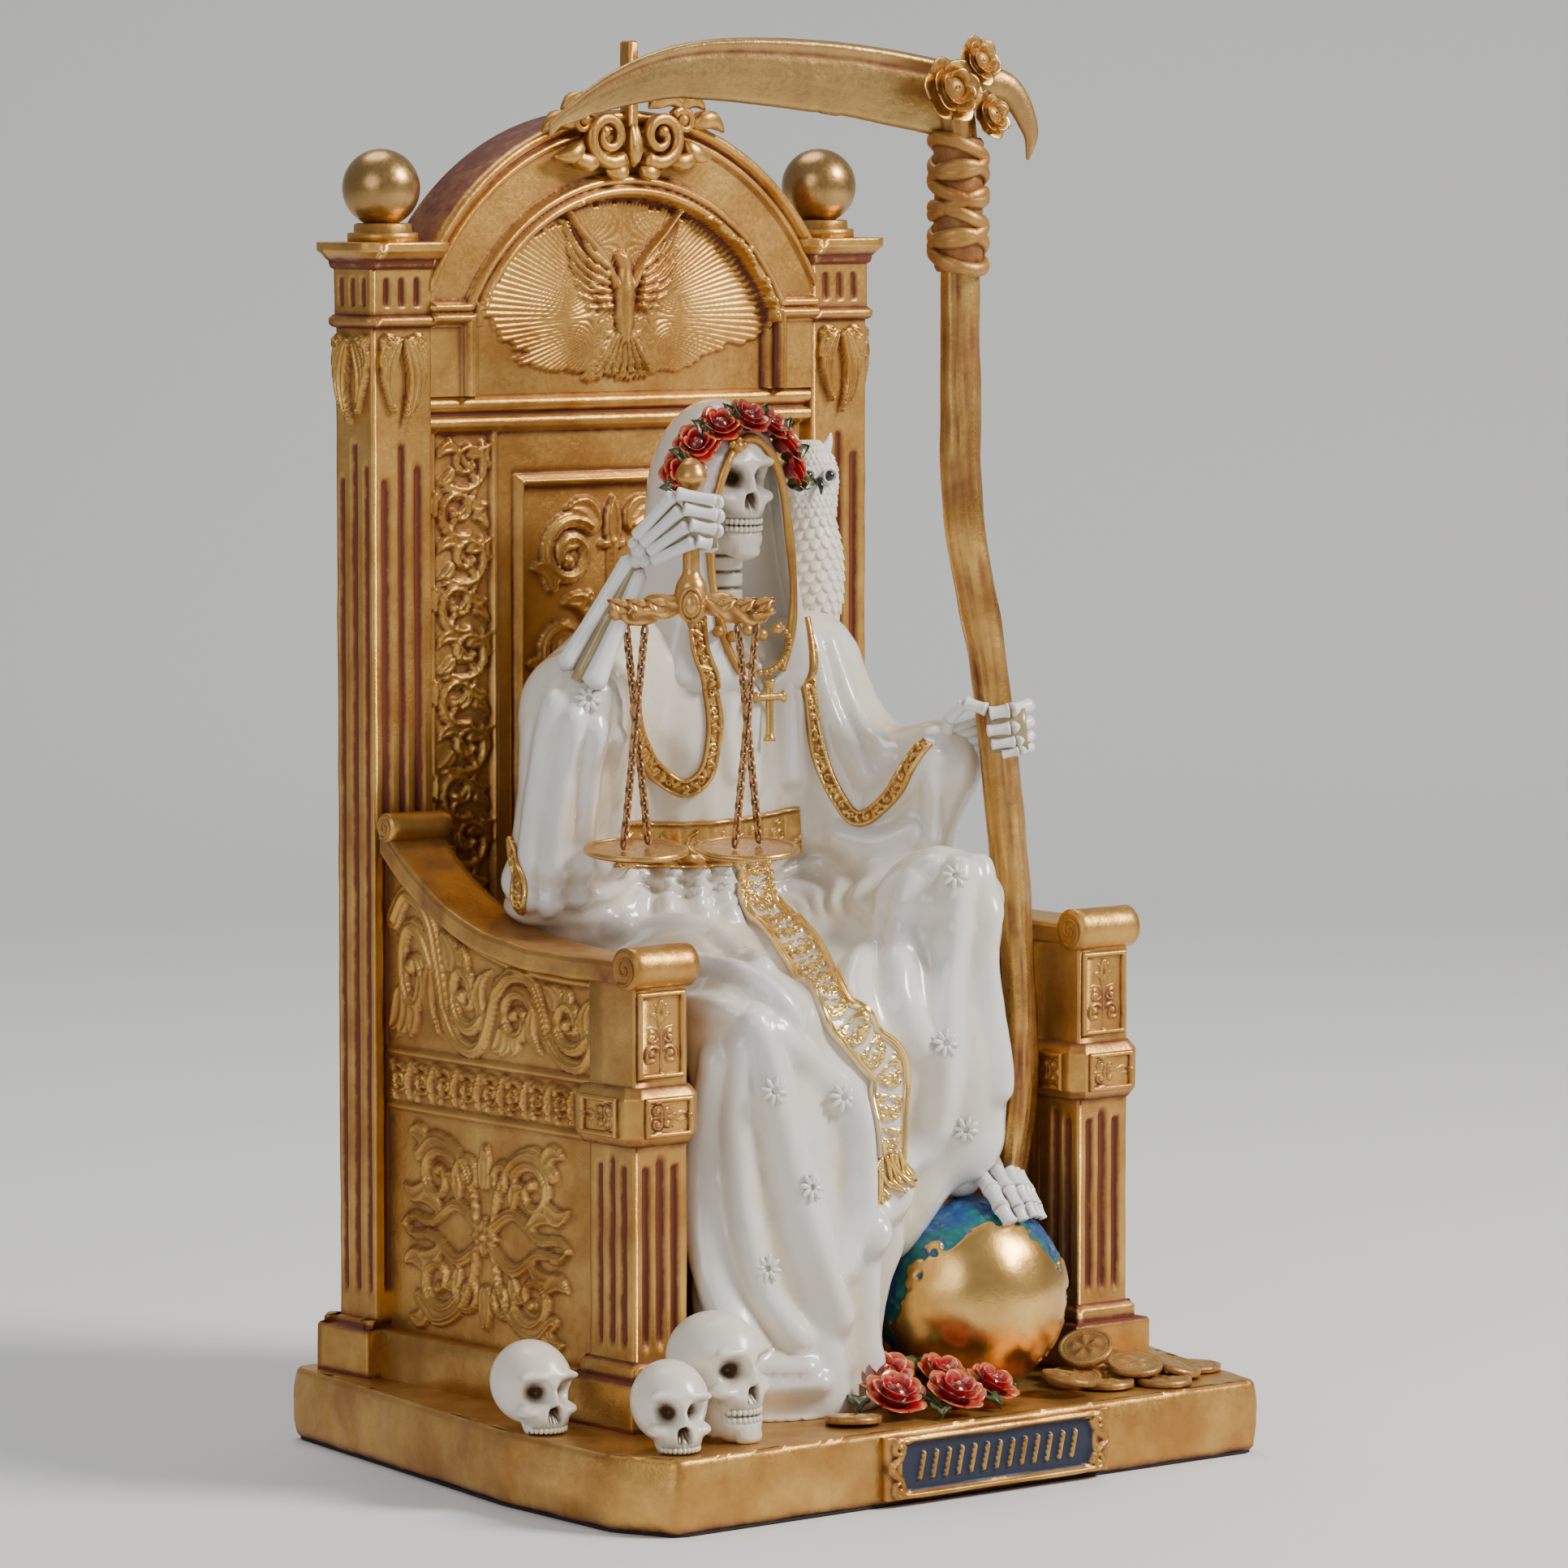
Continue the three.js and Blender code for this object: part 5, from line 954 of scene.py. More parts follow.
def post(shape, side):
    """One post: its moulded foot, fluted shaft, collar, slotted block, capital, ball seat and leaves."""
    x = side * POST_X
    centre = np.array([x, POST_DEPTH / 2])
    half = np.array([POST_HALF, POST_DEPTH / 2])
    z = BASE_TOP
    moulded(shape, centre + [0, 1.0], half + [3.8, 2.75],
            [(z - 0.5, 0), (z + 10.4, 0), (z + 10.9, -0.5), (z + 11.2, -2.2), (z + 12.6, -2.4),
             (z + 12.9, -3.4)], [z + 0.2, z + 11.3])
    top = z + POST_HEIGHT
    low = z + 19
    high = top - 26
    ends = [(low, high - 8), (low, high), (low, high - 5)]
    fluted(shape, centre, half, z + 12, top + 0.5, 4.6, ends, [(0, -1), (side, 0)], rows=180)
    moulded(shape, centre, half, [(top - 0.3, 0), (top, 1.1), (top + 0.6, 1.7), (top + 1.8, 1.7),
                                  (top + 2.4, 1.0), (top + 2.8, 0.3)], [top - 0.3, top + 2.9])
    slots = grooves([(top + 4.4, top + 11.2)] * 3, 4.2, 0.95, 1.0, [(0, -1), (side, 0)])
    levels = steps((top + 2.6, 0.3), (top + 13.2, 0.3), rise=0.4)
    grid = column(centre, half, levels, 0.5, 34, slots)
    outline, normal = rounded_rectangle(half[0], half[1], 0.5, 34)
    dents = slots(outline, normal, np.array([lv[0] for lv in levels]))
    shape.tube(grid, clamp(0.12 - dents) + 0.4 * bell(grid[..., 2] - top - 2.8, 0.8))
    c = top + 12.8
    moulded(shape, centre, half, [(c, 0.3), (c + 0.5, 1.2), (c + 1.4, 1.5), (c + 1.9, 1.5), (c + 2.5, 2.3),
                                  (c + 3.6, 3.4), (c + 4.2, 4.2), (c + 6.0, 4.25), (c + 6.2, 3.9)],
            [c + 0.2, c + 1.9])
    profile = [(0.0, 8.0), (1.9, 8.0), (2.1, 7.6), (2.1, 6.6), (3.9, 6.5), (4.2, 6.0)]
    turned(shape, [x, POST_DEPTH / 2], CORNICE_TOP, profile, 40)
    for centre_uv, axis, face in (([x, -0.05], X, FRONT),
                                  ([x + side * POST_HALF, POST_DEPTH / 2], Y, side * X)):
        origin = [centre_uv[0], centre_uv[1] if axis is Y else 0.0, top - 1.0]
        carved_panel(shape, origin, axis, Z, face, (-6.4, 6.4), (-21.5, 0.0), 0.28,
                     lambda u, v: emboss(u, v, acanthus(12.4, 21.0), 2.9) - 0.1, 0.8, 0.15, 1.5)


def turned(shape, centre, z0, profile, sides, wash=None):
    """A turned solid: a profile of [height, radius] carried round an upright axis."""
    z, r = np.array(profile, float).T
    a = np.arange(sides) / sides * TAU
    grid = np.stack([centre[0] + r[:, None] * np.cos(a), centre[1] + r[:, None] * np.sin(a),
                     np.broadcast_to((z0 + z)[:, None], (len(z), sides))], -1)
    shape.tube(grid, 0.12 if wash is None else wash)


def directions(rows, sides, edge=0.01):
    """Directions over a ball, in rings from top to bottom that each start at the front."""
    a = np.linspace(edge, math.pi - edge, rows)[:, None]
    b = np.arange(sides) / sides * TAU
    return np.stack([np.sin(a) * np.sin(b), -np.sin(a) * np.cos(b), np.cos(a) + 0 * b], -1)


def sphere(shape, centre, radius, rows=24, sides=40, wash=0.0, tint=0.0):
    """A ball, or an ellipsoid where three radii are given."""
    shape.tube(np.asarray(centre, float) + directions(rows, sides, 0.02) * np.asarray(radius, float), wash,
               tint)


def back_relief(u, v):
    """The back below the tympanum: carved strips, a stepped frame, a sunk panel with scrolls, and a rail."""
    strip_height = RAIL_Z - 4 - SEAT_TOP - 4
    middle_z = SEAT_TOP + strip_height / 2 + 2
    strips = vine(15.0, strip_height, 13)
    strokes = flipped(strips, 1, 1, -STRIP_CENTRE, middle_z) + flipped(strips, -1, 1, STRIP_CENTRE, middle_z)
    panel_top = RAIL_Z - 16
    a = np.abs(u)[None]
    depth = np.minimum(28.0 - a, panel_top - v)
    sunk = -2.4 * smooth(depth / 1.6) + 1.0 * bell(depth - 0.2, 0.9) - 0.8 * bell(depth + 2.2, 0.5)
    scrolls = []
    for k, (cx, dz, r, turns) in enumerate([(12.5, -17, 8.8, -1.6), (14, -39, 8.2, 1.5),
                                            (12, -60, 7.6, -1.5), (14, -80, 7.6, 1.5),
                                            (12.5, -101, 7.6, -1.5)]):
        scrolls += spiral(cx, panel_top + dz, r, 2.4 if k % 2 == 0 else -2.2, turns, 1.9, 1.0, 34)
        scrolls.append(petal(cx - 8, panel_top + dz + 5, cx + 1, panel_top + dz + 10.5, 2.6, 0.3))
        scrolls.append(petal(cx + 5, panel_top + dz - 9, cx + 11.5, panel_top + dz - 3, 2.4, 0.3))
        scrolls.append(petal(cx - 3, panel_top + dz + 2, cx + 3, panel_top + dz - 3, 1.8, 0.4))
        scrolls.append(petal(cx - 6, panel_top + dz - 9, cx - 1, panel_top + dz - 12.5, 2.0, -0.3))
    strokes += mirrored(scrolls)
    strokes += [stroke([[0, SEAT_TOP], [0, panel_top - 14]], 1.5, 0.9),
                petal(0, panel_top - 15, 0, panel_top - 4, 2.4, 0, 1.2),
                stroke([[-3, panel_top - 15], [3, panel_top - 15]], 1.0, 1.0)]
    relief = emboss(u, v, strokes, size_of("carving"))
    edge = np.abs(a - STRIP_CENTRE) - 7.9
    border = 0.9 * bell(edge - 0.9, 0.6) - 0.5 * bell(edge - 0.1, 0.35)
    on_strips = (v < RAIL_Z - 4)
    strip_ground = -0.7 * (edge < 0) * on_strips
    beads = rail_beads(v, RAIL_Z)
    return relief + sunk + border * on_strips + strip_ground + beads


def rail_beads(v, centre):
    """Two round beads with a groove between them and a fillet on each side."""
    d = v - centre
    two = sum(1.9 * dome(d - s, 1.7) for s in (-2.1, 2.1))
    return two + 0.9 * (np.abs(d) < 4.2)


def rays_and_dove():
    """Strokes of the dove: a plump body, a head, layered wing feathers and a spread tail."""
    strokes = [stroke([[0, 250.5], [0, 256], [0, 262], [0, 266]], [1.6, 3.0, 3.1, 2.2], [3.2, 3.8, 3.9, 3.4],
                      "round"),
               stroke([[0, 267.5], [-0.8, 269.2], [-2.2, 270.2]], [2.1, 1.8, 0.7], [3.5, 3.4, 2.8], "round")]
    wing = []
    tips = [(17, 278), (16.5, 273), (15.5, 268.5), (14.5, 264.5), (13, 261), (11, 258), (8.5, 255.8)]
    for k, (x, z) in enumerate(tips):
        wing.append(petal(3.5 + k * 0.3, 265.5 - k * 1.1, x, z, 1.25, -0.16, 2.6 - 0.05 * k, "ribbon"))
    for row, reach in ((0, 0.62), (1, 0.42)):
        for k, (x, z) in enumerate(tips[:6]):
            x0, z0 = 3.0, 265.5 - k * 1.4
            wing.append(petal(lerp(x0, x, 0.12), lerp(z0, z, 0.12), lerp(x0, x, reach), lerp(z0, z, reach),
                              1.05, -0.1, 2.9 + 0.3 * row, "round"))
    wing.append(stroke(curve([[2.5, 263], [6, 269], [12, 275], [16.2, 279.6]], 14),
                       np.linspace(1.5, 0.6, 14), 3.0, "round"))
    strokes += mirrored(wing)
    for k in range(-3, 4):
        strokes.append(petal(k * 0.5, 252.5, k * 2.5, 241.5 + 0.5 * abs(k), 1.15, 0, 2.5, "ribbon"))
    return strokes


def burst(u, v):
    """Rays round the dove: narrow ridges by angle, in bundles of unequal length, longest to the sides."""
    x, z = u[None], v - 256.0
    angle = np.arctan2(z, x)
    r = np.hypot(x, z)
    count = 150
    cell = (angle / TAU + 0.5) * count
    index = np.floor(cell)
    bundle = np.floor(index / 7.0)
    reach = 1 / np.hypot(np.cos(angle) / 47, np.sin(angle) / np.where(z > 0, 27.5, 16.5))
    length = reach * (0.76 + 0.2 * lattice(bundle, 0, 0, 2) + 0.06 * lattice(index, 1, 0, 3))
    ridge = 0.55 + 0.45 * np.abs(np.sin(math.pi * cell))
    slope = 1.7 - 0.7 * r / length
    return np.where(r < length, ridge * slope, 0) * smooth((length - r) / 0.8)


def tympanum_relief(u, v):
    """The arch above the rail: its mouldings follow the distance from the arch's centre."""
    x = u[None]
    z = v - ARCH_CENTRE
    r = np.hypot(x, np.maximum(z, 0.0))
    turn_z = 257.0
    line = np.where(v > turn_z, r - INNER_ARCH_RADIUS, np.maximum(np.abs(x) - 44.5, -60.0))
    level = np.abs(v - turn_z)
    beyond = np.abs(x) > math.sqrt(INNER_ARCH_RADIUS ** 2 - (turn_z - ARCH_CENTRE) ** 2)
    line = np.where(beyond & (v < 262), np.minimum(np.abs(line), level) * np.sign(v - turn_z), line)
    arch = 2.2 * dome(line + 0.9, 1.3) + 1.7 * dome(line - 1.5, 1.1) + 0.6 * (np.abs(line) < 3)
    arch = arch * ((v > turn_z - 3) | beyond)
    field = np.where((line < -2.5) & ~(beyond & (v < turn_z)), -TYMPANUM_SINK, 0.0)
    rim = 1.9 * dome(r - (ARCH_RADIUS - 1.4), 1.4) + 1.2 * dome(r - (ARCH_RADIUS - 4.4), 0.9)
    star = burst(u, v)
    dove = emboss(u, v, rays_and_dove(), 1.0)
    return field + arch + rim * (v > 262) + np.maximum(star, dove)


def arch(shape):
    """The arch, whose top is the half circle of its outer radius."""
    top = lambda u: ARCH_CENTRE + np.sqrt(ARCH_RADIUS ** 2 - u ** 2)
    carved_panel(shape, [0, 0, 0], X, Z, FRONT, (-56.0, 56.0), (TYMPANUM_FOOT, 0), 0.36, tympanum_relief,
                 BACK_REAR, 0.12, 1.3, top=top)


def crest(shape):
    """Two scrolls back to back on the arch, with leaves that run out along its rim, and the cross."""
    half = spiral(7.6, 297.0, 6.6, -2.3, 1.5, 1.7, 1.0, 40)
    half += spiral(14.6, 300.2, 3.4, 2.6, -1.1, 1.1, 0.9, 24)
    half += [petal(4.5, 303.5, 15, 303.0, 2.0, 0.25), petal(10, 291.5, 18.5, 294.5, 2.0, -0.2),
             petal(12.5, 303.4, 21, 303.2, 1.9, 0.25), petal(17, 299.0, 26.5, 298.0, 2.2, 0.25),
             petal(15, 296.0, 23, 292.5, 1.9, -0.2), petal(2.0, 290.0, 8.0, 289.4, 1.7, -0.2),
             petal(0.0, 290, 0.6, 300.0, 1.6)]
    for points, width, height, _ in mirrored(half):
        if len(points) == 2:
            sphere(shape, [points[0][0], -3.2, points[0][1]], 1.5, 10, 14, 0.15)
            continue
        path = np.stack([points[:, 0], -1.2 - 2.2 * height, points[:, 1]], -1)
        grid = swept(path, np.maximum(width, 0.3), 12, up=Y, flat=1.15,
                     lobes=lambda t: 1 - 0.12 * np.cos(4 * t))
        depth = clamp((grid[..., 1] + 3.0) / 3.0)
        shape.tube(grid, 0.1 + 0.8 * depth)
    low = 299.0
    block(shape, [-1.4, -3.4, low], [1.4, 0.4, 318.9], 0.5, 0.15)
    block(shape, [-6.6, -3.3, low + 6.6], [6.6, 0.3, low + 9.4], 0.5, 0.15)


def arm_top(y):
    """Height of the arm's top: level at the front and rising steeply to the rear roll."""
    share = clamp((y + 76) / 73)
    return BASE_TOP + 101.9 + 22.0 * share ** 3


def arm_wall_relief(u, v):
    """The arm's outer face: a running scroll under the curved rail, a band of curls and a rosette."""
    frieze_foot = BASE_TOP + 76.0
    strokes = []
    wave = rinceau(76, 17.5, 4)
    for points, width, height, kind in wave:
        y = points[:, 0] - 38.5
        room = (arm_top(y) - 7.0 - frieze_foot) / 19.0
        z = frieze_foot + 9.6 * room + points[:, 1] * room
        strokes.append((np.stack([y, z], -1), width * room.mean() ** 0.5, height, kind))
    strokes += flipped(running_curls(77, 9.2, 9), 1, 1, -38.5, BASE_TOP + 68.0)
    strokes += flipped(rosette(62, 42), 1, 1, -36.0, BASE_TOP + 35.5)
    relief = emboss(u, v, strokes, size_of("carving"))
    lines = sum(0.9 * dome(v - z, 1.0) for z in (BASE_TOP + 61.9, BASE_TOP + 74.3))
    under = v - (arm_top(u)[None] - 6.2)
    edge = 1.3 * dome(under, 1.1)
    return np.maximum(relief, lines) + edge


def arm(shape, side):
    """One arm: its carved wall, curved rail, rolls, pilaster, blocks and plinth."""
    out = side * X
    middle = ARM_OUTER - ARM_WIDTH / 2
    z = BASE_TOP
    carved_panel(shape, [side * WALL_OUTER, 0, 0], Y, Z, out, (-84.0, 0.6), (z, 0), 0.45, arm_wall_relief,
                 WALL_OUTER - WALL_INNER, 0.13, 1.3, top=lambda y: arm_top(y) - 3.0)
    y = np.linspace(-91.5, -2.0, 90)
    top = arm_top(y)
    section, _ = rounded_rectangle(7.9, 2.6, 0.9, 8)
    path = np.stack([np.full_like(y, side * middle), y, top - 2.5], -1)
    along = unit(np.gradient(path, axis=0))
    over = np.cross(X, along)
    grid = path[:, None] + section[None, :, :1] * X + section[None, :, 1:] * over[:, None]
    grid = grid + 0.22 * noise(grid, 8.0, 4)[..., None] * Z
    shape.tube(grid, 0.16 + 0.3 * smooth(-noise(grid, 6.0, 9)))
    for centre_y, centre_z, radius, length in ((-92.2, z + 100.7, 4.7, 8.9), (-4.6, z + 125.3, 3.2, 8.6)):
        a = np.arange(40) / 40 * TAU
        profile = [(-length, 0.55), (-length, 0.8), (-length + 0.5, 1.0), (length - 0.5, 1.0),
                   (length, 0.8), (length, 0.55)]
        rows = np.concatenate([between(profile, 8), profile[-1:]])
        grid = np.stack([np.broadcast_to(side * middle + rows[:, :1], (len(rows), 40)),
                         centre_y + rows[:, 1:] * radius * np.cos(a),
                         centre_z + rows[:, 1:] * radius * np.sin(a)], -1)
        shape.tube(grid + 0.12 * noise(grid, 4.0, 2)[..., None] * Z, 0.12)
        for end in (-1, 1):
            points, width = spiral(0, 0, radius * 0.82, 1.0 * end, 1.6 * end, 0.5, 1.0, 40, 0.1)[0][:2]
            line = np.stack([np.full(len(points), side * middle + end * (length + 0.05)),
                             centre_y + points[:, 0], centre_z + points[:, 1]], -1)
            shape.tube(swept(line, width, 8, up=X), 0.35)
    centre = np.array([side * middle, ARM_FRONT + PILASTER_DEPTH / 2])
    half = np.array([ARM_WIDTH / 2, PILASTER_DEPTH / 2])
    low, cap = z + 14.9, z + 61.8
    faces = [(0, -1), (side, 0), (-side, 0)]
    fluted(shape, centre, half, z + 12, cap + 1, 4.0,
           [(low + 3, cap - 4), (low + 3, cap - 2.5), (low + 3, cap - 4)], faces)
    block(shape, [*(centre - half), cap], [*(centre + half), z + 99.5], 0.7, 0.2)
    moulded(shape, centre + [0, 0.4], half + [3.8, 4.4], [(z - 0.5, 0), (z + 10.3, 0), (z + 10.9, -0.6)],
            [z + 0.2, z + 11])
    moulded(shape, centre, half + [1.2, 1.2],
            [(z + 10.5, 0.4), (z + 13.6, 0.3), (z + 14.2, -0.3), (z + 14.9, -1.0)], [z + 11.2, z + 15])
    block(shape, [min(side * WALL_INNER, side * 72.4), -84, z - 0.5],
          [max(side * WALL_INNER, side * 72.4), 0.8, z + 10.9], 0.6, 0.15)
    mid_block(shape, centre, half, cap, side)
    carved_panel(shape, [side * middle, ARM_FRONT - 0.1, z + 86.0], X, Z, FRONT, (-6.6, 6.6), (-9.6, 9.6),
                 0.26, framed(lambda u, v: emboss(u, v, plant(10, 15.5), 1.5), 6.6, 9.6), 1.2, 0.45, 0.9)


def framed(inner, a, b, depth=0.9, edge=1.0):
    """A sunk field with a raised edge round an ornament."""
    def relief(u, v):
        """Depth by the distance from the nearest side."""
        d = np.minimum(a - np.abs(u)[None], b - np.abs(v))
        field = -depth * smooth((d - edge) / 0.6)
        return field + 0.9 * dome(d - edge * 0.7, 0.7) + inner(u, v) * (d > edge)
    return relief


def mid_block(shape, centre, half, z0, side):
    """The block at mid height of the pilaster: its front corners cut, with a small carved field on each
    face."""
    a, b = half + 2.6
    cut = 2.7
    y_rear = b - 1.4
    ring = np.array([[a, y_rear], [-a, y_rear], [-a, -b + cut], [-a + cut, -b], [a - cut, -b],
                     [a, -b + cut]])
    fine = between(np.concatenate([ring, ring[:1]]), 14)
    away = unit(fine)
    levels = steps((z0, -1.8), (z0 + 2.0, -0.2), (z0 + 2.4, 0), (z0 + 10.6, 0), (z0 + 11, -0.2),
                   (z0 + 13, -1.8), rise=0.6)
    grid = np.stack([np.concatenate([centre + fine + away * out, np.full((len(fine), 1), z)], -1)
                     for z, out in levels])
    grid[..., :2] += (0.15 * noise(grid, 5.0, 8))[..., None] * away
    shape.tube(grid, 0.1 + 0.6 * bell(grid[..., 2] - z0, 0.9) + 0.5 * bell(grid[..., 2] - z0 - 13, 0.9))
    middle_z = z0 + 6.5
    faces = [([centre[0], centre[1] - b - 0.05, middle_z], X, FRONT, 6.6)]
    for turn in (side, -side):
        faces.append(([centre[0] + turn * (a + 0.05), centre[1] + 0.6, middle_z], Y, turn * X, 6.4))
    for origin, axis, face, width in faces:
        ornament = swapped(plant(5.6, width * 1.7))
        carved_panel(shape, origin, axis, Z, face, (-width, width), (-4.4, 4.4), 0.24,
                     framed(lambda u, v: emboss(u, v, ornament, 1.1), width, 4.4, 0.7, 0.9), 1.0, 0.45, 0.7)


def throne():
    """The throne in its pieces: base, back, arch, posts with the seat, arms and balls."""
    base = Shape()
    base_slab(base)
    name_plate(base)
    base.piece("throne_base", "gilt", "gilt", "base_and_throne")
    back = Shape()
    carved_panel(back, [0, BACK_PLANE, 0], X, Z, FRONT, (-56.0, 56.0), (SEAT_TOP - 4, TYMPANUM_FOOT + 0.2),
                 0.46, back_relief, BACK_REAR - BACK_PLANE)
    back.piece("throne_back", "gilt", "gilt", "base_and_throne")
    top = Shape()
    arch(top)
    crest(top)
    top.piece("throne_arch", "gilt", "gilt", "base_and_throne")
    frame_shape = Shape()
    for side in (-1, 1):
        post(frame_shape, side)
    block(frame_shape, [-57, -69.0, BASE_TOP - 1], [57, 4, SEAT_TOP], 0.8, 0.2)
    block(frame_shape, [-57, 3.2, BASE_TOP - 1], [57, BACK_REAR - 0.2, SEAT_TOP], 0.8, 0.2)
    frame_shape.piece("throne_posts", "gilt", "gilt", "base_and_throne")
    for side, name in ((-1, "right"), (1, "left")):
        shape = Shape()
        arm(shape, side)
        shape.piece(f"throne_arm_{name}", "gilt", "gilt", "base_and_throne")
    balls = Shape()
    for side in (-1, 1):
        sphere(balls, [side * POST_X, POST_DEPTH / 2 + 0.5, CORNICE_TOP + 12.1], BALL_RADIUS, 40, 60)
    balls.piece("throne_balls", "ball", "gilt", "base_and_throne")


# Figure: one smooth body round straight limbs, with heights above the base's top

# Each limb: two ends and their radii
TORSO = [
    ((-17, -32, 88), (17, -32, 88), 22, 22), ((-8, -31, 95), (-7, -31, 150), 17, 15.5),
    ((8, -31, 95), (7, -31, 150), 17, 15.5), ((-15, -31, 148), (15, -31, 148), 13.5, 13.5),
]
SLEEVES = [
    ((-27, -31, 161), (27, -31, 160), 11, 11), ((-27, -31, 161), (-50, -46, 155), 11.5, 12),
    ((-48, -43, 148), (-56, -38, 112), 12, 8), ((-34, -33, 148), (-42, -33, 108), 13, 12),
    ((27, -31, 160), (33, -48, 132), 11.5, 12), ((33, -48, 132), (37, -68, 139), 12, 10),
    ((37, -66, 134), (36, -62, 110), 9, 7), ((22, -34, 140), (31, -54, 116), 13, 12),
]
SKIRT = [
    ((-16, -34, 88), (-33, -86, 84), 19, 13.5), ((16, -34, 90), (20, -62, 96), 19, 13.5),
    ((20, -62, 96), (22.5, -87, 108), 13.5, 12), ((22.5, -87, 108), (20.5, -91, 70), 12, 12),
    ((20.5, -91, 70), (22.5, -92, 57), 12, 10), ((22, -84, 66), (40, -85, 47), 9, 4),
    ((18, -86, 56), (3, -91, 36), 9, 7), ((0, -60, 90), (4, -82, 84), 14, 13),
    ((-33, -86, 84), (-36.5, -91, 2), 13, 14.5), ((-12, -86, 78), (-26, -92, 2), 14, 16),
    ((8, -84, 84), (-14, -87, 34), 14, 13), ((-14, -87, 34), (-17, -90, 2), 13, 14),
]
# The hood's middle, and the height where its dome begins
HOOD_Y = -33.0
HOOD_SPRING = 199.0
HOOD_FOOT = 150
HOOD_WALL = 1.9
# The hood's opening: its middle's x and height, then its half width and half height
OPENING = (0.0, 184.0, 11.6, 28.5)
# The photograph's eye, and its directions to the right and towards the viewer
EYE = np.array([-1068.23, -1359.67, 294.59])
RIGHT = np.array([0.7733, -0.6340, 0.0])
TOWARD = np.array([-0.632, -0.770, 0.085])


def capsule_union(p, capsules, softness=3.2):
    """Minus the softness times the logarithm of the summed exponentials of minus each capsule's distance."""
    total = 0.0
    for a, b, ra, rb in capsules:
        a, b = (np.array(q, np.float32) + np.float32([0, 0, BASE_TOP]) for q in (a, b))
        d = b - a
        t = clamp(((p - a) @ d) / max(float(d @ d), 1e-9))
        gap = np.linalg.norm(p - a - t[..., None] * d, axis=-1) - lerp(ra, rb, t)
        total = total + np.exp(-np.clip(gap, -40, 60) / softness)
    return -softness * np.log(np.maximum(total, 1e-30))


def body_field(p):
    """The body: torso, sleeves and skirt as one smooth union."""
    return capsule_union(p, TORSO + SLEEVES + SKIRT)


def hood_field(p):
    """The hood's outside: an oval section that widens downward and tucks in at its lower edge, under a
    dome."""
    h = p[..., 2] - BASE_TOP
    drop = clamp((213 - h) / 55)
    tuck = 1 - 0.22 * smooth((160 - h) / 10)
    rx, ry = lerp(15.2, 27.0, drop ** 2) * tuck, lerp(15.5, 17.5, drop) * tuck
    x, y = p[..., 0], p[..., 1] - HOOD_Y
    dome = np.maximum(h - HOOD_SPRING, 0) / 22.0
    fold = 0.035 * np.cos(7 * np.arctan2(x, -y) + 0.5) * clamp((207 - h) / 30)
    return (np.sqrt((x / rx) ** 2 + (y / ry) ** 2 + dome ** 2) - 1 - fold) * 0.5 * (rx + ry)


def hood_shell(p):
    """The hood, solid behind the face, with an inside one wall further in and an oval opening in its
    front."""
    outside = hood_field(p)
    inside = np.minimum(-outside - HOOD_WALL, -36 - p[..., 1])
    x, h = p[..., 0], p[..., 2] - BASE_TOP
    hole = (np.hypot((x - OPENING[0]) / OPENING[2], (h - OPENING[1]) / OPENING[3]) - 1) * OPENING[2]
    cut = np.maximum(hole, p[..., 1] + 37)
    parts = np.stack([outside, inside, -cut, HOOD_FOOT - h])
    soft = 0.35
    return soft * np.log(np.sum(np.exp(np.clip(parts / soft, -60, 60)), axis=0))


def dress_field(p):
    """The robe and, above its lower edge, the hood."""
    return np.minimum(body_field(p), np.maximum(hood_field(p), BASE_TOP + HOOD_FOOT - p[..., 2]))


def slope(p, field):
    """The direction in which a field grows, from differences over 0.05 mm."""
    here = field(p)
    rises = [field(p + 0.05 * axis) - here for axis in (X, Y, Z)]
    return here, unit(np.stack(rises, -1))


def settle(p, field, rounds=4):
    """Moves points to where the field is zero, along its slope."""
    for _ in range(rounds):
        here, direction = slope(p, field)
        p = p - direction * np.clip(here, -2, 2)[..., None]
    return p


def seen(places, y, field=body_field):
    """Where the line of sight through each [x, z] of an upright plane first meets the field's surface."""
    p = np.array([[x, y, z] for x, z in places], float)
    ray = unit(p - EYE)
    p = p - ray * 70
    for _ in range(70):
        p = p + ray * (np.clip(field(p), -1.5, 6) * 0.85)[:, None]
    return p


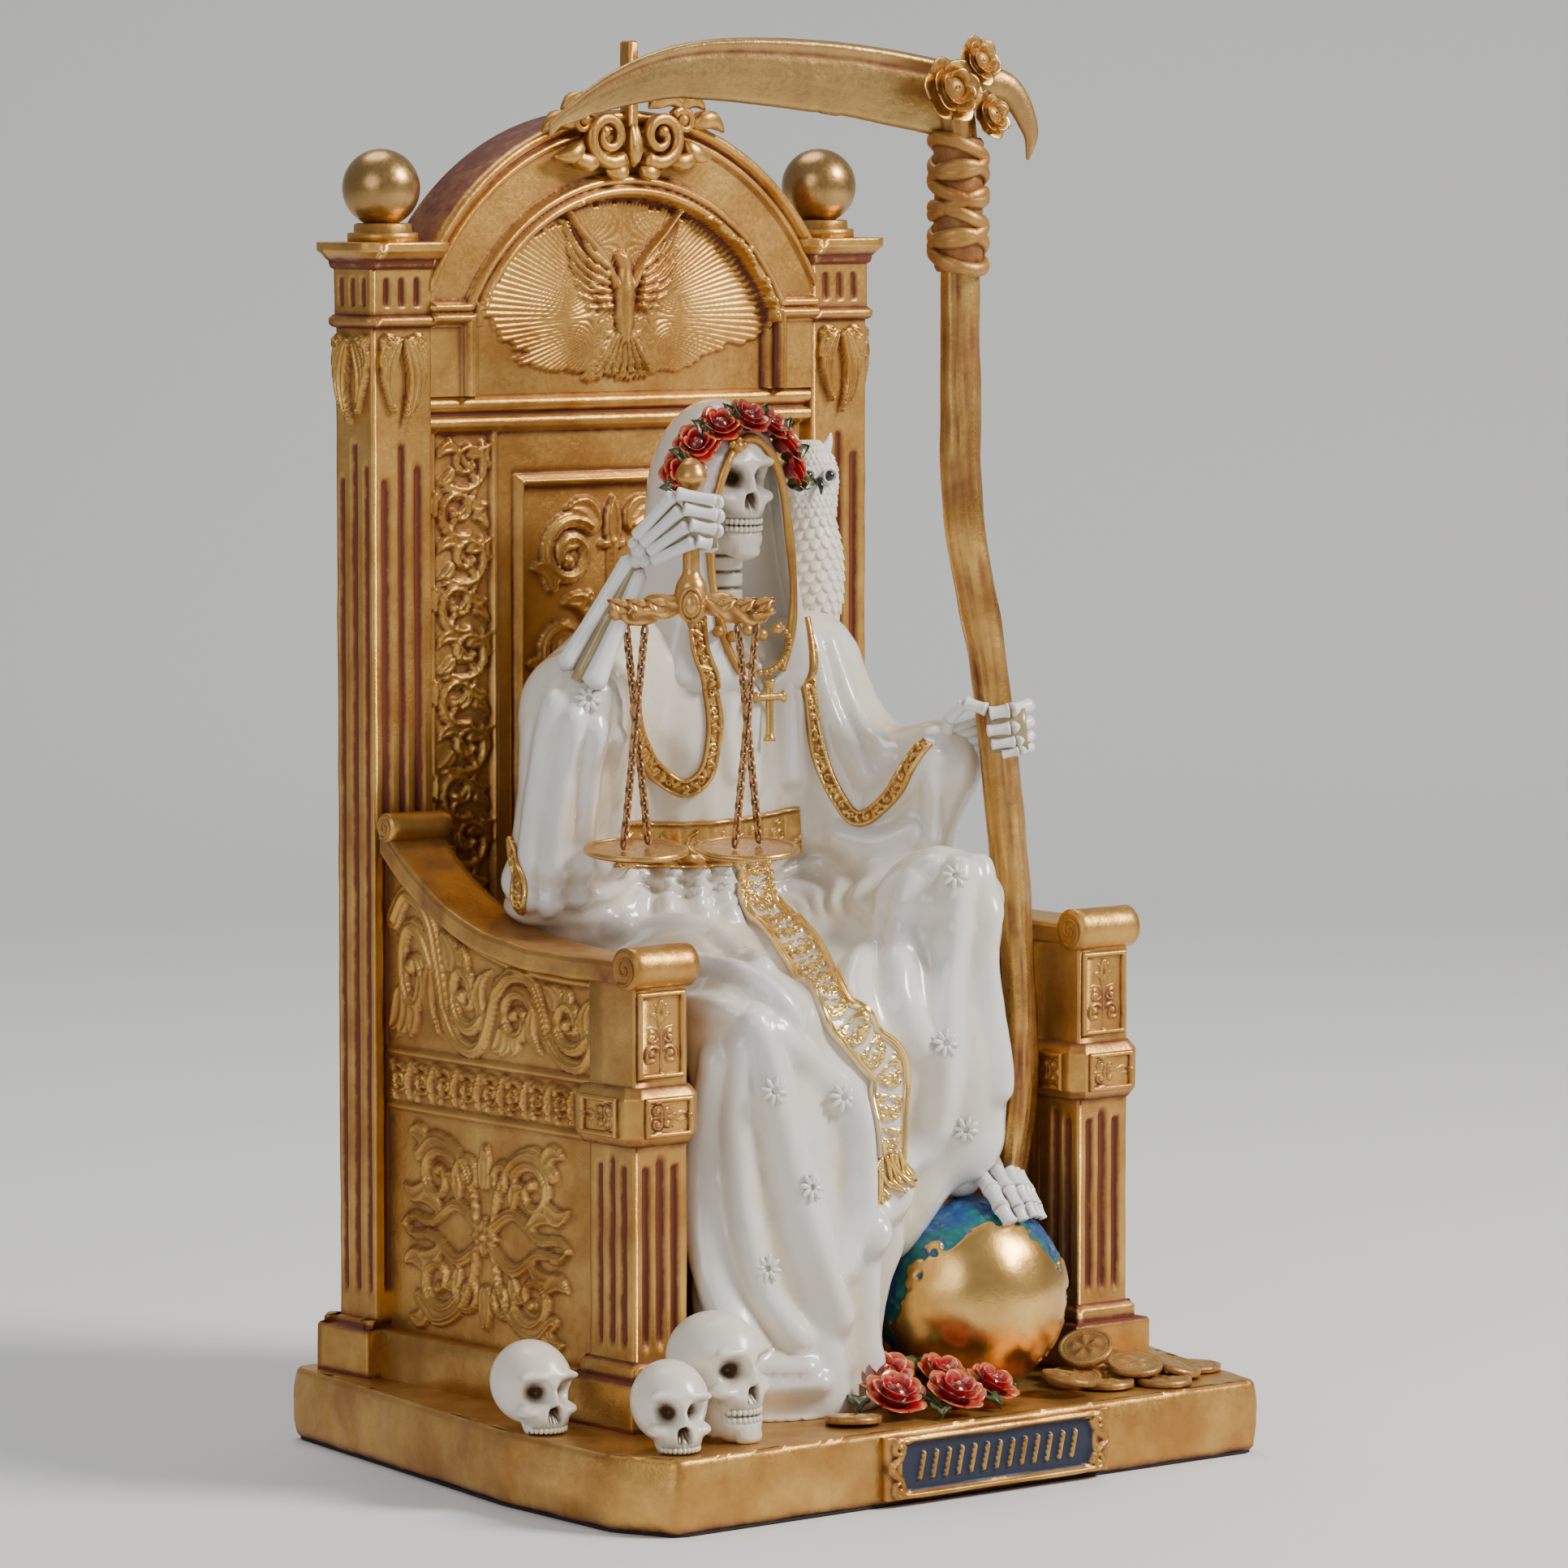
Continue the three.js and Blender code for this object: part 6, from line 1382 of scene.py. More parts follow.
def surface_net(low, high, step, field):
    """The surface where a field is zero: one point in each cell that it crosses, at the mean of its
    crossings with the cell's edges, and one square round each crossed edge of the grid."""
    axes = [np.arange(a, b + step, step, dtype=np.float32) for a, b in zip(low, high)]
    grid = np.stack(np.meshgrid(*axes, indexing="ij"), -1)
    value = field(grid)
    inside = value < 0
    size = np.array(value.shape)
    total = np.zeros((*(size - 1), 3))
    count = np.zeros(size - 1)
    crossed = []
    for axis in range(3):
        a = [slice(None)] * 3
        b = [slice(None)] * 3
        a[axis], b[axis] = slice(0, -1), slice(1, None)
        va, vb = value[tuple(a)], value[tuple(b)]
        cross = inside[tuple(a)] != inside[tuple(b)]
        t = np.where(cross, va / np.where(cross, va - vb, 1), 0)
        place = grid[tuple(a)] + (t * step)[..., None] * np.eye(3)[axis]
        others = [o for o in range(3) if o != axis]
        for s in (0, 1):
            for q in (0, 1):
                part = [slice(None)] * 3
                part[others[0]] = slice(s, size[others[0]] - 1 + s)
                part[others[1]] = slice(q, size[others[1]] - 1 + q)
                total += np.where(cross[tuple(part)][..., None], place[tuple(part)], 0)
                count += cross[tuple(part)]
        crossed.append((cross, inside[tuple(a)], others))
    active = count > 0
    index = np.full(active.shape, -1)
    index[active] = np.arange(active.sum())
    quads = []
    for axis, (cross, inner, others) in enumerate(crossed):
        at = np.argwhere(cross)
        keep = np.all([(at[:, o] > 0) & (at[:, o] < size[o] - 1) for o in others], axis=0)
        at = at[keep]
        e0, e1 = np.eye(3, dtype=int)[others[0]], np.eye(3, dtype=int)[others[1]]
        ring = [index[tuple((at - shift).T)] for shift in (e0 + e1, e1, 0 * e0, e0)]
        ring = np.stack(ring, -1)
        turn = inner[tuple(at.T)] == (axis == 1)
        quads.append(np.where(turn[:, None], ring[:, ::-1], ring))
    return total[active] / count[active][:, None], np.concatenate(quads)


def raised(points, lines):
    """The greatest, over all lines, of height times the square of 1 minus the squared share of width."""
    best = np.zeros(len(points))
    for line, width, height in lines:
        for a, b in zip(line[:-1], line[1:]):
            d = b - a
            t = clamp(((points - a) @ d) / max(d @ d, 1e-9))
            share = np.sum((points - a - t[:, None] * d) ** 2, axis=1) / width ** 2
            best = np.maximum(best, np.where(share < 1, height * (1 - share) ** 2, 0))
    return best


# Crests of the robe's folds as they are seen: [x, z] in the plane LAP, a width and a height
CRESTS = [([(-26.8, 101), (-22.6, 93.8), (-19.6, 81.4), (-14.7, 64.2), (-8.9, 46.8), (-1, 33)], 6.5, 3.0),
          ([(-30.3, 96), (-31.9, 83.6), (-31.3, 74), (-28.7, 56.2), (-23.4, 41), (-14, 29)], 5.5, 2.4),
          ([(-39, 93), (-42.5, 77.3), (-42.6, 59.3), (-37.3, 40.7), (-27, 27.8)], 6.0, 2.6),
          ([(-21.7, 98.8), (-10.5, 92.8), (0.1, 83.8), (4.9, 73.3), (4.2, 58.7), (1.3, 44.2)], 6.0, 2.2),
          ([(32.9, 132), (31.5, 117.3), (29.6, 94.3), (28.4, 82.4), (25.2, 71.6), (15.6, 59.5), (7, 49)],
           5.5, 2.6), ([(40.9, 132.4), (42.6, 116.5), (44.1, 97.9), (46.6, 80.9)], 5.5, 2.2),
          ([(18, 131), (14.4, 118.4), (16.8, 103.6), (22.8, 92.1)], 5.5, 2.0),
          ([(24, 134), (10, 126), (2, 112), (4, 100)], 5.0, 1.8),
          ([(-65.6, 125.6), (-49.7, 125.8), (-36, 121.8), (-24.5, 114.7)], 4.6, 2.0),
          ([(-45.2, 117.1), (-33.7, 114.5), (-22.2, 109.1), (-14, 100.4)], 4.6, 2.0),
          ([(-52, 108), (-40, 106.5), (-30, 103), (-24, 97)], 4.5, 1.6),
          ([(-58.8, 136), (-60.4, 128)], 3.4, 1.5), ([(-50.8, 136), (-51.5, 128.6)], 3.4, 1.5),
          ([(-42.4, 136), (-41.1, 127.2)], 3.4, 1.5), ([(-34.8, 136), (-32.6, 126.1)], 3.4, 1.5),
          ([(-40.9, 25), (-27.1, 24.5), (-12, 22)], 5.0, 2.4),
          ([(-36, 20.5), (-22, 19.5), (-8, 18.5)], 4.0, 2.2)]
# The same on the sleeves and the chest, in the plane CHEST
UPPER_CRESTS = [
    ([(-60, 172), (-64, 158), (-67, 142), (-68, 128)], 4.5, 1.9),
    ([(-54, 168), (-57, 152), (-59, 138), (-60, 126)], 4.5, 2.1),
    ([(-47, 165), (-49, 152), (-50, 138), (-52, 128)], 4.2, 1.9),
    ([(-40, 163), (-40, 150), (-42, 138)], 3.8, 1.6),
    ([(-8, 178), (-9, 166), (-8, 154)], 3.6, 1.3), ([(-2, 172), (-2, 160), (-2, 150)], 3.4, 1.2),
    ([(6, 176), (8, 164), (9, 152)], 3.6, 1.4), ([(14, 184), (21, 166), (30, 152)], 4.0, 1.7),
    ([(20, 182), (28, 166), (36, 156)], 4.0, 1.7), ([(34, 144), (42, 150), (50, 155)], 4.2, 1.6),
    ([(22, 138), (32, 136), (44, 138)], 4.4, 1.7), ([(48, 156), (50, 146), (50, 136)], 3.6, 1.5),
]
# The star flowers, in the plane LAP and the last in the plane CHEST
STARS = [(31.2, 129.3), (27.6, 92.6), (-22.2, 86.1), (-1.8, 82.6), (35.2, 72.0), (-13.1, 63.3),
         (-23.2, 46.0), (-49.6, 172.7)]


def robe_fold(p):
    """Hanging folds by angle low on the skirt, gathers under the belt and soft pleats over it."""
    h = p[:, 2] - BASE_TOP
    chest = smooth((h - 94) / 28)
    angle = np.arctan2(p[:, 0] - lerp(-10, 0, chest), -(p[:, 1] - lerp(-78, -32, chest)))
    hanging = smooth((88 - h) / 50) * size_of("fold") * np.cos(11 * angle + 0.03 * h + np.sin(3 * angle))
    gathers = bell(h - 116, 9) * 0.9 * np.cos(19 * angle)
    pleats = smooth((h - 132) / 10) * 0.5 * np.cos(9 * angle + 1)
    hem = 1.5 * bell(h - 5, 3.5) + 0.8 * bell(h - 11, 2.5)
    return hanging + gathers + pleats + hem * (0.6 + 0.4 * np.cos(6 * angle))


# The crests as lines on the body, found when the first cloth is draped
CREST_LINES = []


def drape(points):
    """How far the cloth stands out of the smooth body: hanging folds, the raised crests and a little
    noise."""
    if not CREST_LINES:
        for crests, plane in ((CRESTS, LAP), (UPPER_CRESTS, CHEST)):
            CREST_LINES.extend((curve(seen(p, plane), 12), w, 1.3 * r) for p, w, r in crests)
    flat = points.reshape(-1, 3)
    fold = (robe_fold(flat) + raised(flat, CREST_LINES) - 1.1 + 0.18 * noise(flat, 4.0, 3)
            + 0.35 * noise(flat, 14.0, 4))
    return fold.reshape(points.shape[:-1])


def robe():
    """The robe: the body's surface, moved out along its slope by the folds and cut level at the floor."""
    shape = Shape()
    floor = BASE_TOP + 0.05

    def cut(p):
        """The body above the floor."""
        return np.maximum(body_field(p), floor - p[..., 2])
    points, quads = surface_net((-72, -112, floor - 2), (56, -4, BASE_TOP + 178), 1.08, cut)
    low = points[:, 2] < floor + 0.6
    points = np.where(low[:, None], points, settle(points, body_field, 2))
    _, normal = slope(points, body_field)
    fold = drape(points)
    points = points + normal * (fold * smooth((points[:, 2] - floor) / 1.2))[:, None]
    points[:, 2] = np.maximum(points[:, 2], floor)
    points[:, 1] = np.clip(points[:, 1], throne_low[1] + 6, 2.6)
    # The robe darkens toward its fold shade colour where its folds lie low and stays pale on the crests: a
    # painted shade in the folds.
    shape.add(points, quads, np.zeros((0, 3), int), clamp(0.3 - 0.3 * fold))
    for k, place in enumerate(STARS):
        star(shape, seen([place], CHEST if k == len(STARS) - 1 else LAP)[0])
    shape.piece("robe", "robe", "robe", "figure")


def star(shape, centre):
    """Eight petals round a point, each a flattened tube that follows the robe."""
    _, normal = slope(centre[None], body_field)
    normal = normal[0]
    side = unit(np.cross(normal, Z))
    over = np.cross(side, normal)
    for k in range(8):
        a = k * TAU / 8 + 0.2
        direction = math.cos(a) * side + math.sin(a) * over
        t = np.linspace(0.22, 1, 7)
        path = (settle(centre + t[:, None] * 3.3 * direction, body_field, 2)
                + normal * (drape(centre[None])[0] + 0.35))
        shape.tube(swept(path, 0.15 + 0.5 * np.sin(math.pi * clamp(t * 0.9)), 8, up=normal), 0.1)


def hood():
    """The hood's shell and, along its opening, a gold cord that lies on it."""
    shape = Shape()
    points, quads = surface_net((-31, -54, BASE_TOP + HOOD_FOOT - 1), (31, -12, BASE_TOP + 223), 0.8,
                                hood_shell)
    # The inside of the hood gets more wash than its outside: a painted shade for the deep inside.
    shape.add(points, quads, np.zeros((0, 3), int), 0.1 + 0.2 * (hood_field(points) < -1.2))
    shape.piece("hood", "robe", "robe", "figure")
    rim = Shape()
    t = np.linspace(math.radians(-58), math.radians(238), 120)
    x = OPENING[0] + OPENING[2] * np.cos(t)
    z = BASE_TOP + OPENING[1] + OPENING[3] * np.sin(t)
    path = np.stack([x, np.full_like(x, -50.0), z], -1)
    for _ in range(12):
        path[:, 1] += hood_field(path) * 0.8
    rim.tube(swept(path, 1.0 + 0.12 * np.sin(9 * t), 12, up=Y), 0.15)
    knot = path[len(path) // 2 + 8]
    for dx, dz, r in ((0, 0, 1.5), (-1.7, 0.6, 1.0), (1.6, 0.3, 1.0), (0, 1.4, 1.1)):
        sphere(rim, knot + [dx, -0.8, dz], r, 12, 16, 0.15)
    rim.piece("hood_rim", "gilt", "gilt", "figure")


def even(path, step):
    """The same path with points at equal distances."""
    dense = curve(path, 400)
    s = np.concatenate([[0], np.cumsum(np.linalg.norm(np.diff(dense, axis=0), axis=1))])
    at = np.linspace(0, s[-1], max(4, int(s[-1] / step)))
    return at, np.stack([np.interp(at, s, dense[:, k]) for k in range(3)], -1)


def band(shape, path, width, field, ornament, lift=0.5, height=None, step=0.28, white=False, widen=None):
    """A strip along a path on a surface: each point across it is settled on that surface, follows the
    robe's folds and is lifted by the strip's relief. A white one has only its edges and ornament in gold."""
    height = height or size_of("trim")
    s, line = even(path, step)
    _, normal = slope(line, field)
    side = unit(np.cross(unit(np.gradient(line, axis=0)), normal))
    rows = np.linspace(-0.5, 0.5, max(7, int(width / step)))
    wide = width * (np.ones(len(s)) if widen is None else widen(s / s[-1]))
    grid = line[None] + (rows[:, None] * wide[None])[..., None] * side[None]
    grid = settle(grid, field, 3)
    _, out = slope(grid, field)
    over = drape(grid) * smooth(1 - body_field(grid) / 0.8)
    v = rows[:, None] * wide[None]
    strokes = ornament(s[-1], width)
    strokes = [(p + [s[-1] / 2, 0], w, r, k) for p, w, r, k in strokes]
    relief = emboss(s, v, strokes, height)
    edge = wide[None] / 2 - np.abs(v)
    lines = sum(height * 1.1 * dome(edge - c, 0.42) for c in (0.45, 1.25)[:1 + white])
    relief = np.maximum(relief, lines)
    top = grid + out * (lift + over + relief)[..., None]
    gold = (relief > 0.18 * height) if white else np.ones(relief.shape)
    shape.shell(top, grid + out * (over - 1.6)[..., None], hollow_wash(relief, 3, 0.9, 0.2), gold)


def small_scrolls(length, width):
    """A row of little spirals, turned alternately, with a leaf between them."""
    pitch = width * 0.95
    count = max(2, int(length / pitch))
    pitch = length / count
    strokes = []
    for i in range(count):
        x = (i + 0.5) * pitch - length / 2
        turn = 1 if i % 2 else -1
        strokes += spiral(x, 0, width * 0.26, turn * 1.5, turn * 1.1, 0.36, 1.0, 14, 0.2, False)
        strokes.append(petal(x + pitch * 0.3, -turn * width * 0.26, x + pitch * 0.62, turn * width * 0.22,
                             0.42, 0.2))
    return strokes


def sash_glyphs(length, width):
    """Hearts of two facing scrolls with leaves, one above another."""
    count = int(length / 7.0)
    pitch = length / count
    strokes = []
    for i in range(count):
        x = (i + 0.5) * pitch - length / 2
        half = spiral(0.6, width * 0.15, 1.5, -0.6, 1.2, 0.5, 1.0, 16, 0.25, False)
        half += [petal(-2.4, 0.2, 0.4, width * 0.3, 0.62, 0.3),
                 petal(-3.0, width * 0.28, -0.9, width * 0.2, 0.55, 0.3),
                 petal(-0.6, 0.1, 3.0, 0.5, 0.5, 0.0)]
        strokes += [s for sv in (1, -1) for s in flipped(half, 1, sv, x, 0)]
    return strokes


# The sash as it is seen, in the plane LAP
SASH = [(-28.5, 139), (-26.3, 134.9), (-17.5, 122), (-11.2, 114.3), (-4.4, 104), (6.5, 93.5), (12.5, 87.7),
        (12, 76.7), (11.5, 67.8)]


def trims():
    """The gold bands of hood, chest, waist and sleeve, and the sash with its tassel."""
    shape = Shape()
    left = seen([(12.4, 188), (14, 172), (16.7, 157), (22, 146.5), (28.8, 141.5), (39, 147), (49, 158)],
                CHEST, dress_field)
    band(shape, left, 3.6, dress_field, small_scrolls)
    loop = seen([(-19, 190), (-18, 182), (-15, 173), (-13.6, 164), (-16, 154.5), (-22.5, 151), (-30, 155),
                 (-34.5, 164), (-36, 171)], CHEST, dress_field)
    band(shape, loop, 4.2, dress_field, small_scrolls)
    waist = seen([(-41.7, 139.8), (-32.7, 139.1), (-18.8, 138.2), (-4.7, 138.5), (11.2, 139.9)], CHEST)
    band(shape, waist, 10.6, body_field, small_scrolls, lift=0.7, height=1.1)
    patch = seen([(-73, 143), (-71, 137), (-69, 131), (-68.5, 126)], CHEST)
    band(shape, patch, 4.6, body_field, small_scrolls, widen=lambda t: 0.35 + 0.65 * np.sin(math.pi * t))
    shape.piece("robe_trims", "trim", "gilt", "figure")
    sash = Shape()
    path = seen(SASH, LAP)
    band(sash, path, 11.0, body_field, sash_glyphs, lift=0.7, height=1.0, white=True,
         widen=lambda t: lerp(0.8, 1.1, t) + 0.06 * np.sin(9 * t))
    end = seen([(11.5, 67.8), (12.4, 64), (13.7, 59.5)], LAP)
    _, normal = slope(end, body_field)
    side = unit(np.cross(end[-1] - end[0], normal[0]))
    for k in range(15):
        offset = (k - 7) * 0.8
        wave = 0.35 * np.sin(np.linspace(0, 5, 12) + k * 1.7)
        strand = curve(end, 12) + side * (offset * np.linspace(1, 1.15, 12) + wave)[:, None]
        strand = settle(strand, body_field, 2)
        strand = strand + normal[0] * (drape(strand) + 0.9 - 0.3 * (k % 2))[:, None]
        sash.tube(swept(strand[: 12 - k % 3], 0.55, 8, up=normal[0]), 0.3 * (k % 2), 1.0)
    sash.piece("sash", "sash", "robe", "figure")


# Bones

# Ellipsoids, each a centre and three half sizes in parts of the skull's radius
SKULL_FORMS = [
    ((0, 0.16, 0.16), (0.84, 1.04, 0.92)), ((0, -0.42, -0.48), (0.53, 0.5, 0.66)),
    ((0.46, -0.48, -0.36), (0.27, 0.3, 0.15)), ((-0.46, -0.48, -0.36), (0.27, 0.3, 0.15)),
    ((0.36, -0.62, 0.36), (0.36, 0.22, 0.12)), ((-0.36, -0.62, 0.36), (0.36, 0.22, 0.12)),
    ((0, -0.80, -0.12), (0.12, 0.16, 0.22)),
]
JAW_FORMS = [((0, -0.42, -1.02), (0.5, 0.46, 0.4)), ((0, -0.72, -1.22), (0.3, 0.2, 0.18)),
             ((0.42, -0.14, -0.92), (0.14, 0.26, 0.36)), ((-0.42, -0.14, -0.92), (0.14, 0.26, 0.36))]
# Hollows: a direction, a width across and up, and a depth
HOLLOWS = [((0.46, -0.88, 0.04), 0.32, 0.29, 0.48), ((-0.46, -0.88, 0.04), 0.32, 0.29, 0.48),
           ((0.07, -0.9, -0.46), 0.085, 0.16, 0.26), ((-0.07, -0.9, -0.46), 0.085, 0.16, 0.26),
           ((0, -0.93, -0.36), 0.07, 0.11, 0.22)]


def form_reach(d, centre, size):
    """How far along each direction the far side of an ellipsoid lies, or nearly nothing where it is
    missed."""
    c, s = np.array(centre), np.array(size)
    a = np.sum((d / s) ** 2, -1)
    b = np.sum(d * c / s ** 2, -1)
    k = np.sum((c / s) ** 2) - 1
    root = b ** 2 - a * k
    return np.where((root > 0) & (b + np.sqrt(np.maximum(root, 0)) > 0),
                    (b + np.sqrt(np.maximum(root, 0))) / a, 0.01)


def turn_about(points, yaw, pitch):
    """Turns points to the left by yaw and then nods them forward by pitch, in degrees."""
    c, s = math.cos(math.radians(pitch)), math.sin(math.radians(pitch))
    nod = np.array([[1, 0, 0], [0, c, s], [0, -s, c]])
    c, s = math.cos(math.radians(yaw)), math.sin(math.radians(yaw))
    return points @ nod @ np.array([[c, s, 0], [-s, c, 0], [0, 0, 1]])


def skull(shape, centre, radius, yaw, pitch, jaw=None, rows=96, sides=130, floor=None):
    """Along each direction the 16th root of the summed 16th powers of the forms' reach, less the hollows.
    The jaw, where there is one, hangs lower by that share of the radius."""
    d = directions(rows, sides)
    forms = SKULL_FORMS + ([] if jaw is None else [((x, y, z - jaw), size) for (x, y, z), size in JAW_FORMS])
    teeth = -0.765 - 0.42 * (jaw or 0)
    reach = np.maximum(np.sum([form_reach(d, *form) ** 16 for form in forms], axis=0) ** (1 / 16), 0.55)
    dark = np.zeros(reach.shape)
    for direction, across, up, depth in HOLLOWS:
        off = d - unit(direction)
        share = np.exp(-((np.hypot(off[..., 0], off[..., 1] * 0.6) / across) ** 2
                         + (off[..., 2] / up) ** 2) ** 2)
        reach = reach - depth * share
        dark = np.maximum(dark, share)
    for side in (1, -1):
        reach = reach - 0.08 * np.exp(-np.sum((d - unit((side * 0.88, -0.4, -0.06))) ** 2, -1) / 0.09)
    p = d * reach[..., None]
    mouth = bell(p[..., 2] - teeth + 0.075, 0.13) * (p[..., 1] < -0.45) * (np.abs(p[..., 0]) < 0.44)
    seam = 0.3 * bell(p[..., 2] - teeth - 0.165, 0.12) * (p[..., 1] < -0.4)
    wash = clamp(1.3 * dark + 0.8 * mouth + seam + 0.12 + 0.2 * noise(p, 0.5, 7))
    p = p - (0.06 * mouth)[..., None] * unit(p)

    def placed(q):
        """Turned, moved and kept above the floor."""
        world = turn_about(q * radius, yaw, pitch) + np.asarray(centre, float)
        if floor is not None:
            world[..., 2] = np.maximum(world[..., 2], floor)
        return world
    shape.tube(placed(p), wash)
    ball = directions(7, 10, 0.1)
    edge = 0.15 + 0.55 * (np.abs(ball[..., 2]) > 0.75)
    for z, depth in [(teeth, 0.455), (teeth - 0.155, 0.455)][: 1 + (jaw is not None)]:
        for angle in np.radians(13.0 * np.arange(-5, 6)):
            tooth = np.array([0.45 * math.sin(angle), -0.40 - depth * math.cos(angle), z])
            shape.tube(placed(tooth + ball * [0.058, 0.055, 0.078]), edge)


def bone(shape, a, b, ra, rb=None, knob=0.3, wash=0.12, flat=1.0):
    """A bone: a tube that is thicker towards both ends, which are rounded and darker."""
    a, b = np.asarray(a, float), np.asarray(b, float)
    t = np.linspace(0, 1, 20)
    edge = np.abs(2 * t - 1)
    r = lerp(ra, ra if rb is None else rb, t) * (0.84 + knob * edge ** 3)
    r = r * np.sqrt(1 - 0.97 * clamp((edge - 0.84) / 0.16) ** 2)
    up = Z if abs(unit(b - a)[2]) < 0.9 else X
    grid = swept(a + t[:, None] * (b - a), r, 16, up=up, flat=flat)
    ends = 0.45 * clamp((edge - 0.86) / 0.14)
    shape.tube(grid, wash + ends[:, None] + 0.1 * noise(grid, 2.0, 5))


def by_view(origin):
    """Places given as millimetres to the right and towards the viewer, with an absolute height."""
    origin = np.asarray(origin, float)

    def place(right, toward, z):
        """The place in the shared frame."""
        return np.array([*(origin[:2] + RIGHT[:2] * right + TOWARD[:2] * toward / 0.996), z])
    return place


def right_hand(shape):
    """Four hand bones from the wrist to the knuckles, fingers round the handle and two bones of the
    forearm."""
    at = by_view(HANDLE)
    rows = zip([(-12.6, 208.4), (-11.1, 206.9), (-9.6, 205.1), (-8.9, 203.2)],
               [(-3.5, 218.6), (-1.9, 215.2), (-0.4, 211.7), (1.1, 208.1)],
               [(6.3, 216.8), (6.5, 213.7), (6.2, 210.5), (5.0, 207.3)])
    for (r0, z0), (r1, z1), (r2, z2) in rows:
        bone(shape, at(r0, 0.4, z0), at(r1, 4.6, z1), 1.45, 1.6)
        bone(shape, at(r1, 4.8, z1), at(r2 - 0.5, 3.9, z2), 1.6, 1.5)
        bone(shape, at(r2 - 0.5, 3.9, z2), at(r2 - 0.4, -1.6, z2 - 0.8), 1.5, 1.4)
        bone(shape, at(r2 - 0.4, -1.6, z2 - 0.8), at(0.6, -4.2, z2 - 1.4), 1.4, 1.2)
    bone(shape, at(-8.6, -2.4, 205.0), at(-0.6, -5.0, 212.6), 1.6, 1.4)
    web = np.array([at(-11.2, -1.0, 205.6), at(-6.2, 1.2, 209.6), at(-1.0, 3.4, 213.4)])
    shape.tube(swept(web, [2.4, 4.4, 5.6], 20, up=TOWARD, flat=0.2), 0.8)
    web = np.array([at(2.6, 3.4, 206.4), at(2.4, 3.7, 212), at(1.6, 3.6, 218)])
    shape.tube(swept(web, 3.4, 20, up=TOWARD, flat=0.3), 0.8)
    for right, z, r in ((-11.6, 205.6, 1.9), (-10.3, 203.4, 1.7), (-12.7, 207.2, 1.4), (-12.2, 203.4, 1.7)):
        sphere(shape, at(right, -0.2, z), r, 14, 18, 0.3)
    heels = seen([(-54.2, 178.9), (-46.3, 174.2)], -46)
    ends = np.array([at(-13.2, -0.6, 204.8), at(-10.8, -0.6, 201.8)])
    for heel, end, r in zip(heels, ends, (2.4, 3.2)):
        bone(shape, heel - TOWARD * 1.2, end, r, 1.9, 0.16)
    groove = lerp(heels.mean(0), ends.mean(0), np.linspace(0, 1, 12)[:, None]) - TOWARD * 0.4
    shape.tube(swept(groove, 1.4, 10, up=X), 0.8)


def left_hand(shape):
    """Fingers closed round the shaft from the wrist, each of four bones, and the thumb over it."""
    at = by_view((42.2, -82.0))
    wrist = at(-11.4, -2.6, 160.3)
    rows = zip([(-1.9, 167.2), (-2.5, 163.3), (-1.5, 160.2), (1.0, 157.9)],
               [(2.9, 168.0), (3.1, 164.0), (4.3, 160.9), (5.0, 158.8)],
               [(7.2, 168.7), (7.4, 165.0), (7.7, 161.9), (7.8, 159.4)], (1.75, 1.55, 1.35, 1.15))
    for k, ((r0, z0), (r1, z1), (r2, z2), r) in enumerate(rows):
        bone(shape, at(r0, 6.0, z0), at(r1, 6.2, z1), r * 0.95, r)
        bone(shape, at(r1, 6.2, z1), at(r2, 2.0, z2), r, r)
        bone(shape, at(r2, 2.0, z2), at(4.6, -5.8, z2 - 0.8), r, r * 0.9)
        bone(shape, at(4.6, -5.8, z2 - 0.8), wrist + Z * (2.4 - 1.5 * k), r * 0.9, 1.4)
    web = np.array([at(2.8, 5.0, 158.6), at(2.4, 5.2, 163), at(2.0, 5.2, 168)])
    shape.tube(swept(web, 4.4, 20, up=TOWARD, flat=0.25), 0.8)
    thumb = [wrist + Z, at(-10.9, 1.4, 165.6), at(-7.2, 4.2, 169.5), at(-2.2, 6.0, 168.1)]
    for a, b, r in zip(thumb, thumb[1:], (1.7, 1.65, 1.7)):
        bone(shape, a, b, r, r * 0.94)
    for right, z, r in ((-11.0, 160.6, 2.0), (-9.6, 158.4, 1.7), (-11.6, 162.6, 1.6), (-8.6, 156.4, 1.6)):
        sphere(shape, at(right, -1.8, z), r, 14, 18, 0.3)
    bone(shape, wrist, (35.0, -70.0, 154.5), 2.3, 2.8)
    bone(shape, wrist + [1.5, 0, -2.6], (37.6, -69.0, 151.5), 2.1, 2.6)


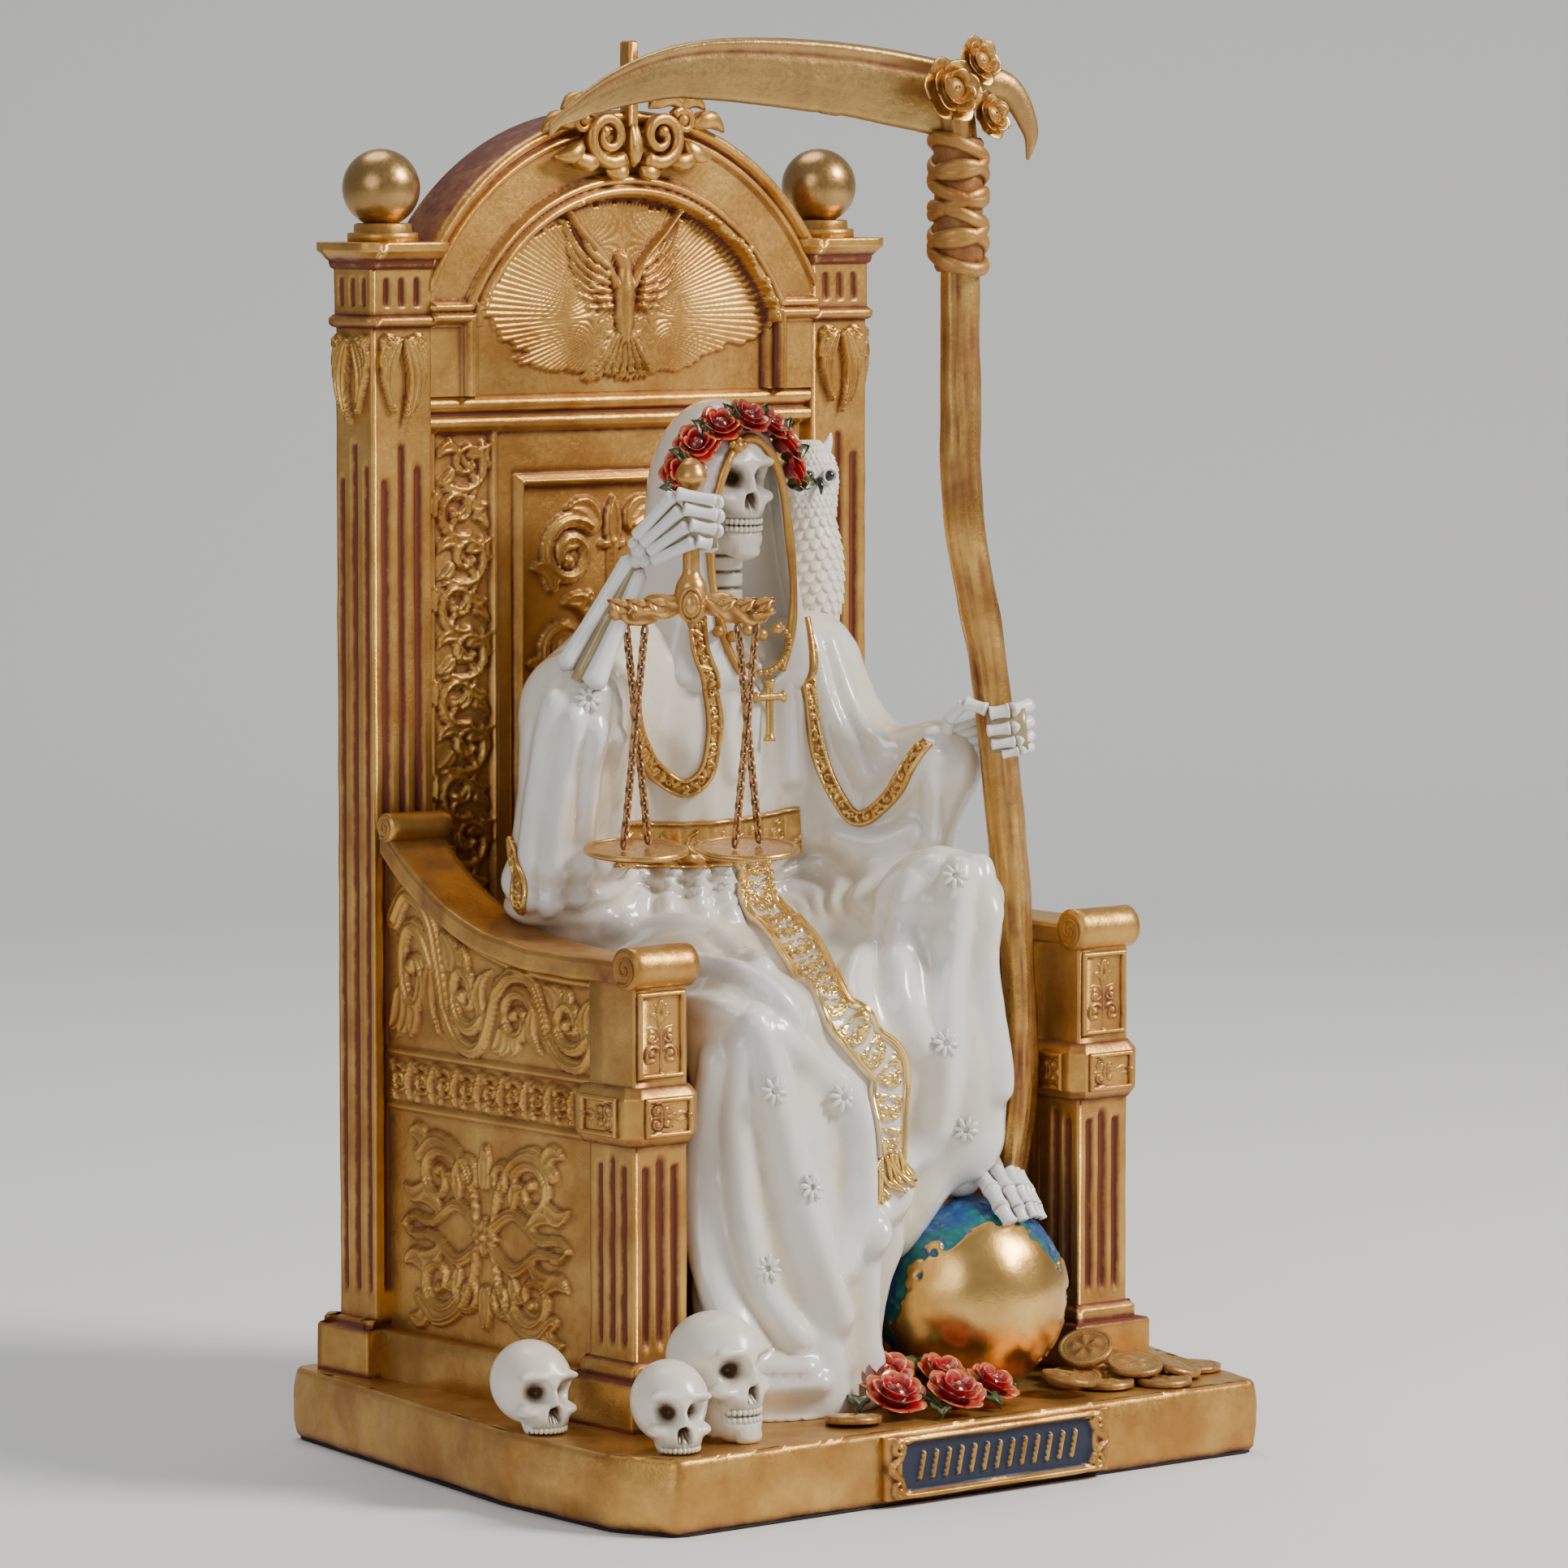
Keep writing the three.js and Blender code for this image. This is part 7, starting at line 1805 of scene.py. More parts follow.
def foot(shape):
    """Toes over the front of the globe: three listed as [x, z] in the plane LAP, and two beyond."""
    toes = [([(38.1, 62.7), (42.8, 57.8), (45.7, 53.4), (48.7, 49.4)], 2.3),
            ([(44.2, 62.5), (47.9, 57.7), (50.9, 53.1), (52.6, 49.8)], 1.7),
            ([(47.9, 62.2), (51.1, 57.8), (53.6, 53.8), (55.6, 50.3)], 1.5)]
    for k, (places, r) in enumerate(toes):
        rises = [5.4 + 0.75 * k, 3.0 + 0.75 * k, 1.9 + 0.4 * k, 0.9 + 0.2 * k]
        joints = []
        for place, rise in zip(places, rises):
            out = GLOBE_RADIUS + rise
            joints.append(seen([place], LAP, lambda p: np.linalg.norm(p - GLOBE, axis=-1) - out)[0])
        lines = [(joints, r)]
        if k == 2:
            away = RIGHT * 1.5 - unit(TOWARD) * 2.2
            for j in (1, 2):
                beyond = [GLOBE + unit(q + away * j - GLOBE) * (GLOBE_RADIUS + rise)
                          for q, rise in zip(joints, rises)]
                lines.append((beyond, r - 0.15 * j))
        for line, thick in lines:
            for a, b, share in zip(line, line[1:], (1.0, 0.95, 0.88)):
                bone(shape, a, b, thick * share, thick * share * 0.93)
    sphere(shape, GLOBE + [-1.5, 2.0, GLOBE_RADIUS + 2.6], (4.6, 4.6, 3.4), 20, 26, 0.25)


def bones():
    """The head on its neck, whose radius dips at each joint of the spine, the hands and the foot."""
    shape = Shape()
    skull(shape, np.array([-0.5, -37, BASE_TOP + 203.4]) + RIGHT * 1.3, 10.8, -7, 4, 0.24, 200, 240)
    z = np.linspace(0, 34, 150)
    seam = np.abs(np.cos(math.pi * z / 3.7)) ** 12
    turned(shape, [0, -36], BASE_TOP + 156, np.stack([z, 4.3 - 0.6 * seam], -1), 32,
           (0.15 + 0.8 * seam)[:, None])
    shape.piece("head_and_neck", "bone", "bone", "figure")
    hands = Shape()
    right_hand(hands)
    left_hand(hands)
    foot(hands)
    hands.piece("hands_and_foot", "hands", "bone", "figure")


# Flowers

def around_axis(centre, r, angle, side, across, out, axis):
    """Points at a radius and an angle round an axis, moved along it by out."""
    return (centre + (r * np.cos(angle))[..., None] * side + (r * np.sin(angle))[..., None] * across
            + out[..., None] * axis)


def petal_sheet(shape, centre, axis, side, radius, lean, rise, wide, curl, wash=0.05):
    """One petal: a cupped sheet from the rose's heart, leaning out with height, its lip rolled back."""
    across = np.cross(axis, side)
    u = np.linspace(-1, 1, 11)[:, None]
    v = np.linspace(0, 1, 10)[None, :]
    turn = u * wide * (0.5 + 0.5 * np.sin(math.pi * (0.15 + 0.7 * v)))
    out = radius * (0.25 + lean * v ** 1.3 + curl * clamp(v - 0.7) ** 2 * 4)
    out = out * (1 + 0.07 * np.cos(3 * u))
    up = radius * (rise * v - 0.35 * curl * clamp(v - 0.75) ** 2 * 8 - 0.12 * u ** 2 * v)
    grid = around_axis(centre, out, turn, side, across, up + 0 * turn, axis)
    inward = (centre + axis * radius * 0.4) - grid
    lip = np.broadcast_to(0.6 * smooth((v - 0.95) / 0.05), out.shape)
    shape.shell(grid, grid + unit(inward) * radius * 0.055,
                wash + 0.5 * np.broadcast_to((1 - v) ** 2, out.shape), lip)


def rose(shape, centre, radius, axis=Z, seed=0, depth=0.9):
    """Three rings of petals round a rolled heart, each ring turned by a golden angle."""
    axis = unit(np.asarray(axis, float))
    side = unit(np.cross(axis, [0.3, 0.9, 0.2]))
    across = np.cross(axis, side)
    centre = np.asarray(centre, float)
    heart_foot = centre - axis * radius * 0.45
    turn = np.linspace(0, 3.2 * TAU, 60) + seed
    t = np.linspace(0, 1, 60)
    r = radius * (0.34 - 0.28 * t)
    height = radius * (0.55 + 0.3 * t)
    path = (heart_foot + np.cos(turn)[:, None] * r[:, None] * side
            + np.sin(turn)[:, None] * r[:, None] * across)
    heart = np.stack([path + axis * radius * 0.2, path + axis * height[:, None]], 0)
    shape.shell(heart, heart - unit(heart - heart_foot - axis * radius) * radius * 0.07, 0.2,
                np.array([[0.0], [1.0]]))
    for ring, (count, lean, rise, wide,
               curl) in enumerate([(4, 0.30, 0.98, 0.95, 0.06), (5, 0.52, 0.86, 0.8, 0.16),
                                   (6, 0.74, 0.62, 0.7, 0.2)]):
        for k in range(count):
            a = (k + 0.5 * ring) * TAU / count + seed + ring * 0.7
            out = math.cos(a) * side + math.sin(a) * across
            petal_sheet(shape, heart_foot, axis, out, radius, lean, rise, wide, curl)
    sphere(shape, centre - axis * radius * 0.15, radius * 0.52, 10, 16, depth)


def leaf_sheet(shape, base, tip, width, normal=Z, bend=0.25):
    """A pointed leaf with a sunk midrib and side veins, arched between its base and its tip."""
    base, tip = np.asarray(base, float), np.asarray(tip, float)
    along = tip - base
    side = unit(np.cross(along, normal))
    up = unit(np.cross(side, along))
    t = np.linspace(0, 1, 16)[:, None]
    u = np.linspace(-1, 1, 11)[None, :]
    half = width * np.sin(math.pi * t ** 0.8) ** 0.8 + 0.05
    half = half * (1 + 0.1 * np.sin(22 * t))
    vein = 0.12 * np.cos(16 * t + 5 * np.abs(u)) + 0.35 * np.abs(u)
    rise = np.linalg.norm(along) * bend * np.sin(math.pi * t) + width * vein
    grid = base + t[..., None] * along + (half * u)[..., None] * side + (rise + 0 * u)[..., None] * up
    shape.shell(grid, grid - up * 0.5, 0.2 + 0.4 * bell(u, 0.15) + 0 * t, 0.0)


def flowers():
    """Seven roses round the hood with leaves between them, and the cluster before the globe."""
    crown, leaves = Shape(), Shape()
    for i, degrees in enumerate(np.linspace(-74, 74, 7)):
        a = math.radians(degrees)
        place = np.array([17 * math.sin(a), -45 + 3.5 * abs(math.sin(a)),
                          BASE_TOP + 200.5 + 16.5 * math.cos(a)])
        axis = unit([math.sin(a), -0.9, 0.9 * math.cos(a) + 0.15])
        rose(crown, place, size_of("rose"), axis, i * 1.3)
        for side in (-1, 1):
            b = a + side * 0.2
            root = np.array([16 * math.sin(b), -42 + 3 * abs(math.sin(b)),
                             BASE_TOP + 200 + 15.5 * math.cos(b)])
            tip = root + np.array([math.sin(b) * 5.2, -2.4, math.cos(b) * 5.2]) + RIGHT * side * 1.5
            leaf_sheet(leaves, root, tip, 2.0, [0, -1, 0.2])
    crown.piece("crown_roses", "rose", "rose_red", "figure")
    cluster = Shape()
    for i, (x, y, h) in enumerate([(-10, -105, 7), (-17, -117, 5), (-4, -122, 5), (3, -110, 6.5),
                                   (10, -118, 4.8)]):
        rose(cluster, [x, y, BASE_TOP + h], 7 * lerp(1, 0.85, i / 4), [0.1 * (i - 2), -0.5, 0.9], i * 0.9)
    cluster.piece("floor_roses", "rose", "rose_red", "rose_cluster")
    for base, tip in (((-14, -110, 3), (-9, -123, 1.5)), ((-2, -104, 6), (5, -99, 8)),
                      ((-20, -108, 3), (-25, -114, 1.5)), ((12, -112, 3), (17, -119, 2)),
                      ((-8, -121, 1.5), (-12, -127, 0.8)), ((4, -118, 2), (6, -126, 1))):
        leaf_sheet(leaves, np.array(base) + Z * BASE_TOP, np.array(tip) + Z * BASE_TOP, 2.6, Z, 0.2)
    leaves.piece("rose_leaves", "leaf", "rose_red", "figure", "rose_cluster")


# Owl

def feathers(turn, height, around, row):
    """Overlapping scales: in each cell of staggered rows the height rises to the round lower tip."""
    s = -height / row
    line = np.floor(s)
    v = s - line
    u = turn * around / TAU + 0.5 * np.mod(line, 2)
    u = (u - np.floor(u) - 0.5) * 2
    inside = np.abs(u) < np.sqrt(clamp(1 - v ** 2)) * 0.98
    return np.where(inside, 0.35 + 0.65 * v - 0.25 * np.abs(u), 0.15)


# The owl's middle at its claws
OWL = np.array([31.5, -28.0, BASE_TOP + 163])


def owl():
    """Oval rings from a smoothed profile, moved out by staggered feathers, in about the face."""
    shape, eyes = Shape(), Shape()
    rings = np.array([(-1, 3.5, 4), (4, 6.4, 6.6), (10, 8, 7.9), (17, 8.4, 8.1), (23, 7.9, 7.7),
                      (29, 6.3, 6.3), (33, 6.2, 6.3), (38, 7, 7), (42, 6.6, 6.4), (45.5, 4.6, 4.5),
                      (47.6, 1.6, 1.6)], float)
    z = np.linspace(0, 1, 190) * (rings[-1, 0] - rings[0, 0]) + rings[0, 0]
    rx, ry = (np.interp(z, rings[:, 0], rings[:, k]) for k in (1, 2))
    kernel = np.ones(15) / 15
    rx, ry = (np.convolve(np.pad(r, 7, mode="edge"), kernel, "valid") for r in (rx, ry))
    a = np.arange(220) / 220 * TAU
    scale = feathers(a[None] + 0 * z[:, None], z[:, None] + 0.5 * np.cos(2 * a)[None], 17, 2.5)
    fine = feathers(a[None] + 0 * z[:, None], z[:, None], 26, 1.4)
    head = smooth((z - 29) / 4)[:, None]
    off = np.angle(np.exp(1j * (a - math.radians(256))))
    face = bell(off, 0.75)[None] * bell(z - 38, 4.5)[:, None]
    ruff = 0.6 * bell(np.abs(off) - 0.95, 0.2)[None] * head
    depth = lerp(size_of("feather") * scale, 0.5 * fine, head) * (1 - 0.75 * face) + ruff - 1.5 * face - 0.3
    grid = np.stack([OWL[0] + (rx[:, None] + depth) * np.cos(a), OWL[1] + (ry[:, None] + depth) * np.sin(a),
                     OWL[2] + z[:, None] + 0 * a], -1)
    shape.tube(grid, clamp(0.75 - scale * 0.8) * (1 - 0.5 * face))
    for side in (-1, 1):
        ear = curve([OWL + [side * 3.6, -1.0, 44], OWL + [side * 4.8, -1.6, 47],
                     OWL + [side * 5.4, -1.6, 49.2]], 12)
        shape.tube(swept(ear, np.linspace(1.9, 0.25, 12), 12, flat=0.6), 0.2)
    tail = curve([OWL + [1, 5, 8], OWL + [1.8, 6, 1], OWL + [2.5, 7, -6]], 20)
    shape.tube(swept(tail, np.linspace(4.0, 2.9, 20), 30, flat=0.5,
                     lobes=lambda t: 1 + 0.08 * np.cos(9 * t)), 0.3)
    front = np.array([-0.25, -0.97, 0])
    across = np.array([0.97, -0.25, 0])
    for side in (-1, 1):
        eye = OWL + front * 5.6 + across * side * 2.75 + Z * 39.6
        sphere(eyes, eye, 1.25, 12, 18)
        ring = np.linspace(0, TAU, 25)[:-1]
        lid = eye + front * 0.35 + 1.6 * (np.cos(ring)[:, None] * across + np.sin(ring)[:, None] * Z)
        closed = np.concatenate([lid, lid[:1]])
        shape.tube(swept(closed, 0.32, 8, up=front), 0.3)
    beak = curve([OWL + front * 5.4 + Z * 38.6, OWL + front * 6.9 + Z * 37.2, OWL + front * 7.0 + Z * 35.4],
                 10)
    eyes.tube(swept(beak, np.linspace(1.05, 0.25, 10), 12))
    shape.piece("owl_feathers", "owl", "owl_white", "owl")
    eyes.piece("owl_eyes", "black", "owl_white", "owl")


# Things on the base

# Its middle, and the radius of its sea
GLOBE = np.array([26.0, -92.0, BASE_TOP + 20.7])
GLOBE_RADIUS = 22.3


def globe():
    """A ball with raised land where a direction and noise together pass a level, and a rippled sea."""
    shape = Shape()
    d = directions(160, 250)
    facing = d @ unit([-0.40, -0.95, -0.32])
    rough = 0.5 * noise(d, 0.35, 1) + 0.3 * noise(d, 0.15, 2) + 0.18 * noise(d, 0.07, 3)
    far = noise(d, 0.9, 9) * 0.9
    level = np.where(facing > -0.1, facing - 0.42 + 0.42 * rough, far - 0.3 + 0.25 * rough)
    land = smooth(level / 0.05 + 0.5)
    ripple = 0.5 * noise(d * [1, 1, 2.2], 0.11, 4) + 0.35 * noise(d, 0.05, 5)
    height = 0.85 * land + (1 - land) * 0.5 * ripple + land * 0.25 * noise(d, 0.3, 6)
    edge = bell(level + 0.09, 0.07)
    grid = GLOBE + d * (GLOBE_RADIUS - 0.55 + height)[..., None]
    grid[..., 2] = np.maximum(grid[..., 2], BASE_TOP + 0.02)
    shape.tube(grid, clamp(edge), land)
    shape.piece("globe_land_and_sea", "globe", "globe_paint", "globe")


def skulls():
    """The four skulls, two of them with a jaw, each flat where it meets the base."""
    shape = Shape()
    for x, y, r, yaw, jaw in ((-88, -79.5, 10.2, -7, None), (-80.2, -117.5, 10, -20, None),
                              (-63.4, -113.4, 11.4, 8, 0.0), (-52.4, -101.6, 10, 8, 0.0)):
        z = BASE_TOP + r * (0.86 if jaw is None else 1.36)
        skull(shape, [x, y, z], r * 0.985, yaw, 0, jaw, floor=BASE_TOP + 0.05)
    shape.piece("floor_skulls", "bone", "bone", "skull_a", "skull_b", "skull_c", "skull_d")


def coin(shape, centre, axis, radius=6.3, thickness=1.7, seed=0):
    """A struck disc: a raised rim, a ring of beads and a plain head of leaves, by angle and radius."""
    axis = unit(np.asarray(axis, float))
    side = unit(np.cross(axis, [0.2, 1, 0.1]))
    across = np.cross(axis, side)
    a = np.arange(60) / 60 * TAU
    share = np.linspace(0.03, 0.97, 22)
    rim = 0.35 * bell(share - 0.92, 0.05)[:, None]
    beads = 0.25 * (bell(share - 0.78, 0.05)[:, None] * (0.5 + 0.5 * np.cos(30 * a)))
    leaves = 0.4 * (bell(share - 0.4, 0.22)[:, None] * (0.5 + 0.5 * np.cos(5 * a + seed)))
    top = thickness / 2 - 0.3 + rim + beads + leaves
    faces = np.concatenate([share, [1, 1.0, 0.97], share[::-1]])
    out = np.concatenate([top, [thickness / 2 - 0.1 + 0 * a], [-thickness / 2 + 0.1 + 0 * a],
                          [-thickness / 2 + 0 * a], -top[::-1]])
    r = faces[:, None] * radius + 0 * a
    grid = around_axis(np.asarray(centre, float), r, a, side, across, out, axis)
    grid[..., 2] = np.maximum(grid[..., 2], BASE_TOP + 0.02)
    relief = np.concatenate([rim + beads + leaves, np.zeros((3, 60)), (rim + beads + leaves)[::-1]])
    shape.tube(grid, 0.45 - 0.9 * relief)


def coins():
    """A heap of coins at the right and one at the front."""
    shape = Shape()
    heap = [((32, -119, 20.6), (0.15, -0.1, 1)), ((52, -108, 20.4), (-0.2, -0.35, 1)),
            ((59, -112, 18.6), (0.1, 0.05, 1)), ((58, -122, 17.7), (0, 0, 1)),
            ((48, -106.5, 24.2), (-0.5, -0.35, 1)), ((76.5, -111.5, 17.7), (0.02, 0, 1)),
            ((66, -116.5, 19.5), (0.2, -0.2, 1)), ((45, -117, 17.8), (0, 0.03, 1)),
            ((64, -106, 18.0), (0, 0, 1)), ((55, -115.5, 20.9), (-0.12, -0.2, 1)),
            ((41, -110.5, 18.6), (-0.1, -0.15, 1))]
    for i, (centre, axis) in enumerate(heap):
        coin(shape, centre, axis, size_of("coin"), 1.6, i)
    shape.piece("coin_heap", "coin", "coin_gold", "coin_pile")
    front = Shape()
    coin(front, (-30, -118, BASE_TOP + 1.25), (0.05, 0.08, 1), size_of("coin"), 1.7, 2)
    front.piece("coin_at_front", "coin", "coin_gold", "coin_front")


# Scythe

# The shaft's axis, with heights above the base's top
SHAFT = [(47.4, -75.8, -1), (47.8, -76.4, 20), (48.3, -79.5, 44), (48.6, -82.4, 70), (46.8, -82, 110),
         (43.4, -82, 140), (38.5, -82, 168), (32.2, -82, 196), (31, -82, 222), (30.6, -82, 250),
         (30.4, -82, 276), (29, -82, 288)]


# Where the blade meets the shaft
JOINT = np.array([30, -82, BASE_TOP + 288.0])


def scythe():
    """The shaft: a tube with three soft lobes that wind along it, grain and lumps. Then its wrap."""
    wood = Shape()
    path = curve([(x, y, max(z, 0.05) + BASE_TOP) for x, y, z in SHAFT], 420)
    t = np.linspace(0, 1, 420)
    r = 4.6 * lerp(0.78, 1, clamp(t / 0.25))
    sides = np.arange(48) / 48 * TAU
    grid = swept(path, r, 48, up=Y)
    grain = noise(np.stack([np.cos(sides)[None] * 3 + 0 * t[:, None],
                            np.sin(sides)[None] * 3 + 0 * t[:, None], path[:, 2:] * 0.05 + 0 * sides], -1),
                  0.55, 2)
    lump = noise(grid, 9.0, 3)
    lobes = 0.07 * np.cos(3 * sides[None] + 9 * t[:, None])
    move = r[:, None] * lobes + 0.3 * grain + 0.35 * lump - 0.25
    grid = path[:, None] + (grid - path[:, None]) * (1 + move / r[:, None])[..., None]
    wood.tube(grid, clamp(0.2 - 0.45 * grain - 0.2 * lump))
    wood.piece("scythe_shaft", "wood", "gilt", "scythe")
    wrap = Shape()
    x, y = 30.5, -82
    turned(wrap, (x, y), BASE_TOP, [(250, 4.8), (251, 5.4), (258, 5.7), (268, 5.4), (279, 5.7), (280, 5.0)],
           40, 0.5)
    for k in range(9):
        a = np.linspace(0, TAU, 41)
        tilt = 0.42 * (-1) ** k
        z = BASE_TOP + 253 + 3.05 * k + 5.9 * tilt * np.sin(a + 0.6 * k)
        ring = np.stack([x + 6.0 * np.cos(a), y + 6.0 * np.sin(a), z], -1)
        wrap.tube(swept(ring, 1.15, 10, up=Z, flat=1.4), 0.3)
    wrap.piece("scythe_wrap", "gilt", "gilt", "scythe")
    blade()
    flower = Shape()
    for i, (shift, radius) in enumerate((((-6, -5.2, 2.5), 7.0), ((3.2, -4, 9), 5.3), ((6, -4.6, -3), 5.1))):
        rose(flower, JOINT + shift, radius, [0.1 * (i - 1), -1, 0.25], i * 2.1, 0.3)
    flower.piece("scythe_roses", "gilt_rose", "gilt", "scythe")


# The blade's greatest depth and its length
BLADE_DEPTH = 17.3
BLADE_LENGTH = 100


def blade():
    """The blade: across it a lens that thins to the cutting edge, carried along its curved spine."""
    shape = Shape()
    along = np.array([math.cos(math.radians(164)), math.sin(math.radians(164)), 0])
    out = np.cross(along, Z)
    t = np.linspace(0, 1, 220)
    spine = np.where(t < 0.5, 14 - 6 * (1 - 2 * t) ** 2, 14 - 19 * clamp(2 * t - 1) ** 2.6)
    wide = BLADE_DEPTH * np.maximum(0.06, 1 - t ** 2.2) ** 0.6
    nicks = (0.5 * clamp(noise(np.stack([t * BLADE_LENGTH, 0 * t, 0 * t], -1), 3.0, 4) - 0.2)
             * smooth((t - 0.1) / 0.1))
    u = np.concatenate([np.linspace(0, 1, 20), np.linspace(1, 0, 20)[1:-1]])
    face = np.concatenate([np.ones(20), -np.ones(18)])
    thick = 1.8 * (1 - u) ** 0.7 * np.sqrt(clamp(u / 0.05)) + 0.18 * (u > 0.5)
    thick = thick - 0.5 * bell(u - 0.22, 0.06)
    scale = (wide / BLADE_DEPTH)[:, None] ** 0.7
    drop = u[None] * (wide - nicks)[:, None]
    grid = (JOINT + (t * BLADE_LENGTH - 2)[:, None, None] * along + (spine[:, None] - drop)[..., None] * Z
            + (thick * face * scale)[..., None] * out)
    dull = 0.15 + 0.4 * bell(u - 0.22, 0.05) + 0 * t[:, None]
    shape.tube(grid + (0.12 * noise(grid, 5.0, 2))[..., None] * out, dull)
    points = [JOINT - along * b + Z * h for b, h in ((0, 4), (12, 3), (18, -6), (17.6, -13))]
    path = curve(points, 40)
    r = np.interp(np.linspace(0, 3, 40), [0, 1, 2, 3], [4.8, 3.5, 2.1, 0.4])
    shape.tube(swept(path, r, 20, up=out, flat=0.62), 0.2)
    shape.piece("scythe_blade", "blade", "gilt", "scythe")


# Scales

# The scales' upright handle, and the beam's direction, its side and its half length
HANDLE = np.array([-34.4, -67.2])
BEAM_YAW = math.radians(-32)
BEAM = np.array([math.cos(BEAM_YAW), math.sin(BEAM_YAW), 0.0])
BEAM_SIDE = np.array([BEAM[1], -BEAM[0], 0.0])
BEAM_HALF = 17.4


def scales():
    """The turned handle, a beam whose three lobes wind along it, its medal, pans and chains."""
    shape = Shape()
    handle = np.array([*HANDLE, 0.0])
    profile = [(172.6, 0.3), (173.5, 2.5), (178, 4.1), (182, 3.3), (184, 1.9), (203, 1.85), (204.4, 3.6),
               (206, 3.6), (209, 1.9), (209.4, 0.4)]
    h, r = np.array(profile, float).T
    fine = np.linspace(h[0], h[-1], 130)
    smooth_r = np.convolve(np.pad(np.interp(fine, h, r), 3, mode="edge"), np.ones(7) / 7, "valid")
    turned(shape, HANDLE, BASE_TOP, list(zip(fine, smooth_r)), 40, 0.15)
    places = [(-1, 0.5), (-0.8, -2.6), (-0.45, -0.2), (0, 1.2), (0.45, -0.2), (0.8, -2.6), (1, 0.5)]
    path = curve([handle + BEAM * s * BEAM_HALF + Z * (BASE_TOP + 176.5 + rise) for s, rise in places], 200)
    t = np.linspace(0, 1, 200)
    r = 2.3 + 0.6 * np.cos(6 * math.pi * t) - 0.9 * np.abs(2 * t - 1) ** 6
    twist = 5.5 * t
    grid = swept(path, r, 32, up=Z, lobes=lambda a: 1 + 0.14 * np.cos(3 * (a + 14 * t[:, None])),
                 twist=twist)
    shape.tube(grid, 0.15 + 0.3 * clamp(-np.cos(3 * (np.arange(32) / 32 * TAU + 19.5 * t[:, None]))))
    medal = handle + Z * (BASE_TOP + 177.2)
    front = unit(TOWARD * [1, 1, 0])
    for size, out in ((3.6, 3.6), (2.3, 4.5)):
        a = np.linspace(0, TAU, 33)
        oval = medal + front * out + size * 0.62 * np.cos(a)[:, None] * RIGHT + size * np.sin(a)[:, None] * Z
        shape.tube(swept(oval, 0.6, 10, up=front), 0.3)
    sphere(shape, medal + front * 3.4, (2.0, 2.0, 2.9), 16, 24, 0.15)
    for side in (-1, 1):
        for k in (0.3, 0.55, 0.78):
            leaf_base = handle + BEAM * side * BEAM_HALF * k + Z * (BASE_TOP + 176.2) + front * 1.4
            leaf_tip = leaf_base + BEAM * side * 5.2 + Z * 2.2 + front * 0.6
            leaf_sheet(shape, leaf_base, leaf_tip, 1.4, front, 0.25)
        sphere(shape, medal + front * 3.4 - Z * 4.0, (0.9, 0.9, 1.4), 12, 16, 0.2)
    shape.piece("scales_handle_and_beam", "scales", "scales_gold", "scales_beam")
    index = 0
    up = unit(Z + BEAM_SIDE * math.tan(math.radians(6)))
    for side, name in ((-1, "pan_right"), (1, "pan_left")):
        middle = sum(np.array(c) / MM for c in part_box(name)) / 2
        centre = np.array([*middle[:2], BASE_TOP + 122.6])
        pan(name, centre, up)
        for sign in (1, -1):
            reach = sign * (2.6 * BEAM_SIDE - 3 * BEAM)
            low = centre + reach + Z * (1.4 - reach @ up / up[2])
            high = handle + BEAM * (side * 12.4 + 2 * sign) + BEAM_SIDE * 0.8 * sign + Z * (BASE_TOP + 172.1)
            index += 1
            chain(f"chain_{index}", low, high)


def pan(name, centre, up):
    """A thin disc with a rolled rim and a boss below where one of its chains is pinned."""
    shape = Shape()
    side = unit(np.cross(up, Y))
    across = np.cross(up, side)
    a = np.arange(90) / 90 * TAU
    profile = [(0.3, 0.35), (5, 0.3), (9.8, 0.35), (10.6, 0.75), (11.3, 0.75), (11.75, 0.2), (11.6, -0.4),
               (10.8, -0.75), (9, -0.8), (4, -0.8), (0.3, -0.8)]
    r, o = (curve([(p[0], p[1], 0) for p in profile], 70)[:, k] for k in (0, 1))
    grid = around_axis(centre, r[:, None], a, side, across, o[:, None] + 0.05 * np.cos(3 * a), up)
    shape.tube(grid, 0.12 + 0.3 * bell(r - 10.2, 0.4)[:, None])
    pin = centre - BEAM * 3 + BEAM_SIDE * 2.6 - up * 1.4
    sphere(shape, pin, 1.0, 12, 16, 0.3)
    sphere(shape, pin - up * 1.3, 0.6, 10, 14, 0.3)
    shape.piece(f"{name}_disc", "scales", "scales_gold", name)


def chain(name, low, high):
    """Curb links: ovals of wire, each turned a quarter against the last and leaning on it."""
    shape = Shape()
    count = 25
    axis = unit(high - low)
    first = unit(np.cross(axis, [0.6, 0.8, 0]))
    second = np.cross(axis, first)
    half = 0.78 * np.linalg.norm(high - low) / count
    around = np.linspace(0, TAU, 17)[:, None]
    turn = np.arange(7) / 7 * TAU
    wire = size_of("wire")
    narrow = 0.75
    for k in range(count):
        lean = math.radians(48 if k % 2 else -42)
        flat = math.cos(lean) * first + math.sin(lean) * second
        normal = np.cross(axis, flat)
        middle = lerp(low, high, (k + 0.5) / count)
        ring = middle + half * np.cos(around) * axis + narrow * np.sin(around) * flat
        out = unit(narrow * np.cos(around) * axis + half * np.sin(around) * flat)
        grid = ring[:, None] + wire * (np.cos(turn)[:, None] * out[:, None] + np.sin(turn)[:, None] * normal)
        # The inner side of the wire, facing the middle of its link where the links sit in one another, is
        # darkened: a painted shade.
        shape.tube(grid, 0.2 + 0.35 * (np.cos(turn) < 0)[None])
    shape.piece(f"{name}_links", "chain", "chain_metal", name)


# Jewels

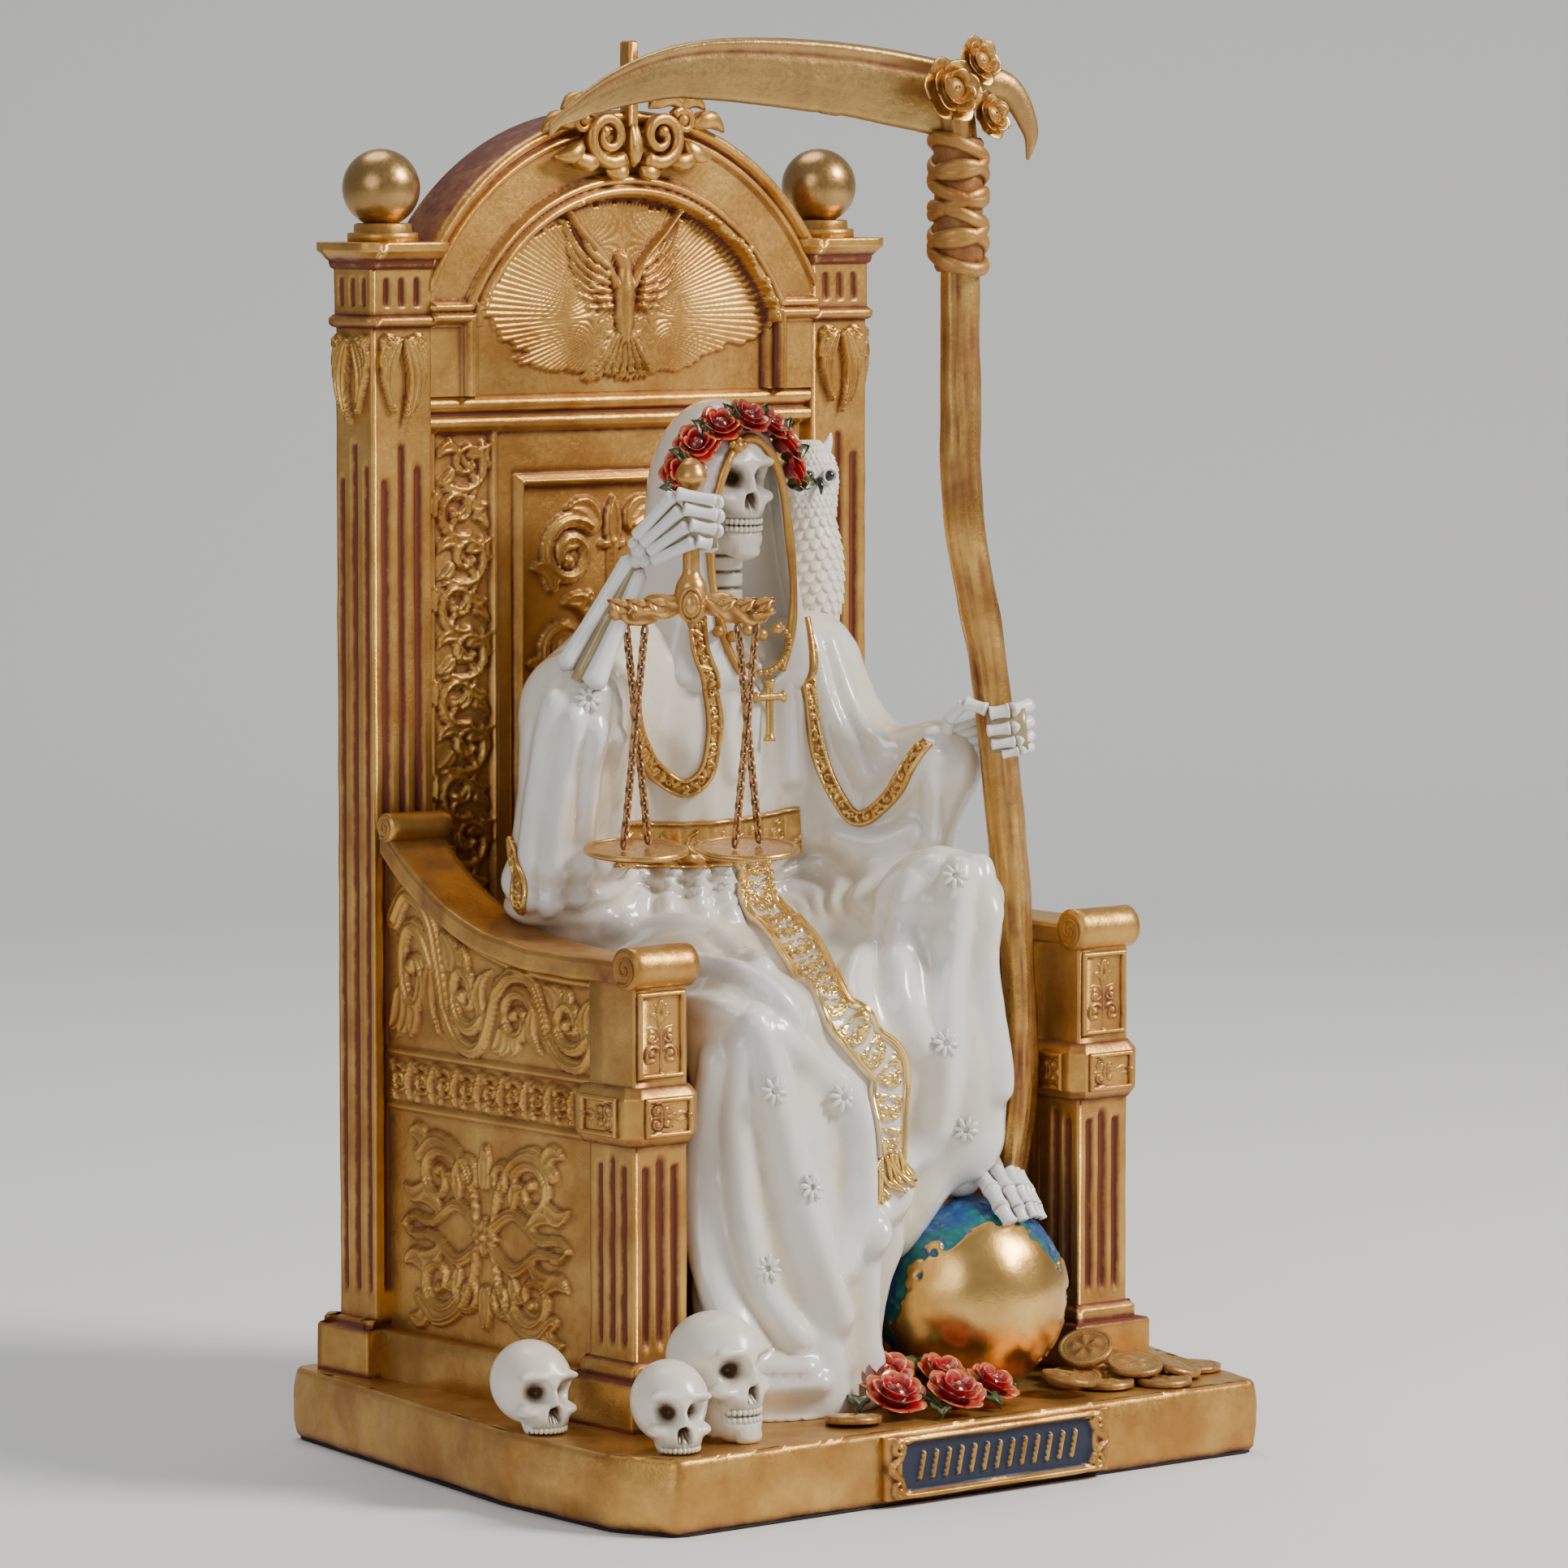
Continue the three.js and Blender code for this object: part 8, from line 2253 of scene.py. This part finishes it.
def jewels():
    """A string of beads with a cross, and the knots along the hood's lower edge."""
    shape = Shape()
    line = seen([(-4.5, 178), (-2, 176.4), (1, 176.6), (3.6, 178), (6.4, 181), (6.6, 184), (3.6, 187)],
                CHEST, dress_field)
    _, beads = even(line, 1.35)
    _, normal = slope(beads, dress_field)
    for place, out in zip(beads, normal):
        sphere(shape, place + out * 1.1, size_of("bead"), 8, 10, 0.25)
    top, low_end, left, right = seen([(1.6, 174.6), (1.6, 160.6), (-2.6, 170.6), (5.8, 170.6)], CHEST,
                                     body_field)
    out = unit(TOWARD + [0, -0.2, 0])
    for a, b in ((top, low_end), (left, right)):
        line = np.stack([lerp(a, b, t) for t in np.linspace(0, 1, 24)]) + out * 3.0
        line = lerp(line, line.mean(0) + (np.linspace(-0.5, 0.5, 24)[:, None] * (b - a)), 0.8)
        t = np.abs(np.linspace(-1, 1, 24))
        shape.tube(swept(line, 0.85 + 0.55 * smooth((t - 0.75) / 0.2), 12, up=out, flat=0.7), 0.2)
    sphere(shape, (top + out * 3.0) + [0, 0, 1.6], 0.9, 10, 14, 0.2)
    for k in range(5):
        knot = seen([(-13 + 4.2 * k, 186 - 1.2 * (k % 2))], CHEST, dress_field)[0]
        sphere(shape, knot + out * 1.2, (1.5, 1.3, 1.4), 12, 16, 0.3)
    shape.piece("necklace", "trim", "gilt", "figure")


def felt():
    """A thin sheet with the base's outline, set in a little."""
    shape = Shape()
    outline = base_outline(200)
    away = unit(outline - BASE_MIDDLE)
    share = np.array([0.02, 0.5, 1, 1, 1, 0.5, 0.02])
    z = np.array([felt_low[2], felt_low[2], felt_low[2], 0.5 * FELT_TOP, FELT_TOP - 0.02, FELT_TOP - 0.02,
                  FELT_TOP - 0.02])
    ring = BASE_MIDDLE + (outline - BASE_MIDDLE - away * 1.3)[None] * share[:, None, None]
    grid = lifted(ring, z)
    shape.tube(grid, 0.0)
    shape.piece("felt_under_base", "felt", "felt", "felt_pad")


# Stage

def stage():
    """A floor that rises into a backdrop behind the figurine, soft lights and the camera."""
    s = np.concatenate([np.linspace(-2.2, 1.2, 30), np.linspace(1.2, 2.4, 40)[1:]])
    bend = clamp((s - 1.2) / 1.2)
    height = 1.6 * bend ** 2
    away = np.array([0.632, 0.770])
    across = np.array([0.770, -0.632])
    wide = np.linspace(-3.2, 3.2, 20)
    ground = s[:, None, None] * away + wide[None, :, None] * across
    grid = lifted(ground, height)
    n, m = grid.shape[:2]
    index = np.arange(n * m).reshape(n, m)
    quads = squares(index)
    mesh = bpy.data.meshes.new("floor")
    mesh.from_pydata(grid.reshape(-1, 3).tolist(), [], quads.tolist())
    mesh.polygons.foreach_set("use_smooth", np.ones(len(quads), bool))
    material, principled, _ = shader("floor")
    principled.inputs["Base Color"].default_value = (0.72, 0.72, 0.71, 1)
    principled.inputs["Roughness"].default_value = 0.7
    mesh.materials.append(material)
    floor = bpy.data.objects.new("floor", mesh)
    bpy.context.scene.collection.objects.link(floor)
    world = bpy.data.worlds.new("studio")
    bpy.context.scene.world = world
    world.use_nodes = True
    world.node_tree.nodes["Background"].inputs[0].default_value = (0.80, 0.81, 0.83, 1)
    world.node_tree.nodes["Background"].inputs[1].default_value = 0.37
    add_light("key", (0.75, -1.05, 1.15), 0.5, 36.0, (1.0, 0.97, 0.93))
    add_light("fill", (-1.5, -0.7, 0.8), 1.1, 8.0, (0.95, 0.97, 1.0))
    add_light("top", (0.1, 0.5, 1.5), 0.9, 9.0, (1.0, 1.0, 1.0))
    camera = bpy.data.cameras.new("camera")
    camera.lens = 172.09
    camera.sensor_width = 36.0
    camera.clip_start = 0.1
    camera.clip_end = 20.0
    eye = bpy.data.objects.new("camera", camera)
    place = np.array([-1.06823, -1.35967, 0.29459])
    aim(eye, place, np.array([0.01574, -0.0384, 0.14934]))
    bpy.context.scene.collection.objects.link(eye)
    bpy.context.scene.camera = eye


def aim(thing, place, target):
    """Puts a camera or light at a place and turns it to look at the target."""
    look = Vector(target - place)
    thing.location = place
    thing.rotation_euler = look.to_track_quat("-Z", "Y").to_euler()


def add_light(name, place, size, power, colour):
    """A round soft light that looks at the figurine."""
    lamp = bpy.data.lights.new(name, "AREA")
    lamp.shape = "DISK"
    lamp.size = size
    lamp.energy = power
    lamp.color = colour
    thing = bpy.data.objects.new(name, lamp)
    aim(thing, np.array(place), np.array([0.0, -0.05, 0.15]))
    bpy.context.scene.collection.objects.link(thing)


# Operators and panel

class FigurineFelt(bpy.types.Operator):
    """The black felt under the base"""
    bl_idname = "figurine.felt"
    bl_label = "Felt"

    def execute(self, context):
        felt()
        return {"FINISHED"}


class FigurineThrone(bpy.types.Operator):
    """Base, posts, back, arch, arms and balls"""
    bl_idname = "figurine.throne"
    bl_label = "Throne"

    def execute(self, context):
        throne()
        return {"FINISHED"}


class FigurineRobe(bpy.types.Operator):
    """The robe with its folds and stars"""
    bl_idname = "figurine.robe"
    bl_label = "Robe"

    def execute(self, context):
        robe()
        return {"FINISHED"}


class FigurineHood(bpy.types.Operator):
    """The hood and its gold rim"""
    bl_idname = "figurine.hood"
    bl_label = "Hood"

    def execute(self, context):
        hood()
        return {"FINISHED"}


class FigurineTrims(bpy.types.Operator):
    """Gold bands, belt and sash"""
    bl_idname = "figurine.trims"
    bl_label = "Trims"

    def execute(self, context):
        trims()
        return {"FINISHED"}


class FigurineBones(bpy.types.Operator):
    """Skull, neck, hands and foot"""
    bl_idname = "figurine.bones"
    bl_label = "Bones"

    def execute(self, context):
        bones()
        return {"FINISHED"}


class FigurineFlowers(bpy.types.Operator):
    """Red roses and their leaves"""
    bl_idname = "figurine.flowers"
    bl_label = "Flowers"

    def execute(self, context):
        flowers()
        return {"FINISHED"}


class FigurineOwl(bpy.types.Operator):
    """The white owl"""
    bl_idname = "figurine.owl"
    bl_label = "Owl"

    def execute(self, context):
        owl()
        return {"FINISHED"}


class FigurineGlobe(bpy.types.Operator):
    """The globe under the foot"""
    bl_idname = "figurine.globe"
    bl_label = "Globe"

    def execute(self, context):
        globe()
        return {"FINISHED"}


class FigurineSkulls(bpy.types.Operator):
    """The four skulls on the base"""
    bl_idname = "figurine.skulls"
    bl_label = "Skulls"

    def execute(self, context):
        skulls()
        return {"FINISHED"}


class FigurineCoins(bpy.types.Operator):
    """The coins on the base"""
    bl_idname = "figurine.coins"
    bl_label = "Coins"

    def execute(self, context):
        coins()
        return {"FINISHED"}


class FigurineScythe(bpy.types.Operator):
    """Shaft, cloth wrap, blade and gilt roses"""
    bl_idname = "figurine.scythe"
    bl_label = "Scythe"

    def execute(self, context):
        scythe()
        return {"FINISHED"}


class FigurineScales(bpy.types.Operator):
    """Handle, beam, pans and chains"""
    bl_idname = "figurine.scales"
    bl_label = "Scales"

    def execute(self, context):
        scales()
        return {"FINISHED"}


class FigurineJewels(bpy.types.Operator):
    """The necklace and the knots on the hood"""
    bl_idname = "figurine.jewels"
    bl_label = "Jewels"

    def execute(self, context):
        jewels()
        return {"FINISHED"}


class FigurineStage(bpy.types.Operator):
    """Floor, lights and camera"""
    bl_idname = "figurine.stage"
    bl_label = "Stage"

    def execute(self, context):
        stage()
        return {"FINISHED"}


OPERATORS = (FigurineFelt, FigurineThrone, FigurineRobe, FigurineHood, FigurineTrims,
             FigurineBones, FigurineFlowers, FigurineOwl, FigurineGlobe, FigurineSkulls,
             FigurineCoins, FigurineScythe, FigurineScales, FigurineJewels, FigurineStage)


class FigurinePanel(bpy.types.Panel):
    """Sizes, colours and a button for each piece"""
    bl_idname = "FIGURINE_PT_panel"
    bl_label = "Figurine"
    bl_space_type = "VIEW_3D"
    bl_region_type = "UI"
    bl_category = "Figurine"

    def draw(self, context):
        """All properties, then the buttons."""
        for group in (context.scene.figurine_sizes, context.scene.figurine_colours):
            for name in type(group).__annotations__:
                self.layout.prop(group, name)
        for operator in OPERATORS:
            self.layout.operator(operator.bl_idname)


CLASSES = (FigurineSizes, FigurineColours, *OPERATORS, FigurinePanel)


def register():
    """Registers the classes and hangs the settings on the scene."""
    for cls in CLASSES:
        bpy.utils.register_class(cls)
    bpy.types.Scene.figurine_sizes = bpy.props.PointerProperty(type=FigurineSizes)
    bpy.types.Scene.figurine_colours = bpy.props.PointerProperty(type=FigurineColours)


def unregister():
    """Takes it all back."""
    del bpy.types.Scene.figurine_colours
    del bpy.types.Scene.figurine_sizes
    for cls in reversed(CLASSES):
        bpy.utils.unregister_class(cls)


def main():
    """Builds everything."""
    register()
    bpy.ops.figurine.felt()
    bpy.ops.figurine.throne()
    bpy.ops.figurine.robe()
    bpy.ops.figurine.hood()
    bpy.ops.figurine.trims()
    bpy.ops.figurine.bones()
    bpy.ops.figurine.flowers()
    bpy.ops.figurine.owl()
    bpy.ops.figurine.globe()
    bpy.ops.figurine.skulls()
    bpy.ops.figurine.coins()
    bpy.ops.figurine.scythe()
    bpy.ops.figurine.scales()
    bpy.ops.figurine.jewels()
    bpy.ops.figurine.stage()


if __name__ == "__main__":
    main()
